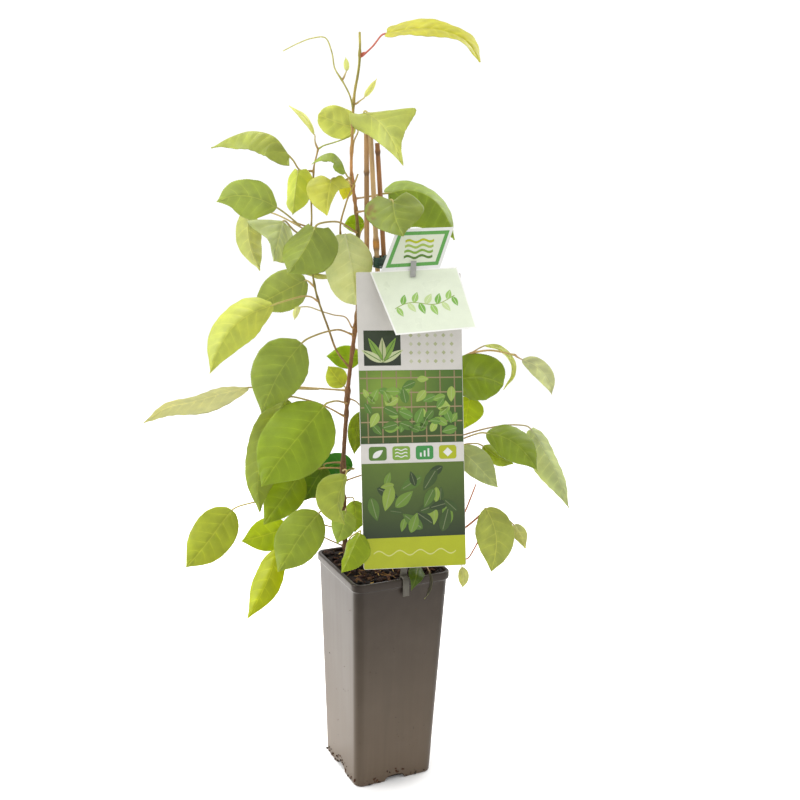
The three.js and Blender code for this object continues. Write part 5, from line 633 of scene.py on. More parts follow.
def leaf_mesh(row, seed):
    name, node, stem, face, W, R, L, kind, kindL, curl, wave, colour, pale, mid, stalk = row
    rng = np.random.default_rng(seed)
    mid, face = np.array(mid, float), np.array(face, float)
    length = np.linalg.norm(np.diff(crom(mid, np.linspace(0, 1, 60)), axis=0), axis=1).sum()
    nt = int(np.clip(length * 1.25, 36, 112))
    x = np.linspace(0, 1, nt + 2)[1:-1]
    t = .62 * x + .38 * (.5 - .5 * np.cos(np.pi * x))
    P = crom(mid, t)
    T = unit(crom(mid, np.minimum(1, t + .02)) - crom(mid, np.maximum(0, t - .02)))
    S = unit(np.cross(T, face))
    N = np.cross(S, T)
    halves = {}
    base_col = lin(colour)
    th = .30
    veins = max(4, int(round(length / 10.5)))
    ph = rng.uniform(0, 6.28, 6)
    for side in (1, -1):
        a = math.radians(R if side > 0 else L)
        k = kind if side > 0 else kindL
        lobe = OUTLINES[k][2]
        D = S * math.cos(a) + N * math.sin(a)
        H = (-S * math.sin(a) + N * math.cos(a)) * (1 if side > 0 else -1)
        if side < 0:
            H = S * math.sin(a) - N * math.cos(a)
        w = outline_at(k, t) * W
        q = COLS[None, :]
        tt = t[:, None]
        ww = w[:, None]
        # fine forward-pointing teeth along the margin
        tooth = ((np.arange(nt) % 2) * 1.)[:, None] * np.clip(np.minimum(tt / .08, (1 - tt) / .05), 0, 1)
        edge = np.where(q > .99, 1., np.where(q > .95, .3, 0.))
        lat = ww * q + tooth * edge * min(.24, .008 * W + .05)
        fwd = tooth * edge * .22 - lobe * W * (1 - tt) ** 3 * q ** 2 * np.minimum(1, tt / .02)
        # side veins arch from the midrib towards the tip
        tau = tt - .27 * q ** 1.25 * (1 - .5 * tt) * min(1.35, W / length * 2.6)
        at = .035 + .93 * ((np.arange(veins) + (.25 if side > 0 else .0)) / veins) ** .92
        d = np.abs(tau[..., None] - at[None, None, :]).min(-1) * length
        u = (tau - .035) / .93
        count = np.sign(u) * np.abs(u) ** (1 / .92) * veins - (.25 if side > 0 else 0.)
        vein = np.stack([count, q * ww + 0 * tt, np.broadcast_to(q, count.shape)], -1)
        gap = length * .93 / veins / 2
        b = np.sin(.5 * np.pi * np.clip(d / gap, 0, 1))
        lift = .36 * min(1, W / 18) * b * (1 - q ** 3) * np.clip(q * 8, 0, 1)
        groove = -.40 * np.exp(-(q * ww / 1.1) ** 2)
        sway = wave * 1.5 * q ** 2 * np.sin(6.28 * (1.6 + .5 * rng.random()) * tt + ph[0 if side > 0 else 1]) * np.clip(tt / .1, 0, 1) * min(1, W / 20)
        ripple = .20 * q ** 4 * np.sin(6.28 * veins * (tau + .12) + ph[2]) * min(1, W / 18)
        soft = .55 * q * np.sin(4.1 * tt + ph[3] + 2 * q * side) * min(1, W / 20)
        h = curl * ww * q ** 2 + lift + groove + sway + ripple + soft
        C = P[:, None] + D[:, None] * lat[..., None] + H[:, None] * h[..., None] + T[:, None] * fwd[..., None]
        line = np.exp(-(d / .62) ** 2) * (1 - .55 * q) * np.clip(1.15 - tt, 0, 1)
        rib = np.exp(-(q * ww / .7) ** 2)
        ridge = .45 * np.exp(-(q * ww / .75) ** 2) * (1 - .75 * tt) + .16 * np.exp(-(d / .5) ** 2) * (1 - q)
        halves[side] = (C, np.broadcast_to(H[:, None], C.shape), line, rib, ridge, b, vein)
    nc = len(COLS)
    merge = lambda i: np.concatenate([halves[-1][i][:, :0:-1], halves[1][i]], 1)
    C, H, line, rib, ridge, b, vein = [merge(i) for i in range(7)]
    c0 = nc - 1
    H = H.copy()
    H[:, c0] = unit(halves[1][1][:, 0] + halves[-1][1][:, 0])
    C = C.copy()
    ncol = 2 * nc - 1
    q = np.abs(np.linspace(-(nc - 1), nc - 1, ncol)).astype(int)
    inner = (q < nc - 1)[None, :, None]
    top = C + H * th / 2 * inner
    under = C - H * (th / 2 + ridge[..., None]) * inner
    # colours: a paler net of veins on the upper face, a duller, lighter underside with stronger veins; the pale line
    # along the margin of both faces is painted light, standing in for the bright rim that light from behind puts on the
    # leaf edges
    qq = COLS[q][None, :]
    tone = 1 + .07 * waves(np.linspace(0, 9, nt)[:, None] + 2.5 * np.linspace(-1, 1, ncol)[None, :], seed + 7)
    tone = tone * (1.03 - .10 * b * (1 - qq)) * (1 - .07 * np.clip(1 - np.abs(t[:, None] - .1) / .2, 0, 1))
    up = base_col[None, None] * tone[..., None]
    pale_up = base_col * .55 + np.array([.36, .42, .12]) * .5
    # painted light: the (qq > .985) and (qq > .94) terms paint the backlit rim along the margin of the upper face
    m = np.clip(.06 * line + .10 * rib + .42 * (qq > .985) + .08 * (qq > .94), 0, .85)[..., None]
    up = up * (1 - m) + pale_up * m
    dn = (base_col * .80 + np.array([.30, .35, .16]) * .20)[None, None] * (tone[..., None] * .5 + .5)
    # painted light: the (qq > .985) term paints the same backlit rim on the underside
    m = np.clip(.18 * line + .35 * rib + .30 * (qq > .985), 0, .9)[..., None]
    dn = dn * (1 - m) + (base_col * .5 + np.array([.46, .47, .20]) * .5) * m
    for ts, ss, rs in SPOTS.get(name, ()):
        sgn = np.linspace(-1, 1, ncol)[None, :]
        share = np.sign(sgn) * COLS[q][None, :]
        far = np.hypot((t[:, None] - ts) * length, (share - ss) * W) / rs
        m = (np.clip(1.6 - far, 0, 1) * .8)[..., None]
        up = up * (1 - m) + lin((128, 92, 58)) * m
    ends = crom(mid, [0, 1])
    V = [top.reshape(-1, 3)]
    col = [up.reshape(-1, 3)]
    idx_top = np.arange(nt * ncol).reshape(nt, ncol)
    idx_un = idx_top.copy()
    idx_un[:, 1:-1] = nt * ncol + np.arange(nt * (ncol - 2)).reshape(nt, ncol - 2)
    V.append(under[:, 1:-1].reshape(-1, 3))
    col.append(dn[:, 1:-1].reshape(-1, 3))
    e0 = nt * ncol + nt * (ncol - 2)
    V.append(ends)
    col.append(np.array([pale_up, pale_up]))
    F = []
    for idx, rev in ((idx_top, False), (idx_un, True)):
        A, B2, C2, D2 = idx[:-1, :-1], idx[:-1, 1:], idx[1:, 1:], idx[1:, :-1]
        Q = np.stack([A, B2, C2, D2], -1).reshape(-1, 4)
        F += (Q[:, ::-1] if rev else Q).tolist()
        for j in range(ncol - 1):
            f0 = (e0, idx[0, j + 1], idx[0, j])
            f1 = (e0 + 1, idx[-1, j], idx[-1, j + 1])
            F += [f0[::-1], f1[::-1]] if rev else [f0, f1]
    bl = Build()
    tips = np.array([[-.6, 0, 0], [veins * 1.02, 0, 0]])
    bl.add(np.vstack(V), F, np.vstack(col), 0, np.vstack([vein.reshape(-1, 3), vein[:, 1:-1].reshape(-1, 3), tips]))
    # stalk: from the stem's axis to the blade, then on as the midrib's keel under it
    Nm = H[:, c0]
    tk = np.array([.03, .10, .2, .32, .46, .6, .74, .86])
    keel = crom(mid, tk) - np.stack([np.interp(tk, t, Nm[:, i]) for i in range(3)], 1) * np.interp(tk, [0, .2, 1], [.66, .58, .36])[:, None]
    st = np.array(stalk, float)
    path = np.vstack([st[:-1], mid[0][None] - Nm[0] * .42, keel])
    keep = [0] + [i for i in range(1, len(path)) if np.linalg.norm(path[i] - path[i - 1]) > .8]
    path = path[keep]
    pts, dist = even(path, 1.5)
    L_st = np.linalg.norm(np.diff(even(np.vstack([st[:-1], mid[0][None]]), 1.)[0], axis=0), axis=1).sum()
    thick = np.clip(.56 + W * .012, .64, .88)
    r = np.interp(dist, [0, 2.5, 7, L_st * .6 + 3, L_st, L_st + 4, dist[-1]], np.array([1.55 * thick, 1.35 * thick, .95 * thick, .90 * thick, .95 * thick, .34, .14]))
    r = r * (1 + .05 * waves(dist, seed + 3, 4, .3, 1.2))
    V, F = tube(pts, r, 9)
    s = np.clip(dist / max(L_st, 1), 0, 1.6)[:, None]
    foot = lin((172, 84, 70)) if pale < .05 else lin((152, 96, 66)) * (1 - pale) + lin((158, 146, 84)) * pale
    near = lin((178, 96, 80)) if pale < .05 else base_col * .50 + lin((160, 122, 74)) * .50
    cs = foot * (1 - np.clip(s, 0, 1)) + near * np.clip(s, 0, 1)
    rib_c = base_col * .55 + lin((206, 208, 128)) * .40
    past = np.clip((dist - L_st) / 4., 0, 1)[:, None]
    cs = cs * (1 - past) + rib_c * past
    bl.add(V, F, per_ring(cs, 9), 1)
    return bl


for i, row in enumerate(LEAVES):
    leaf_mesh(row, 100 + i).make(row[0], [LEAF, STALK], row[1], "leaf_pale" if row[12] > .6 else "leaf_green")

# ------------------------------------------------------------------------------------------------ stems
joints_on = {}
for row in LEAVES:
    joints_on.setdefault(row[2], []).append(np.array(row[14][0], float))


def stem_mesh(bl, key, seed, sides, stops, woody):
    s = STEMS[key]
    pts, d = even(np.array(s["p"], float), 1.1)
    total = d[-1]
    g = np.random.default_rng(seed)
    # a slight wander between the nodes, none at the ends
    fade = np.clip(np.minimum(d / 15, (total - d) / 15), 0, 1)[:, None]
    pts = pts + np.stack([waves(d, seed + k, 4, .05, .22) for k in range(3)], 1) * fade * .35
    r = s["r0"] + (s["r1"] - s["r0"]) * d / total
    r = r * (1 + .05 * waves(d, seed + 5, 6, .2, .9))
    swell = np.zeros_like(d)
    for p in joints_on.get(key, []):
        i = np.argmin(np.linalg.norm(pts - p, axis=1))
        swell += .55 * np.exp(-((d - d[i]) / 2.6) ** 2) + .30 * np.exp(-((d - d[i] - 3.4) / 1.4) ** 2)
    r = r + np.clip(swell, 0, 1.0) * np.clip(r / 1.4, .5, 1)
    a = np.linspace(0, 2 * np.pi, sides, endpoint=False)
    rough = np.stack([waves(d * .9 + 3 * math.cos(x) + 2 * math.sin(x), seed + 11 + j % 5, 6, .3, 2.4) for j, x in enumerate(a)], 1)
    rr = r[:, None] * (1 + (.075 * woody) * rough)
    V, F = tube(pts, rr, sides)
    x = (d / total)[:, None]
    at = np.linspace(0, 1, len(stops)) if len(stops[0]) == 3 else [q[3] for q in stops]
    c = np.stack([np.interp(x[:, 0], at, [lin(q[:3])[k] for q in stops]) for k in range(3)], 1)
    c = c * (1 + .14 * waves(d, seed + 21, 6, .1, .8))[:, None]
    nodes_dark = np.clip(swell, 0, 1)[:, None]
    c = c * (1 - .25 * nodes_dark) + lin((120, 92, 60)) * .25 * nodes_dark
    bl.add(V, F, per_ring(c, sides), 0)


MAIN_TONE = [(84, 60, 44, 0.), (100, 72, 50, .23), (122, 84, 54, .45), (112, 90, 50, .58), (98, 94, 44, .66), (146, 106, 66, .71), (182, 132, 84, .77), (158, 136, 76, .86), (142, 136, 66, .95), (166, 156, 84, 1.)]
vine = Build()
stem_mesh(vine, "main", 11, 14, MAIN_TONE, 1.)
stem_mesh(vine, "tip", 12, 9, [(150, 142, 74), (190, 188, 110)], .4)
stem_mesh(vine, "twine", 13, 9, [(132, 100, 60), (120, 112, 56), (170, 142, 84)], .6)
stem_mesh(vine, "upper", 14, 9, [(130, 104, 60), (168, 146, 82)], .6)
joint, way = np.array(LEAVES[0][14][0], float), unit(np.array(LEAVES[0][14][2], float) - np.array(LEAVES[0][14][0], float))
V, F = tube(joint[None] + way[None] * np.linspace(.2, 5.2, 9)[:, None], np.array([.9, 1.5, 1.75, 1.6, 1.3, 1.35, 1.2, .9, .6]), 10)
vine.add(V, F, per_ring(np.stack([np.interp(np.linspace(0, 1, 9), [0, .5, 1], [lin(q)[k] for q in ((128, 92, 52), (150, 78, 48), (176, 88, 70))]) for k in range(3)], 1), 10), 0)
for k, twig in enumerate(SHOOTS):
    pts, d = even(np.array(twig, float), 1.2)
    V, F = tube(pts, np.interp(d / d[-1], [0, .1, .9, 1], [.85, .6, .55, .3]), 8)
    vine.add(V, F, per_ring(np.tile(lin((150, 158, 62)), (len(pts), 1)) * (1 + .12 * waves(d, 95 + k, 5, .1, .7))[:, None], 8), 0)
vine.make("vine_stem_skin", [BARK], "vine_stem", "bark")
shoot = Build()
stem_mesh(shoot, "rightA", 15, 11, [(112, 80, 54), (150, 100, 70), (176, 122, 88), (168, 150, 92)], .7)
shoot.make("right_shoot_skin", [BARK], "right_shoot", "shoot")
shoot = Build()
stem_mesh(shoot, "rightB", 16, 10, [(118, 82, 56), (164, 108, 78)], .7)
for k, twig in enumerate(TWIGS):
    pts, d = even(np.array(twig, float), 1.2)
    V, F = tube(pts, np.interp(d / d[-1], [0, .1, .9, 1], [.95, .76, .70, .5]), 8)
    shoot.add(V, F, per_ring(np.tile(lin((170, 112, 84)), (len(pts), 1)) * (1 + .12 * waves(d, 90 + k, 5, .1, .7))[:, None], 8), 0)
shoot.make("low_shoot_skin", [BARK], "low_shoot", "shoot")

# ------------------------------------------------------------------------------------------------ canes
CANE_TONE = {"bamboo_cane_1": (158, 124, 82), "bamboo_cane_2": (168, 138, 94), "bamboo_cane_3": (142, 98, 56)}
CANE_NODES = {"bamboo_cane_1": (36, 148, 262, 372), "bamboo_cane_2": (104, 214, 330, 436), "bamboo_cane_3": (7, 96, 206, 312, 414)}
for i, (name, c) in enumerate(CANES.items()):
    a, b, r0 = np.array(c["a"], float), np.array(c["b"], float), c["r"]
    n = int(np.linalg.norm(b - a) / 1.2)
    d = np.linspace(0, np.linalg.norm(b - a), n)
    # thicker sampling at the nodes comes from the ring profile itself
    g = np.random.default_rng(40 + i)
    pts = a + (b - a) * (d / d[-1])[:, None]
    bow = np.sin(np.pi * d / d[-1])[:, None] * .5
    pts = pts + bow * np.array([math.cos(i * 2.1), math.sin(i * 2.1), 0])
    r = r0 * (.93 + .07 * d / d[-1]) * (1 + .015 * waves(d, 60 + i, 4, .02, .1))
    ring = np.zeros_like(d)
    dark = np.zeros_like(d)
    for x in CANE_NODES[name]:
        ring += .42 * np.exp(-((d - x) / 1.5) ** 2) - .16 * np.exp(-((d - x - 3.2) / 1.1) ** 2)
        dark += np.exp(-((d - x - 1.6) / 1.6) ** 2) + .35 * np.exp(-((d - x) / 6.) ** 2)
    knob = np.exp(-((d - 93.) / 5.2) ** 4) if name == "bamboo_cane_2" else np.zeros_like(d)
    r = r + ring + .75 * knob
    sides = 16
    # cut top: a rim, then a shallow hollow
    V, F = tube(pts, r, sides)
    V = V[:-2]
    F = [f for f in F if max(f) < len(V)]
    tone = lin(CANE_TONE[name]) * (1 + .16 * waves(d, 70 + i, 6, .02, .3))[:, None]
    tone = tone * (1 - .55 * np.clip(dark, 0, 1))[:, None]
    amber = lin((168, 116, 44)) * (1 - .8 * np.exp(-((d - 98.) / 2.2) ** 2) - .6 * np.exp(-((d - 88.5) / 1.6) ** 2))[:, None]
    tone = tone * (1 - knob[:, None]) + amber * knob[:, None]
    col = np.repeat(tone, sides, axis=0)
    ax = unit(b - a)
    top = V[:sides]
    extra = [a + (top - a) * .52, a + ax * 4.5 + (top - a) * .48]
    o = len(V)
    V = np.vstack([V, *extra, a + ax * 4.5, V[-sides:].mean(0) + ax * .3])
    col = np.vstack([col, np.tile(lin((196, 178, 140)), (sides, 1)), np.tile(lin((60, 44, 30)), (sides, 1)), lin((50, 36, 26)), tone[-1]])
    for j in range(sides):
        k = (j + 1) % sides
        F.append((j, o + j, o + k, k))
        F.append((o + j, o + sides + j, o + sides + k, o + k))
        F.append((o + 2 * sides, o + sides + k, o + sides + j))
        F.append((o + 2 * sides + 1, (n - 1) * sides + j, (n - 1) * sides + k))
    bl = Build()
    bl.add(V, F, col, 0)
    bl.make(name + "_skin", [CANE], name, "bamboo", sharp=50)

# ------------------------------------------------------------------------------------------------ tie
bl = Build()
rx, ry, wire = TIE_HALF + 2.3 + .3 + .9 + .35, 2.3 + .3 + .9 + .5, .72
ca, sa = math.cos(math.radians(TIE_ANGLE)), math.sin(math.radians(TIE_ANGLE))
u = np.linspace(0, 7.15 * 2 * np.pi, 420)
x, y = (rx + .12 * np.sin(u * .7)) * np.cos(u - 1.9), (ry + .15 * np.sin(u * 1.3 + 1)) * np.sin(u - 1.9)
z = 4.7 - 9.4 * u / u[-1] + .35 * np.sin(u * 2.1)
pts = np.stack([ca * x - sa * y, sa * x + ca * y, z], 1) + np.array(TIE_CENTRE)
V, F = tube(pts, np.full(len(pts), wire), 9)
tone = lin((28, 58, 44)) * (1 + .18 * waves(u, 5, 6, .5, 3.))[:, None]
bl.add(V, F, per_ring(tone, 9), 0)
out = np.array([sa, -ca, 0])
start = np.array(TIE_CENTRE) + out * (ry + .2)
for sgn in (0, np.pi):
    w = np.linspace(0, 1, 60)
    axis = start + out * (2.6 * np.sin(w * 1.5))[:, None] + np.array([1.2, 0, 0]) * (w ** 2)[:, None] + np.array([0, 0, -8.2]) * w[:, None]
    tw = w * 15 + sgn
    p = axis + .62 * (np.cos(tw)[:, None] * np.array([ca, sa, 0]) + np.sin(tw)[:, None] * out)
    V, F = tube(p, np.full(60, .62), 8)
    bl.add(V, F, per_ring(np.tile(lin((34, 74, 60)), (60, 1)), 8), 0)
bl.make("cane_tie_wire", [WIRE], "cane_tie", "tie_wire")

# ------------------------------------------------------------------------------------------------ pot
def square_ring(width, radius, z, seg=9, side=22):
    h = width / 2 - radius
    out = []
    for cx, cy, st in ((h, -h, -90), (h, h, 0), (-h, h, 90), (-h, -h, 180)):
        for k in range(seg + 1):
            a = math.radians(st + 90 * k / seg)
            out.append((cx + radius * math.cos(a), cy + radius * math.sin(a), z))
        ex, ey = math.cos(math.radians(st + 90)), math.sin(math.radians(st + 90))
        p = np.array(out[-1])
        run = np.array([-ey, ex, 0]) * 2 * h
        for k in range(1, side):
            out.append(tuple(p + run * k / side))
    return np.array(out)


rim_foot = POT_HEIGHT - RIM_BAND
in_top = BODY_TOP - 2 * WALL
in_at = lambda z: BASE_WIDTH - 2 * WALL + (in_top - (BASE_WIDTH - 2 * WALL)) * z / POT_HEIGHT
body_at = lambda z: BASE_WIDTH + (BODY_TOP - BASE_WIDTH) * z / (rim_foot - 1.5)
prof = [(BASE_WIDTH - 3.0, 7.0, 0.), (BASE_WIDTH - 1.2, 7.4, .15), (BASE_WIDTH - .35, 7.8, .6)]
prof += [(body_at(z), 8., z) for z in np.r_[1.3, 3, 5, 7, 9, 12, 15, 19, 24, 30, np.linspace(38, rim_foot - 3, 26)]]
prof += [(BODY_TOP + .15, 8., rim_foot - 1.5), (BODY_TOP + .9, 8.2, rim_foot - .8), (RIM_WIDTH - .7, 8.8, rim_foot - .25), (RIM_WIDTH - .15, 9., rim_foot + .25)]
prof += [(RIM_WIDTH, 9., rim_foot + .9), (RIM_WIDTH - .1, 9., rim_foot + 3.), (RIM_WIDTH, 9., POT_HEIGHT - 1.2), (RIM_WIDTH - .3, 8.9, POT_HEIGHT - .5), (RIM_WIDTH - 1.1, 8.6, POT_HEIGHT - .08), (RIM_WIDTH - 1.9, 8.4, POT_HEIGHT)]
prof += [(in_top + 1.5, 6.9, POT_HEIGHT), (in_top + .5, 6.6, POT_HEIGHT - .3), (in_top, 6.5, POT_HEIGHT - 1.2)]
prof += [(in_at(z), 6.5, z) for z in (196, 192, 186, 160, 110, 60, 20, FLOOR)]
rings = [square_ring(*p) for p in prof]
ns = len(rings[0])
V = np.vstack(rings)
# walls of a thin pot are never quite flat
zz = V[:, 2]
wob = np.clip(zz / 40, 0, 1) * np.clip((rim_foot - zz) / 30, 0, 1)
for ax in (0, 1):
    V[:, ax] += wob * np.sign(V[:, ax]) * (np.abs(V[:, ax]) > 30) * -.55 * np.sin(np.pi * zz / 190) * np.cos(np.pi * V[:, 1 - ax] / 90) ** 2
F = rings_to_faces(len(rings), ns)
V = np.vstack([V, (0, 0, 0), (0, 0, FLOOR)])
for j in range(ns):
    k = (j + 1) % ns
    F.append((len(V) - 2, k, j))
    F.append((len(V) - 1, (len(rings) - 1) * ns + j, (len(rings) - 1) * ns + k))
me = bpy.data.meshes.new("pot_blank")
me.from_pydata((V * MM).tolist(), [], F)
blank = bpy.data.objects.new("pot_blank", me)
bpy.context.scene.collection.objects.link(blank)
cutters = []
for q in range(4):
    prof2 = []
    w = NOTCH_WIDTH / 2
    for a in np.linspace(0, math.pi, 25):
        prof2.append((w * np.sign(math.cos(a)) * abs(math.cos(a)) ** .8, NOTCH_HEIGHT * math.sin(a) ** .75))
    prof2 = [(w + .4, -1)] + prof2 + [(-w - .4, -1)]
    V2 = [(x, y, z) for y in (-BASE_WIDTH / 2 - 4, -BASE_WIDTH / 2 + NOTCH_DEPTH) for x, z in prof2]
    m = len(prof2)
    F2 = [tuple(range(m)), tuple(range(2 * m - 1, m - 1, -1))] + [(j, m + j, m + (j + 1) % m, (j + 1) % m) for j in range(m)]
    rot = np.array([[math.cos(q * math.pi / 2), -math.sin(q * math.pi / 2), 0], [math.sin(q * math.pi / 2), math.cos(q * math.pi / 2), 0], [0, 0, 1]])
    cm = bpy.data.meshes.new("arch")
    cm.from_pydata((np.array(V2) @ rot.T * MM).tolist(), [], F2)
    cm.update()
    import bmesh
    bm = bmesh.new()
    bm.from_mesh(cm)
    bmesh.ops.recalc_face_normals(bm, faces=bm.faces)
    bm.to_mesh(cm)
    bm.free()
    co = bpy.data.objects.new("arch", cm)
    bpy.context.scene.collection.objects.link(co)
    cutters.append(co)
    mod = blank.modifiers.new("arch", "BOOLEAN")
    mod.operation, mod.solver, mod.object = "DIFFERENCE", "EXACT", co
bpy.context.view_layer.update()
pot_me = bpy.data.meshes.new_from_object(blank.evaluated_get(bpy.context.evaluated_depsgraph_get()))
for o in [blank, *cutters]:
    bpy.data.objects.remove(o)
pot_me.name = "nursery_pot_shell"
pot_me.materials.clear()
pot_me.materials.append(POT)
co = np.zeros(len(pot_me.vertices) * 3, np.float32)
pot_me.vertices.foreach_get("co", co)
co = co.reshape(-1, 3) / MM
plain = lin((30, 23, 18))
dirt = lin((74, 56, 42))
low = np.exp(-np.clip(co[:, 2], 0, None) / 7.) * np.array([.35 + .65 * max(0, noise.noise(Vector(p) * .13) + .35) for p in co])
# painted light: the pot's colour runs from dark at the rim to much lighter at the foot, standing in for the shade of
# leaves and label at the top and for floor light bounced onto the bottom
fade = np.clip(co[:, 2] / 195., 0, 1)[:, None]
plain = plain * fade + lin((88, 76, 62)) * (1 - fade)
low = np.maximum(.55 * low, .30 * np.exp(-np.clip(co[:, 2], 0, None) / 34.))
pot_c = plain * (1 - low[:, None]) + dirt * low[:, None]
nook = in_at(co[:, 2]) / 2 - 6.5
inside = (np.hypot(np.clip(np.abs(co[:, 0]) - nook, 0, None), np.clip(np.abs(co[:, 1]) - nook, 0, None)) < 7.) & (co[:, 2] > FLOOR - .5)
pot_c[inside] = lin((38, 30, 26))
# painted shade: the rounded corners are coloured 30% darker, standing in for the dark band the light leaves along them;
# corners and foot are also rubbed dull, with less specular
hw = np.interp(co[:, 2], [0, rim_foot - 1.5, rim_foot, POT_HEIGHT], [BASE_WIDTH / 2, BODY_TOP / 2, RIM_WIDTH / 2, RIM_WIDTH / 2])
wear_and_painted_shade = np.clip((np.minimum(np.abs(co[:, 0]), np.abs(co[:, 1])) - (hw - 8.2)) / (.71 * 8.2), 0, 1) ** .6
paint(pot_me, pot_c * (1 - .30 * wear_and_painted_shade[:, None]))
wear_and_painted_shade = np.maximum(wear_and_painted_shade, .85 * np.exp(-np.clip(co[:, 2], 0, None) / 42.))
paint(pot_me, np.repeat(wear_and_painted_shade[:, None], 3, 1), "wear_and_painted_shade")
pot_me.polygons.foreach_set("use_smooth", [True] * len(pot_me.polygons))
pot_me.set_sharp_from_angle(angle=math.radians(38))
pot_me.update()
place(bpy.data.objects.new("nursery_pot_shell", pot_me), "nursery_pot")

# ------------------------------------------------------------------------------------------------ soil
def pebble(g, size, centre, spin, lump=.32):
    """a lumpy crumb or bark chip: a rounded block pushed about by noise"""
    n, m = 7, 10
    th, ph = np.linspace(0, np.pi, n + 2)[1:-1], np.linspace(0, 2 * np.pi, m, endpoint=False)
    P = np.array([(math.sin(a) * math.cos(b), math.sin(a) * math.sin(b), math.cos(a)) for a in th for b in ph] + [(0, 0, 1), (0, 0, -1)])
    P = np.sign(P) * np.abs(P) ** .72
    off = g.uniform(-50, 50, 3)
    P = P * np.array([1 + lump * noise.noise(Vector(p * 1.7 + off)) + .5 * lump * noise.noise(Vector(p * 4 + off)) for p in P])[:, None]
    P = P * np.array(size) / 2
    cx, cy, cz = [math.cos(s) for s in spin]
    sx, sy, sz = [math.sin(s) for s in spin]
    Rm = np.array([[cz, -sz, 0], [sz, cz, 0], [0, 0, 1]]) @ np.array([[cy, 0, sy], [0, 1, 0], [-sy, 0, cy]]) @ np.array([[1, 0, 0], [0, cx, -sx], [0, sx, cx]])
    P = P @ Rm.T + np.array(centre)
    F = []
    for i in range(n - 1):
        for j in range(m):
            k = (j + 1) % m
            F.append((i * m + j, (i + 1) * m + j, (i + 1) * m + k, i * m + k))
    for j in range(m):
        k = (j + 1) % m
        F.append((n * m, j, k))
        F.append((n * m + 1, (n - 1) * m + k, (n - 1) * m + j))
    return P, F


half = in_at(SOIL_TOP) / 2 - .55
N = 84
g = np.linspace(-half, half, N)
X, Y = np.meshgrid(g, g, indexing="ij")
r = 6.2
hx, hy = np.abs(X) - (half - r), np.abs(Y) - (half - r)
corner = (hx > 0) & (hy > 0)
dd = np.hypot(np.where(corner, hx, 0), np.where(corner, hy, 0))
k = np.where(corner & (dd > r), r / np.maximum(dd, 1e-6), 1)
X = np.where(corner, np.sign(X) * (half - r + hx * k), X)
Y = np.where(corner, np.sign(Y) * (half - r + hy * k), Y)


def soil_height(x, y):
    v = Vector((x * .09, y * .09, 3.1))
    lumps = noise.fractal(v, .9, 2.1, 5) * 1.7 + noise.noise(Vector((x * .35, y * .35, 8.))) * .8
    rise = 1.6 * max(0, 1 - (x * x + y * y) / half ** 2)
    heap = 5.0 * math.exp(-(((x - 37) / 9.) ** 2 + ((y + 36) / 11.) ** 2))
    back = 2.2 * math.exp(-(((x + 40) / 10.) ** 2)) + 1.6 * math.exp(-(((y - 40) / 12.) ** 2))
    return SOIL_TOP + rise + lumps + heap + back


Z = np.array([[soil_height(a, b) for a, b in zip(ra, rb)] for ra, rb in zip(X, Y)])
g2 = np.random.default_rng(5)
top = np.stack([X, Y, Z], -1).reshape(-1, 3)
tone = np.array([.5 + .5 * noise.noise(Vector(p) * .22) for p in top])[:, None]
tone2 = np.array([max(0, noise.noise(Vector(p) * .6 + Vector((9, 1, 4)))) for p in top])[:, None]
colour = lin((14, 11, 9)) * (1 - tone) + lin((30, 23, 19)) * tone + lin((110, 74, 50)) * .12 * tone2
F = []
idx = np.arange(N * N).reshape(N, N)
Q = np.stack([idx[:-1, :-1], idx[1:, :-1], idx[1:, 1:], idx[:-1, 1:]], -1).reshape(-1, 4)
F += Q.tolist()
rim = np.r_[idx[:, 0], idx[-1, 1:], idx[-2::-1, -1], idx[0, -2:0:-1]]
V = [top]
o = N * N
levels = [176., 120., 60., FLOOR + .3]
for z in levels:
    sc = (in_at(z) / 2 - .55) / half
    V.append(np.stack([top[rim, 0] * sc, top[rim, 1] * sc, np.full(len(rim), z)], 1))
m = len(rim)
prev = rim
for i in range(len(levels)):
    cur = o + i * m + np.arange(m)
    for j in range(m):
        F.append((prev[j], cur[j], cur[(j + 1) % m], prev[(j + 1) % m]))
    prev = cur
V.append(np.array([[0, 0, FLOOR + .3]]))
c_i = o + len(levels) * m
for j in range(m):
    F.append((c_i, prev[(j + 1) % m], prev[j]))
V = np.vstack(V)
colour = np.vstack([colour, np.tile(lin((40, 30, 25)), (len(V) - len(colour), 1))])
# the outside faces up and out
bl = Build()
bl.add(V, F, colour, 0)
CHIP = [(96, 62, 44), (70, 48, 38), (122, 82, 58), (52, 40, 34), (84, 58, 52), (140, 104, 70), (44, 36, 33), (104, 72, 62)]
for i in range(430):
    x, y = g2.uniform(-half + 2.5, half - 2.5, 2)
    if i < 250:
        size = (g2.uniform(4, 11), g2.uniform(2.5, 5.5), g2.uniform(1.2, 2.8))
    else:
        size = g2.uniform(1.2, 3.4, 3)
    spin = (g2.normal(0, .45), g2.normal(0, .35), g2.uniform(0, 6.3))
    P, Fp = pebble(g2, size, (x, y, soil_height(x, y) + size[2] * .22), spin, .38)
    P[:, 0] = np.clip(P[:, 0], -half, half)
    P[:, 1] = np.clip(P[:, 1], -half, half)
    bl.add(P, Fp, lin(CHIP[g2.integers(len(CHIP))]) * g2.uniform(.06, .36), 0)
STRAW = [(196, 164, 96), (170, 128, 72), (214, 190, 130), (150, 108, 66)]
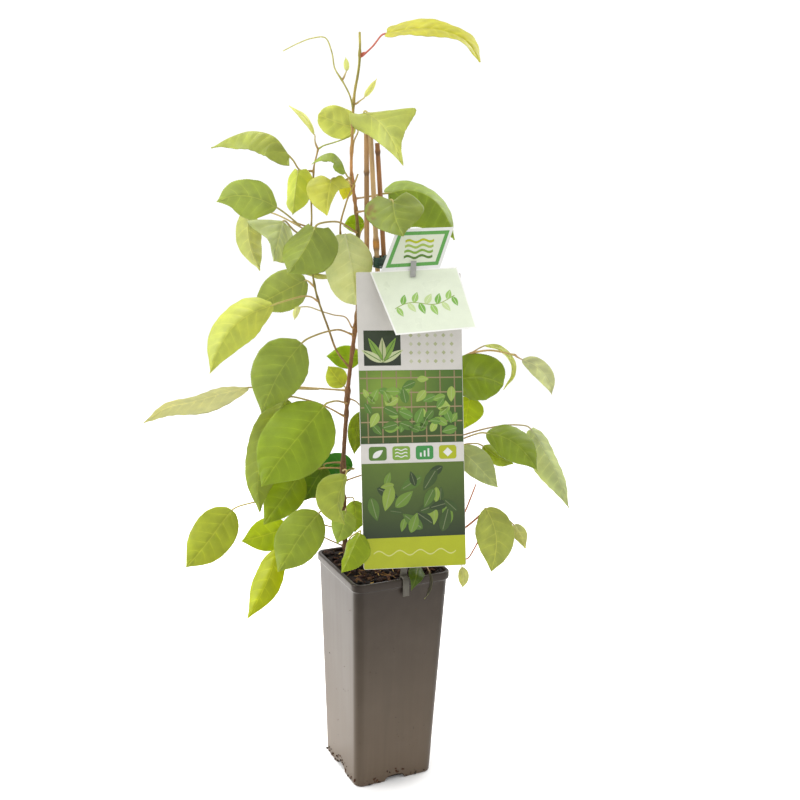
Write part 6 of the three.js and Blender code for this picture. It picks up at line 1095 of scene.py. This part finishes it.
for i in range(46):
    x, y = g2.uniform(-half + 6, half - 6, 2)
    a, ln = g2.uniform(0, 6.3), g2.uniform(6, 16)
    w = np.linspace(-.5, .5, 12)
    px = np.clip(x + w * ln * math.cos(a) - 1.5 * (w ** 2) * math.sin(a) * 4, -half + .6, half - .6)
    py = np.clip(y + w * ln * math.sin(a) + 1.5 * (w ** 2) * math.cos(a) * 4, -half + .6, half - .6)
    pz = np.array([soil_height(p, q) for p, q in zip(px, py)]).max() * .35 + np.array([soil_height(p, q) for p, q in zip(px, py)]) * .65 + .9
    Vt, Ft = tube(np.stack([px, py, pz], 1), np.interp(w, [-.5, 0, .5], [.25, g2.uniform(.4, .75), .2]), 6)
    bl.add(Vt, Ft, lin(STRAW[g2.integers(4)]) * g2.uniform(.22, .7), 0)
bl.make("potting_soil_mix", [SOIL], "potting_soil", "soil")

# crumbs of damp soil stuck to the foot and the left wall
bl = Build()
g3 = np.random.default_rng(77)
for i in range(150):
    side = g3.choice(4, p=[.42, .30, .14, .14])
    s = g3.uniform(-34, 34)
    z = abs(g3.normal(0, 3.2)) + .5 if i < 120 else g3.uniform(6, 180)
    if abs(s) < NOTCH_WIDTH / 2 + 1 and z < NOTCH_HEIGHT + 1:
        z += NOTCH_HEIGHT + .8
    wall = body_at(min(z, rim_foot - 2)) / 2 - .55 * math.sin(math.pi * z / 190) * math.cos(math.pi * s / 90) ** 2 * min(1, z / 40)
    p = {0: (-wall, s), 1: (s, -wall), 2: (wall, s), 3: (s, wall)}[int(side)]
    k = g3.uniform(.45, 1.9) if i < 120 else g3.uniform(.3, .8)
    P, Fp = pebble(g3, (k, k * g3.uniform(.5, 1.1), k * g3.uniform(.6, 1.6)), (p[0], p[1], max(z, k)), g3.uniform(0, 6, 3), .4)
    bl.add(P, Fp, lin(CHIP[g3.integers(4)]) * g3.uniform(.25, .6), 0)
bl.make("soil_crumbs", [SOIL], None, "soil")

# ------------------------------------------------------------------------------------------------ label
CARD, FLAP, HEADER = [np.array(x, float) for x in (CARD, FLAP, HEADER)]


class Sheet:
    """a flat card with its own axes: u to the right, v up, h out of the printed side. plates are thin printed layers.
    Its gain scales every colour on the sheet, partly the print's own brightness and partly painted light: the label
    card, in shade under the flap, gets 0.69, the header 0.79, and the flap, facing up to the light, 0.89
    """

    def __init__(self, origin, right, up, face, painted_light_gain):
        self.o, self.u = np.array(origin, float), unit(right)
        self.n = unit(face)
        self.v = unit(np.array(up, float) - self.u * np.dot(up, self.u))
        self.bl, self.painted_light_gain = Build(), painted_light_gain

    def at(self, p, h):
        p = np.asarray(p, float)
        return self.o + p[:, :1] * self.u + p[:, 1:2] * self.v + np.asarray(h).reshape(-1, 1) * self.n

    def plate(self, poly, h0, h1, colour, rim=None):
        poly = np.asarray(poly, float)
        x, y = poly[:, 0], poly[:, 1]
        if (x * np.roll(y, -1) - np.roll(x, -1) * y).sum() < 0:
            poly = poly[::-1]
        m = len(poly)
        V = np.vstack([self.at(poly, np.full(m, h0)), self.at(poly, np.full(m, h1))])
        flip = np.dot(np.cross(self.u, self.v), self.n) < 0
        F = [tuple(range(m - 1, -1, -1)), tuple(range(m, 2 * m))] + [(j, (j + 1) % m, m + (j + 1) % m, m + j) for j in range(m)]
        if flip:
            F = [f[::-1] for f in F]
        c = np.asarray(colour, float) * self.painted_light_gain
        col = c if c.ndim == 2 else np.tile(c, (m, 1))
        self.bl.add(V, F, np.vstack([col if rim is None else np.tile(rim, (m, 1)), col]), 0)

    def field(self, u0, v0, u1, v1, h0, h1, colour, nu=10, nv=12):
        """a rectangle as a grid, with a colour that may change over it: colour(x, y) for x, y from 0 to 1"""
        a, b = np.meshgrid(np.linspace(0, 1, nu + 1), np.linspace(0, 1, nv + 1), indexing="ij")
        p = np.stack([u0 + (u1 - u0) * a.ravel(), v0 + (v1 - v0) * b.ravel()], 1)
        c = np.array([colour(x, y) for x, y in zip(a.ravel(), b.ravel())]) * self.painted_light_gain
        n = len(p)
        V = np.vstack([self.at(p, np.full(n, h1)), self.at(p, np.full(n, h0))])
        idx = np.arange(n).reshape(nu + 1, nv + 1)
        Q = np.stack([idx[:-1, :-1], idx[1:, :-1], idx[1:, 1:], idx[:-1, 1:]], -1).reshape(-1, 4).tolist()
        F = [tuple(q) for q in Q] + [tuple(i + n for i in q[::-1]) for q in Q]
        rim = np.r_[idx[:, 0], idx[-1, 1:], idx[-2::-1, -1], idx[0, -2:0:-1]]
        F += [(rim[(j + 1) % len(rim)], rim[j], rim[j] + n, rim[(j + 1) % len(rim)] + n) for j in range(len(rim))]
        if np.dot(np.cross(self.u, self.v), self.n) < 0:
            F = [f[::-1] for f in F]
        self.bl.add(V, F, np.vstack([c, c]), 0)


def rounded(u0, v0, u1, v1, r, n=6):
    out = []
    for cx, cy, st in ((u1 - r, v0 + r, -90), (u1 - r, v1 - r, 0), (u0 + r, v1 - r, 90), (u0 + r, v0 + r, 180)):
        for k in range(n + 1):
            a = math.radians(st + 90 * k / n)
            out.append((cx + r * math.cos(a), cy + r * math.sin(a)))
    return np.array(out)


def disc(u, v, r, n=40):
    a = np.linspace(0, 2 * np.pi, n, endpoint=False)
    return np.stack([u + r * np.cos(a), v + r * np.sin(a)], 1)


def sprig_leaf(u, v, ln, w, deg, n=18):
    """a pointed leaf outline from (u, v) along deg"""
    t = np.linspace(0, 1, n)
    y = w / 2 * np.sin(np.pi * t ** .8) ** .9
    p = np.vstack([np.stack([t * ln, y], 1), np.stack([t[-2:0:-1] * ln, -y[-2:0:-1]], 1)])
    a = math.radians(deg)
    return p @ np.array([[math.cos(a), math.sin(a)], [-math.sin(a), math.cos(a)]]) + np.array([u, v])


def line(u0, v0, u1, v1, w):
    d = np.array([u1 - u0, v1 - v0], float)
    k = np.array([-d[1], d[0]]) / np.hypot(*d) * w / 2
    a, b = np.array([u0, v0]), np.array([u1, v1])
    return np.array([a - k, b - k, b + k, a + k])


PAPER = lin((228, 224, 217))
DARK, MIDG, LEAFG, LIME, PALE = lin((38, 58, 24)), lin((88, 128, 40)), lin((132, 170, 62)), lin((182, 190, 12)), lin((206, 214, 164))
WHITE = lin((240, 240, 236))
BADGE = lin((62, 150, 72))

# painted shade: the gain of 0.69 darkens the whole card for the shade it sits in under the flap
card = Sheet(CARD[0], CARD[1] - CARD[0], CARD[3] - CARD[0], CARD_FACE, 0.69)
card.v = unit((CARD[3] - CARD[0]) + (CARD[2] - CARD[1]))
CW = float(np.linalg.norm(CARD[1] - CARD[0]))
CH = float(np.linalg.norm(CARD[3] - CARD[0]))
card.plate(rounded(0, 0, CW, CH, 1.6), -.7, 0., PAPER, WHITE)
e = .35


def ribbon(u0, u1, v, amp, turns, w, n=60, lean=0.):
    """a wavy band"""
    u = np.linspace(u0, u1, n)
    c = v + amp * np.sin((u - u0) / (u1 - u0) * 6.2832 * turns) + lean * (u - u0)
    return np.vstack([np.stack([u, c - w / 2], 1), np.stack([u[::-1], c[::-1] + w / 2], 1)])


def leaf_mark(sheet, u, v, ln, w, deg, h, colour, vein=None):
    sheet.plate(sprig_leaf(u, v, ln, w, deg), h, h + .025, colour)
    if vein is not None:
        a = math.radians(deg)
        sheet.plate(line(u + .08 * ln * math.cos(a), v + .08 * ln * math.sin(a), u + .88 * ln * math.cos(a), v + .88 * ln * math.sin(a), .035 * ln), h + .025, h + .037, vein)


rg = np.random.default_rng(3)
# lime band at the foot with a pale wave on it
card.plate(rounded(e, e, CW - e, 27, 1.3), 0, .05, LIME)
card.plate(ribbon(9, CW - 9, 13.5, 2.2, 4, 1.1), .05, .08, lin((216, 220, 128)))
# lower panel: deep green, with large leaves tone on tone
card.field(e, 27, CW - e, 92, 0, .05, lambda x, y: (lin((34, 52, 16)) * (1 - y) + lin((98, 124, 36)) * y) * (1 - .25 * abs(x - .4)), 16, 14)
k = 0
while k < 26:
    ln, a = rg.uniform(12, 24), rg.uniform(0, 360)
    du, dv = ln / 2 * math.cos(math.radians(a)), ln / 2 * math.sin(math.radians(a))
    u, v = rg.uniform(6, CW - 6), rg.uniform(33, 86)
    if min(u - abs(du), CW - u - abs(du)) > 4 and min(v - abs(dv) - 29, 90 - v - abs(dv)) > 1.5:
        c = (lin((58, 84, 24)), lin((84, 118, 34)), lin((112, 146, 46)), lin((44, 66, 20)), lin((140, 166, 60)))[k % 5]
        leaf_mark(card, u - du, v - dv, ln, ln * .46, a, .05 + .0125 * k, c, c * .6 + PALE * .25)
        k += 1
# a row of four small tiles between the panels
for k in range(4):
    u0 = 7 + k * 20.6
    card.plate(rounded(u0, 94.5, u0 + 15.6, 106.5, 2.4), 0, .05, (MIDG, LEAFG, BADGE, LIME)[k])
    if k == 0:
        leaf_mark(card, u0 + 3.4, 97, 11, 5, 36, .05, WHITE)
    if k == 1:
        for q in range(3):
            card.plate(ribbon(u0 + 2.4, u0 + 13.2, 97.6 + q * 2.9, .6, 1.5, .9, 24), .05, .08, WHITE)
    if k == 2:
        for q in range(3):
            card.plate(line(u0 + 4.4 + q * 3.4, 97, u0 + 4.4 + q * 3.4, 100.5 + q * 1.8, 1.5), .05, .08, WHITE)
    if k == 3:
        card.plate(np.array([(u0 + 7.8, 96.6), (u0 + 12, 100.5), (u0 + 7.8, 104.4), (u0 + 3.6, 100.5)]), .05, .08, WHITE)
# middle panel: a trellis with climbing leaves over the full width
card.field(e, 109, CW - e, 172, 0, .05, lambda x, y: lin((70, 104, 24)) * (.55 + .6 * y) + lin((176, 196, 70)) * .42 * math.exp(-((x - .3) / .35) ** 2 - ((y - .75) / .35) ** 2), 16, 12)
for k in range(7):
    card.plate(line(7 + k * 12.8, 109.6, 7 + k * 12.8, 171.4, 1.1), .05, .075, lin((150, 132, 92)))
for k in range(5):
    card.plate(line(1, 115 + k * 12.6, CW - 1, 115 + k * 12.6, 1.1), .075, .10, lin((164, 146, 104)))
for k in range(52):
    u, v, a = rg.uniform(6, CW - 6), rg.uniform(114, 166), rg.uniform(0, 360)
    ln = rg.uniform(8, 15)
    ex, ey = u + ln * math.cos(math.radians(a)), v + ln * math.sin(math.radians(a))
    if 3 < ex < CW - 3 and 112 < ey < 169:
        c = (LEAFG, MIDG, lin((164, 190, 84)), lin((104, 148, 52)))[k % 4]
        leaf_mark(card, u, v, ln, ln * .55, a, .10 + .012 * (k % 6), c, c * .6 + PALE * .4)
# upper field: a dark tile with a fan of pale leaves on the left, a lattice of small diamonds on the right
card.field(5, 176, 37, 206, 0, .05, lambda x, y: lin((36, 50, 22)) * (.7 + .6 * y), 8, 8)
for k, a in enumerate((30, 60, 90, 120, 150)):
    leaf_mark(card, 21, 179, 21 if k % 2 == 0 else 24, 6.4, a, .05 + .012 * k, (PALE, LEAFG, lin((196, 200, 150)), LEAFG, PALE)[k], MIDG)
for k in range(6):
    for q in range(4):
        u, v, r = 46 + k * 7.2, 179.5 + q * 7.4, 1.9
        card.plate(np.array([(u, v - r), (u + r, v), (u, v + r), (u - r, v)]), 0, .04, lin((186, 192, 146)) if (k + q) % 2 else lin((206, 208, 176)))
card.bl.make("label_card_print", [PRINT], "label_card", "label_print", smooth=False)

# the small folded card: an upright header and a flap that falls forward
head_up = HEADER[3] - HEADER[0]
# painted light: the header's gain of 0.79 and the flap's 0.89 make the upward-facing flap brighter than the header
hd = Sheet(HEADER[0], HEADER[1] - HEADER[0], head_up, CARD_FACE, 0.79)
to2 = lambda s, P: np.stack([(P - s.o) @ s.u, (P - s.o) @ s.v], 1)


def inset(poly, d):
    """a convex polygon moved inwards by d"""
    poly = np.asarray(poly, float)
    c = poly.mean(0)
    m = len(poly)
    lines = []
    for i in range(m):
        a, b = poly[i], poly[(i + 1) % m]
        n = np.array([-(b - a)[1], (b - a)[0]]) / np.linalg.norm(b - a)
        if np.dot(c - a, n) < 0:
            n = -n
        lines.append((n, np.dot(n, a) + d))
    out = []
    for i in range(m):
        (n1, d1), (n2, d2) = lines[i - 1], lines[i]
        out.append(np.linalg.solve(np.array([n1, n2]), np.array([d1, d2])))
    return np.array(out)


hp = to2(hd, HEADER)
hd.plate(hp, -.5, 0, WHITE)
hd.plate(inset(hp, 2.6), 0, .05, lin((96, 166, 76)))
hd.plate(inset(hp, 5.6), .05, .09, lin((226, 232, 210)))
c = hp.mean(0)
for k in range(4):
    hd.plate(ribbon(c[0] - 13 + k * .8, c[0] + 12 + k * .8, c[1] - 6.6 + k * 4.4, 1.0, 2, 2.1, 40), .09, .12, (MIDG, LEAFG, lin((164, 190, 84)), LIME)[k])
flap_n = np.cross(FLAP[1] - FLAP[0], FLAP[3] - FLAP[0])
flap_n = unit(flap_n if flap_n @ np.array(CARD_FACE) > 0 else -flap_n)
fl = Sheet(FLAP[3], FLAP[2] - FLAP[3], FLAP[0] - FLAP[3], flap_n, 0.89)
fl.bl = hd.bl
fp = to2(fl, FLAP)
fl.plate(fp, -.5, 0, WHITE)
lo2, hi2 = fp.min(0), fp.max(0)
fl.plate(inset(fp, 1.2), 0, .05, lin((222, 230, 208)))
# a climbing sprig in pale greens across the flap
cx, cy = fp.mean(0)
fl.plate(ribbon(cx - 27, cx + 26, cy - 6, 3.0, 1.1, .8, 60, .12), .05, .075, lin((150, 168, 92)))
for k in range(11):
    u = cx - 25 + k * 4.9
    v = cy - 6 + 3.0 * math.sin((u - cx + 27) / 53 * 6.2832 * 1.1) + .12 * (u - cx + 27)
    ln = 11.5 - .35 * abs(k - 5)
    leaf_mark(fl, u, v, ln, ln * .5, (62 if k % 2 else -68) + 9 * math.sin(k), .075 + .012 * (k % 3), (lin((150, 190, 96)), lin((120, 172, 70)), lin((192, 212, 150)))[k % 3], lin((214, 226, 184)))
hd.bl.make("swing_card_print", [SWING], "swing_card", "swing_print", smooth=False)

# clip and stake, ribbed grey strips
def strip_mesh(bl, centres, us, ns, widths, thick, colour):
    """a strip with rounded long edges: centre points, across vectors, face normals, widths"""
    prof = [(-.5, -.28), (-.46, -.5), (-.3, -.5), (-.22, -.36), (.22, -.36), (.3, -.5), (.46, -.5), (.5, -.28), (.5, .28), (.46, .5), (.3, .5), (.22, .36), (-.22, .36), (-.3, .5), (-.46, .5), (-.5, .28)]
    m = len(prof)
    V = np.vstack([[c + u * (w * a) + n * (thick * b) for a, b in prof] for c, u, n, w in zip(centres, us, ns, widths)])
    F = rings_to_faces(len(centres), m)
    F += [tuple(range(m - 1, -1, -1)), tuple((len(centres) - 1) * m + j for j in range(m))]
    a, b, c = V[0], V[1], V[m]
    vol = sum(np.dot(V[f[0]], np.cross(V[f[1]], V[f[2]])) + (np.dot(V[f[0]], np.cross(V[f[2]], V[f[3]])) if len(f) == 4 else 0) for f in F)
    if vol < 0:
        F = [f[::-1] for f in F]
    bl.add(V, F, colour, 0)


GREYC = lin((150, 150, 146))
STAKEC = lin((84, 80, 70))
n_card = np.array(CARD_FACE)
K = np.array(CLIP, float)
bl = Build()
w = np.linspace(0, 1, 15)
cen = np.array([(1 - a) ** 2 * K[0] + 2 * a * (1 - a) * K[1] + a * a * K[2] for a in w])
nor = unit(np.array([n_card * (1 - a) + flap_n * a for a in w]))
strip_mesh(bl, cen, np.tile(card.u, (15, 1)), nor, np.full(15, 4.8), 1.0, GREYC)
bl.make("label_clip_strip", [GREY], "label_clip", "stake_grey", sharp=40)

SW, ST, DEEP, HOOK = 6.4, 1.5, 44., 15.
S0, S1 = np.array(STAKE, float)
x0, y0 = S0[0], -in_top / 2 + .3 + .25 + ST / 2
slope = (in_top - (BASE_WIDTH - 2 * WALL)) / 2 / POT_HEIGHT
ux, nx = np.array([1., 0, 0]), np.array([0, -1., 0])
lean = unit(S1 - S0)
cs = [((x0, y0 + slope * DEEP + .4, POT_HEIGHT - DEEP), ux, nx, SW * .55), ((x0, y0 + slope * (DEEP - 8) + .4, POT_HEIGHT - DEEP + 8), ux, nx, SW), ((x0, y0 + .2, POT_HEIGHT - 1), ux, nx, SW), ((x0, y0, POT_HEIGHT + 3.5), ux, nx, SW)]
for a in np.linspace(0, 1, 24):
    p = S0 + lean * 6 + (S1 - S0 - lean * 6) * a
    cs.append((p, card.u, n_card, SW))
bl = Build()
strip_mesh(bl, [np.array(c[0], float) for c in cs], [c[1] for c in cs], [c[2] for c in cs], [c[3] for c in cs], ST, STAKEC)
outy = -RIM_WIDTH / 2 - .5
hook = [(y0 + .4, POT_HEIGHT + 1.3), (y0 - 2, POT_HEIGHT + 1.35), (outy + 1.6, POT_HEIGHT + 1.35), (outy - .1, POT_HEIGHT + 1.0), (outy - .75, POT_HEIGHT - .6), (outy - .8, POT_HEIGHT - 4), (outy - .95, POT_HEIGHT - 9), (outy - 1.05, POT_HEIGHT - HOOK)]
hp3 = np.array([(x0, y, z) for y, z in hook])
tang = unit(np.gradient(hp3, axis=0))
nor = unit(np.cross(ux, tang))
strip_mesh(bl, hp3, np.tile(ux, (len(hook), 1)), nor, np.full(len(hook), SW - .4), 1.35, STAKEC)
bl.make("label_stake_strip", [GREY], "label_stake", "stake_grey", sharp=40)

# ------------------------------------------------------------------------------------------------ studio
k = Nodes("studio_floor")
k.end(k.mix(k.span(k.noise(3., 3.), .3, .7, 0., 1.), (.965, .965, .96), (.98, .98, .978)), .75, None, .2)
me = bpy.data.meshes.new("studio_floor")
YAW = 0.440218
cy, sy = math.cos(YAW), math.sin(YAW)
to_part = lambda p: Vector((cy * p[0] + sy * p[1], -sy * p[0] + cy * p[1], p[2]))
# seen from above it is square to the view; far behind the object it turns up into a plain backdrop
run = [(y, -.0002) for y in np.linspace(-4, 4, 17)] + [(4 + math.sin(a), 1 - math.cos(a)) for a in np.linspace(.1, math.pi / 2, 12)] + [(5., 1.5), (5., 2.4)]
across = np.linspace(-5, 5, 21)
nf, nr = len(across), len(run)
me.from_pydata([tuple(to_part((x, y, z))) for y, z in run for x in across], [], [(i * nf + j, i * nf + j + 1, (i + 1) * nf + j + 1, (i + 1) * nf + j) for i in range(nr - 1) for j in range(nf - 1)])
me.materials.append(k.mat)
floor = bpy.data.objects.new("studio_floor", me)
bpy.context.scene.collection.objects.link(floor)

world = bpy.data.worlds.new("studio")
bpy.context.scene.world = world
world.use_nodes = True
bg = next(n for n in world.node_tree.nodes if n.type == "BACKGROUND")
bg.inputs["Color"].default_value = (1, 1, 1, 1)
bg.inputs["Strength"].default_value = 1.12


def area(name, pos, target, size, watts, colour=(1, 1, 1), spread=180.):
    """a soft box, gridded if spread is less than 180 degrees, placed in the view's own axes: x right, y away, z up, metres"""
    li = bpy.data.lights.new(name, "AREA")
    li.shape, li.size, li.energy, li.color, li.spread = "SQUARE", size, watts, colour, math.radians(spread)
    o = bpy.data.objects.new(name, li)
    p, t = to_part(pos), to_part(target)
    o.location = p
    o.rotation_mode = "QUATERNION"
    o.rotation_quaternion = (t - p).to_track_quat("-Z", "Y")
    bpy.context.scene.collection.objects.link(o)


area("key_left", (-1.5, -.25, 1.05), (0, 0, .35), 1.0, 3.8, (1, 1, 1), 70.)
area("top_back_left", (-.5, .5, 1.35), (-.45, .45, 0), .75, 7.4, (1, .96, .91), 80.)
area("back_right", (1.0, 1.1, 1.2), (0, 0, .4), 1.0, 2.6, (1, 1, 1), 70.)

# camera: distance, height, pitch, pan and roll of the picture, in the view's axes, then turned into the part's frame
D, H, PITCH, PAN, ROLL, FOCAL = 951.63, 580.24, 0.237377, 0.012713, 0.026679, 1120.0
ct, st, cp, sp, cr, sr = math.cos(PITCH), math.sin(PITCH), math.cos(PAN), math.sin(PAN), math.cos(ROLL), math.sin(ROLL)
fwd, up0, right0 = Vector((ct * sp, ct * cp, -st)), Vector((st * sp, st * cp, ct)), Vector((cp, -sp, 0))
right, up = cr * right0 + sr * up0, cr * up0 - sr * right0
R3, U3, B3 = to_part(right), to_part(up), to_part(-fwd)
cam = bpy.data.objects.new("camera", bpy.data.cameras.new("camera"))
cam.data.sensor_width, cam.data.lens = 36., FOCAL / 800. * 36.
cam.data.clip_start, cam.data.clip_end = .01, 50.
loc = to_part((0, -D * MM, H * MM))
cam.matrix_world = Matrix(((R3.x, U3.x, B3.x, loc.x), (R3.y, U3.y, B3.y, loc.y), (R3.z, U3.z, B3.z, loc.z), (0, 0, 0, 1)))
bpy.context.scene.collection.objects.link(cam)
bpy.context.scene.camera = cam
bpy.context.scene.view_settings.view_transform = "Standard"
bpy.context.scene.view_settings.look = "None"
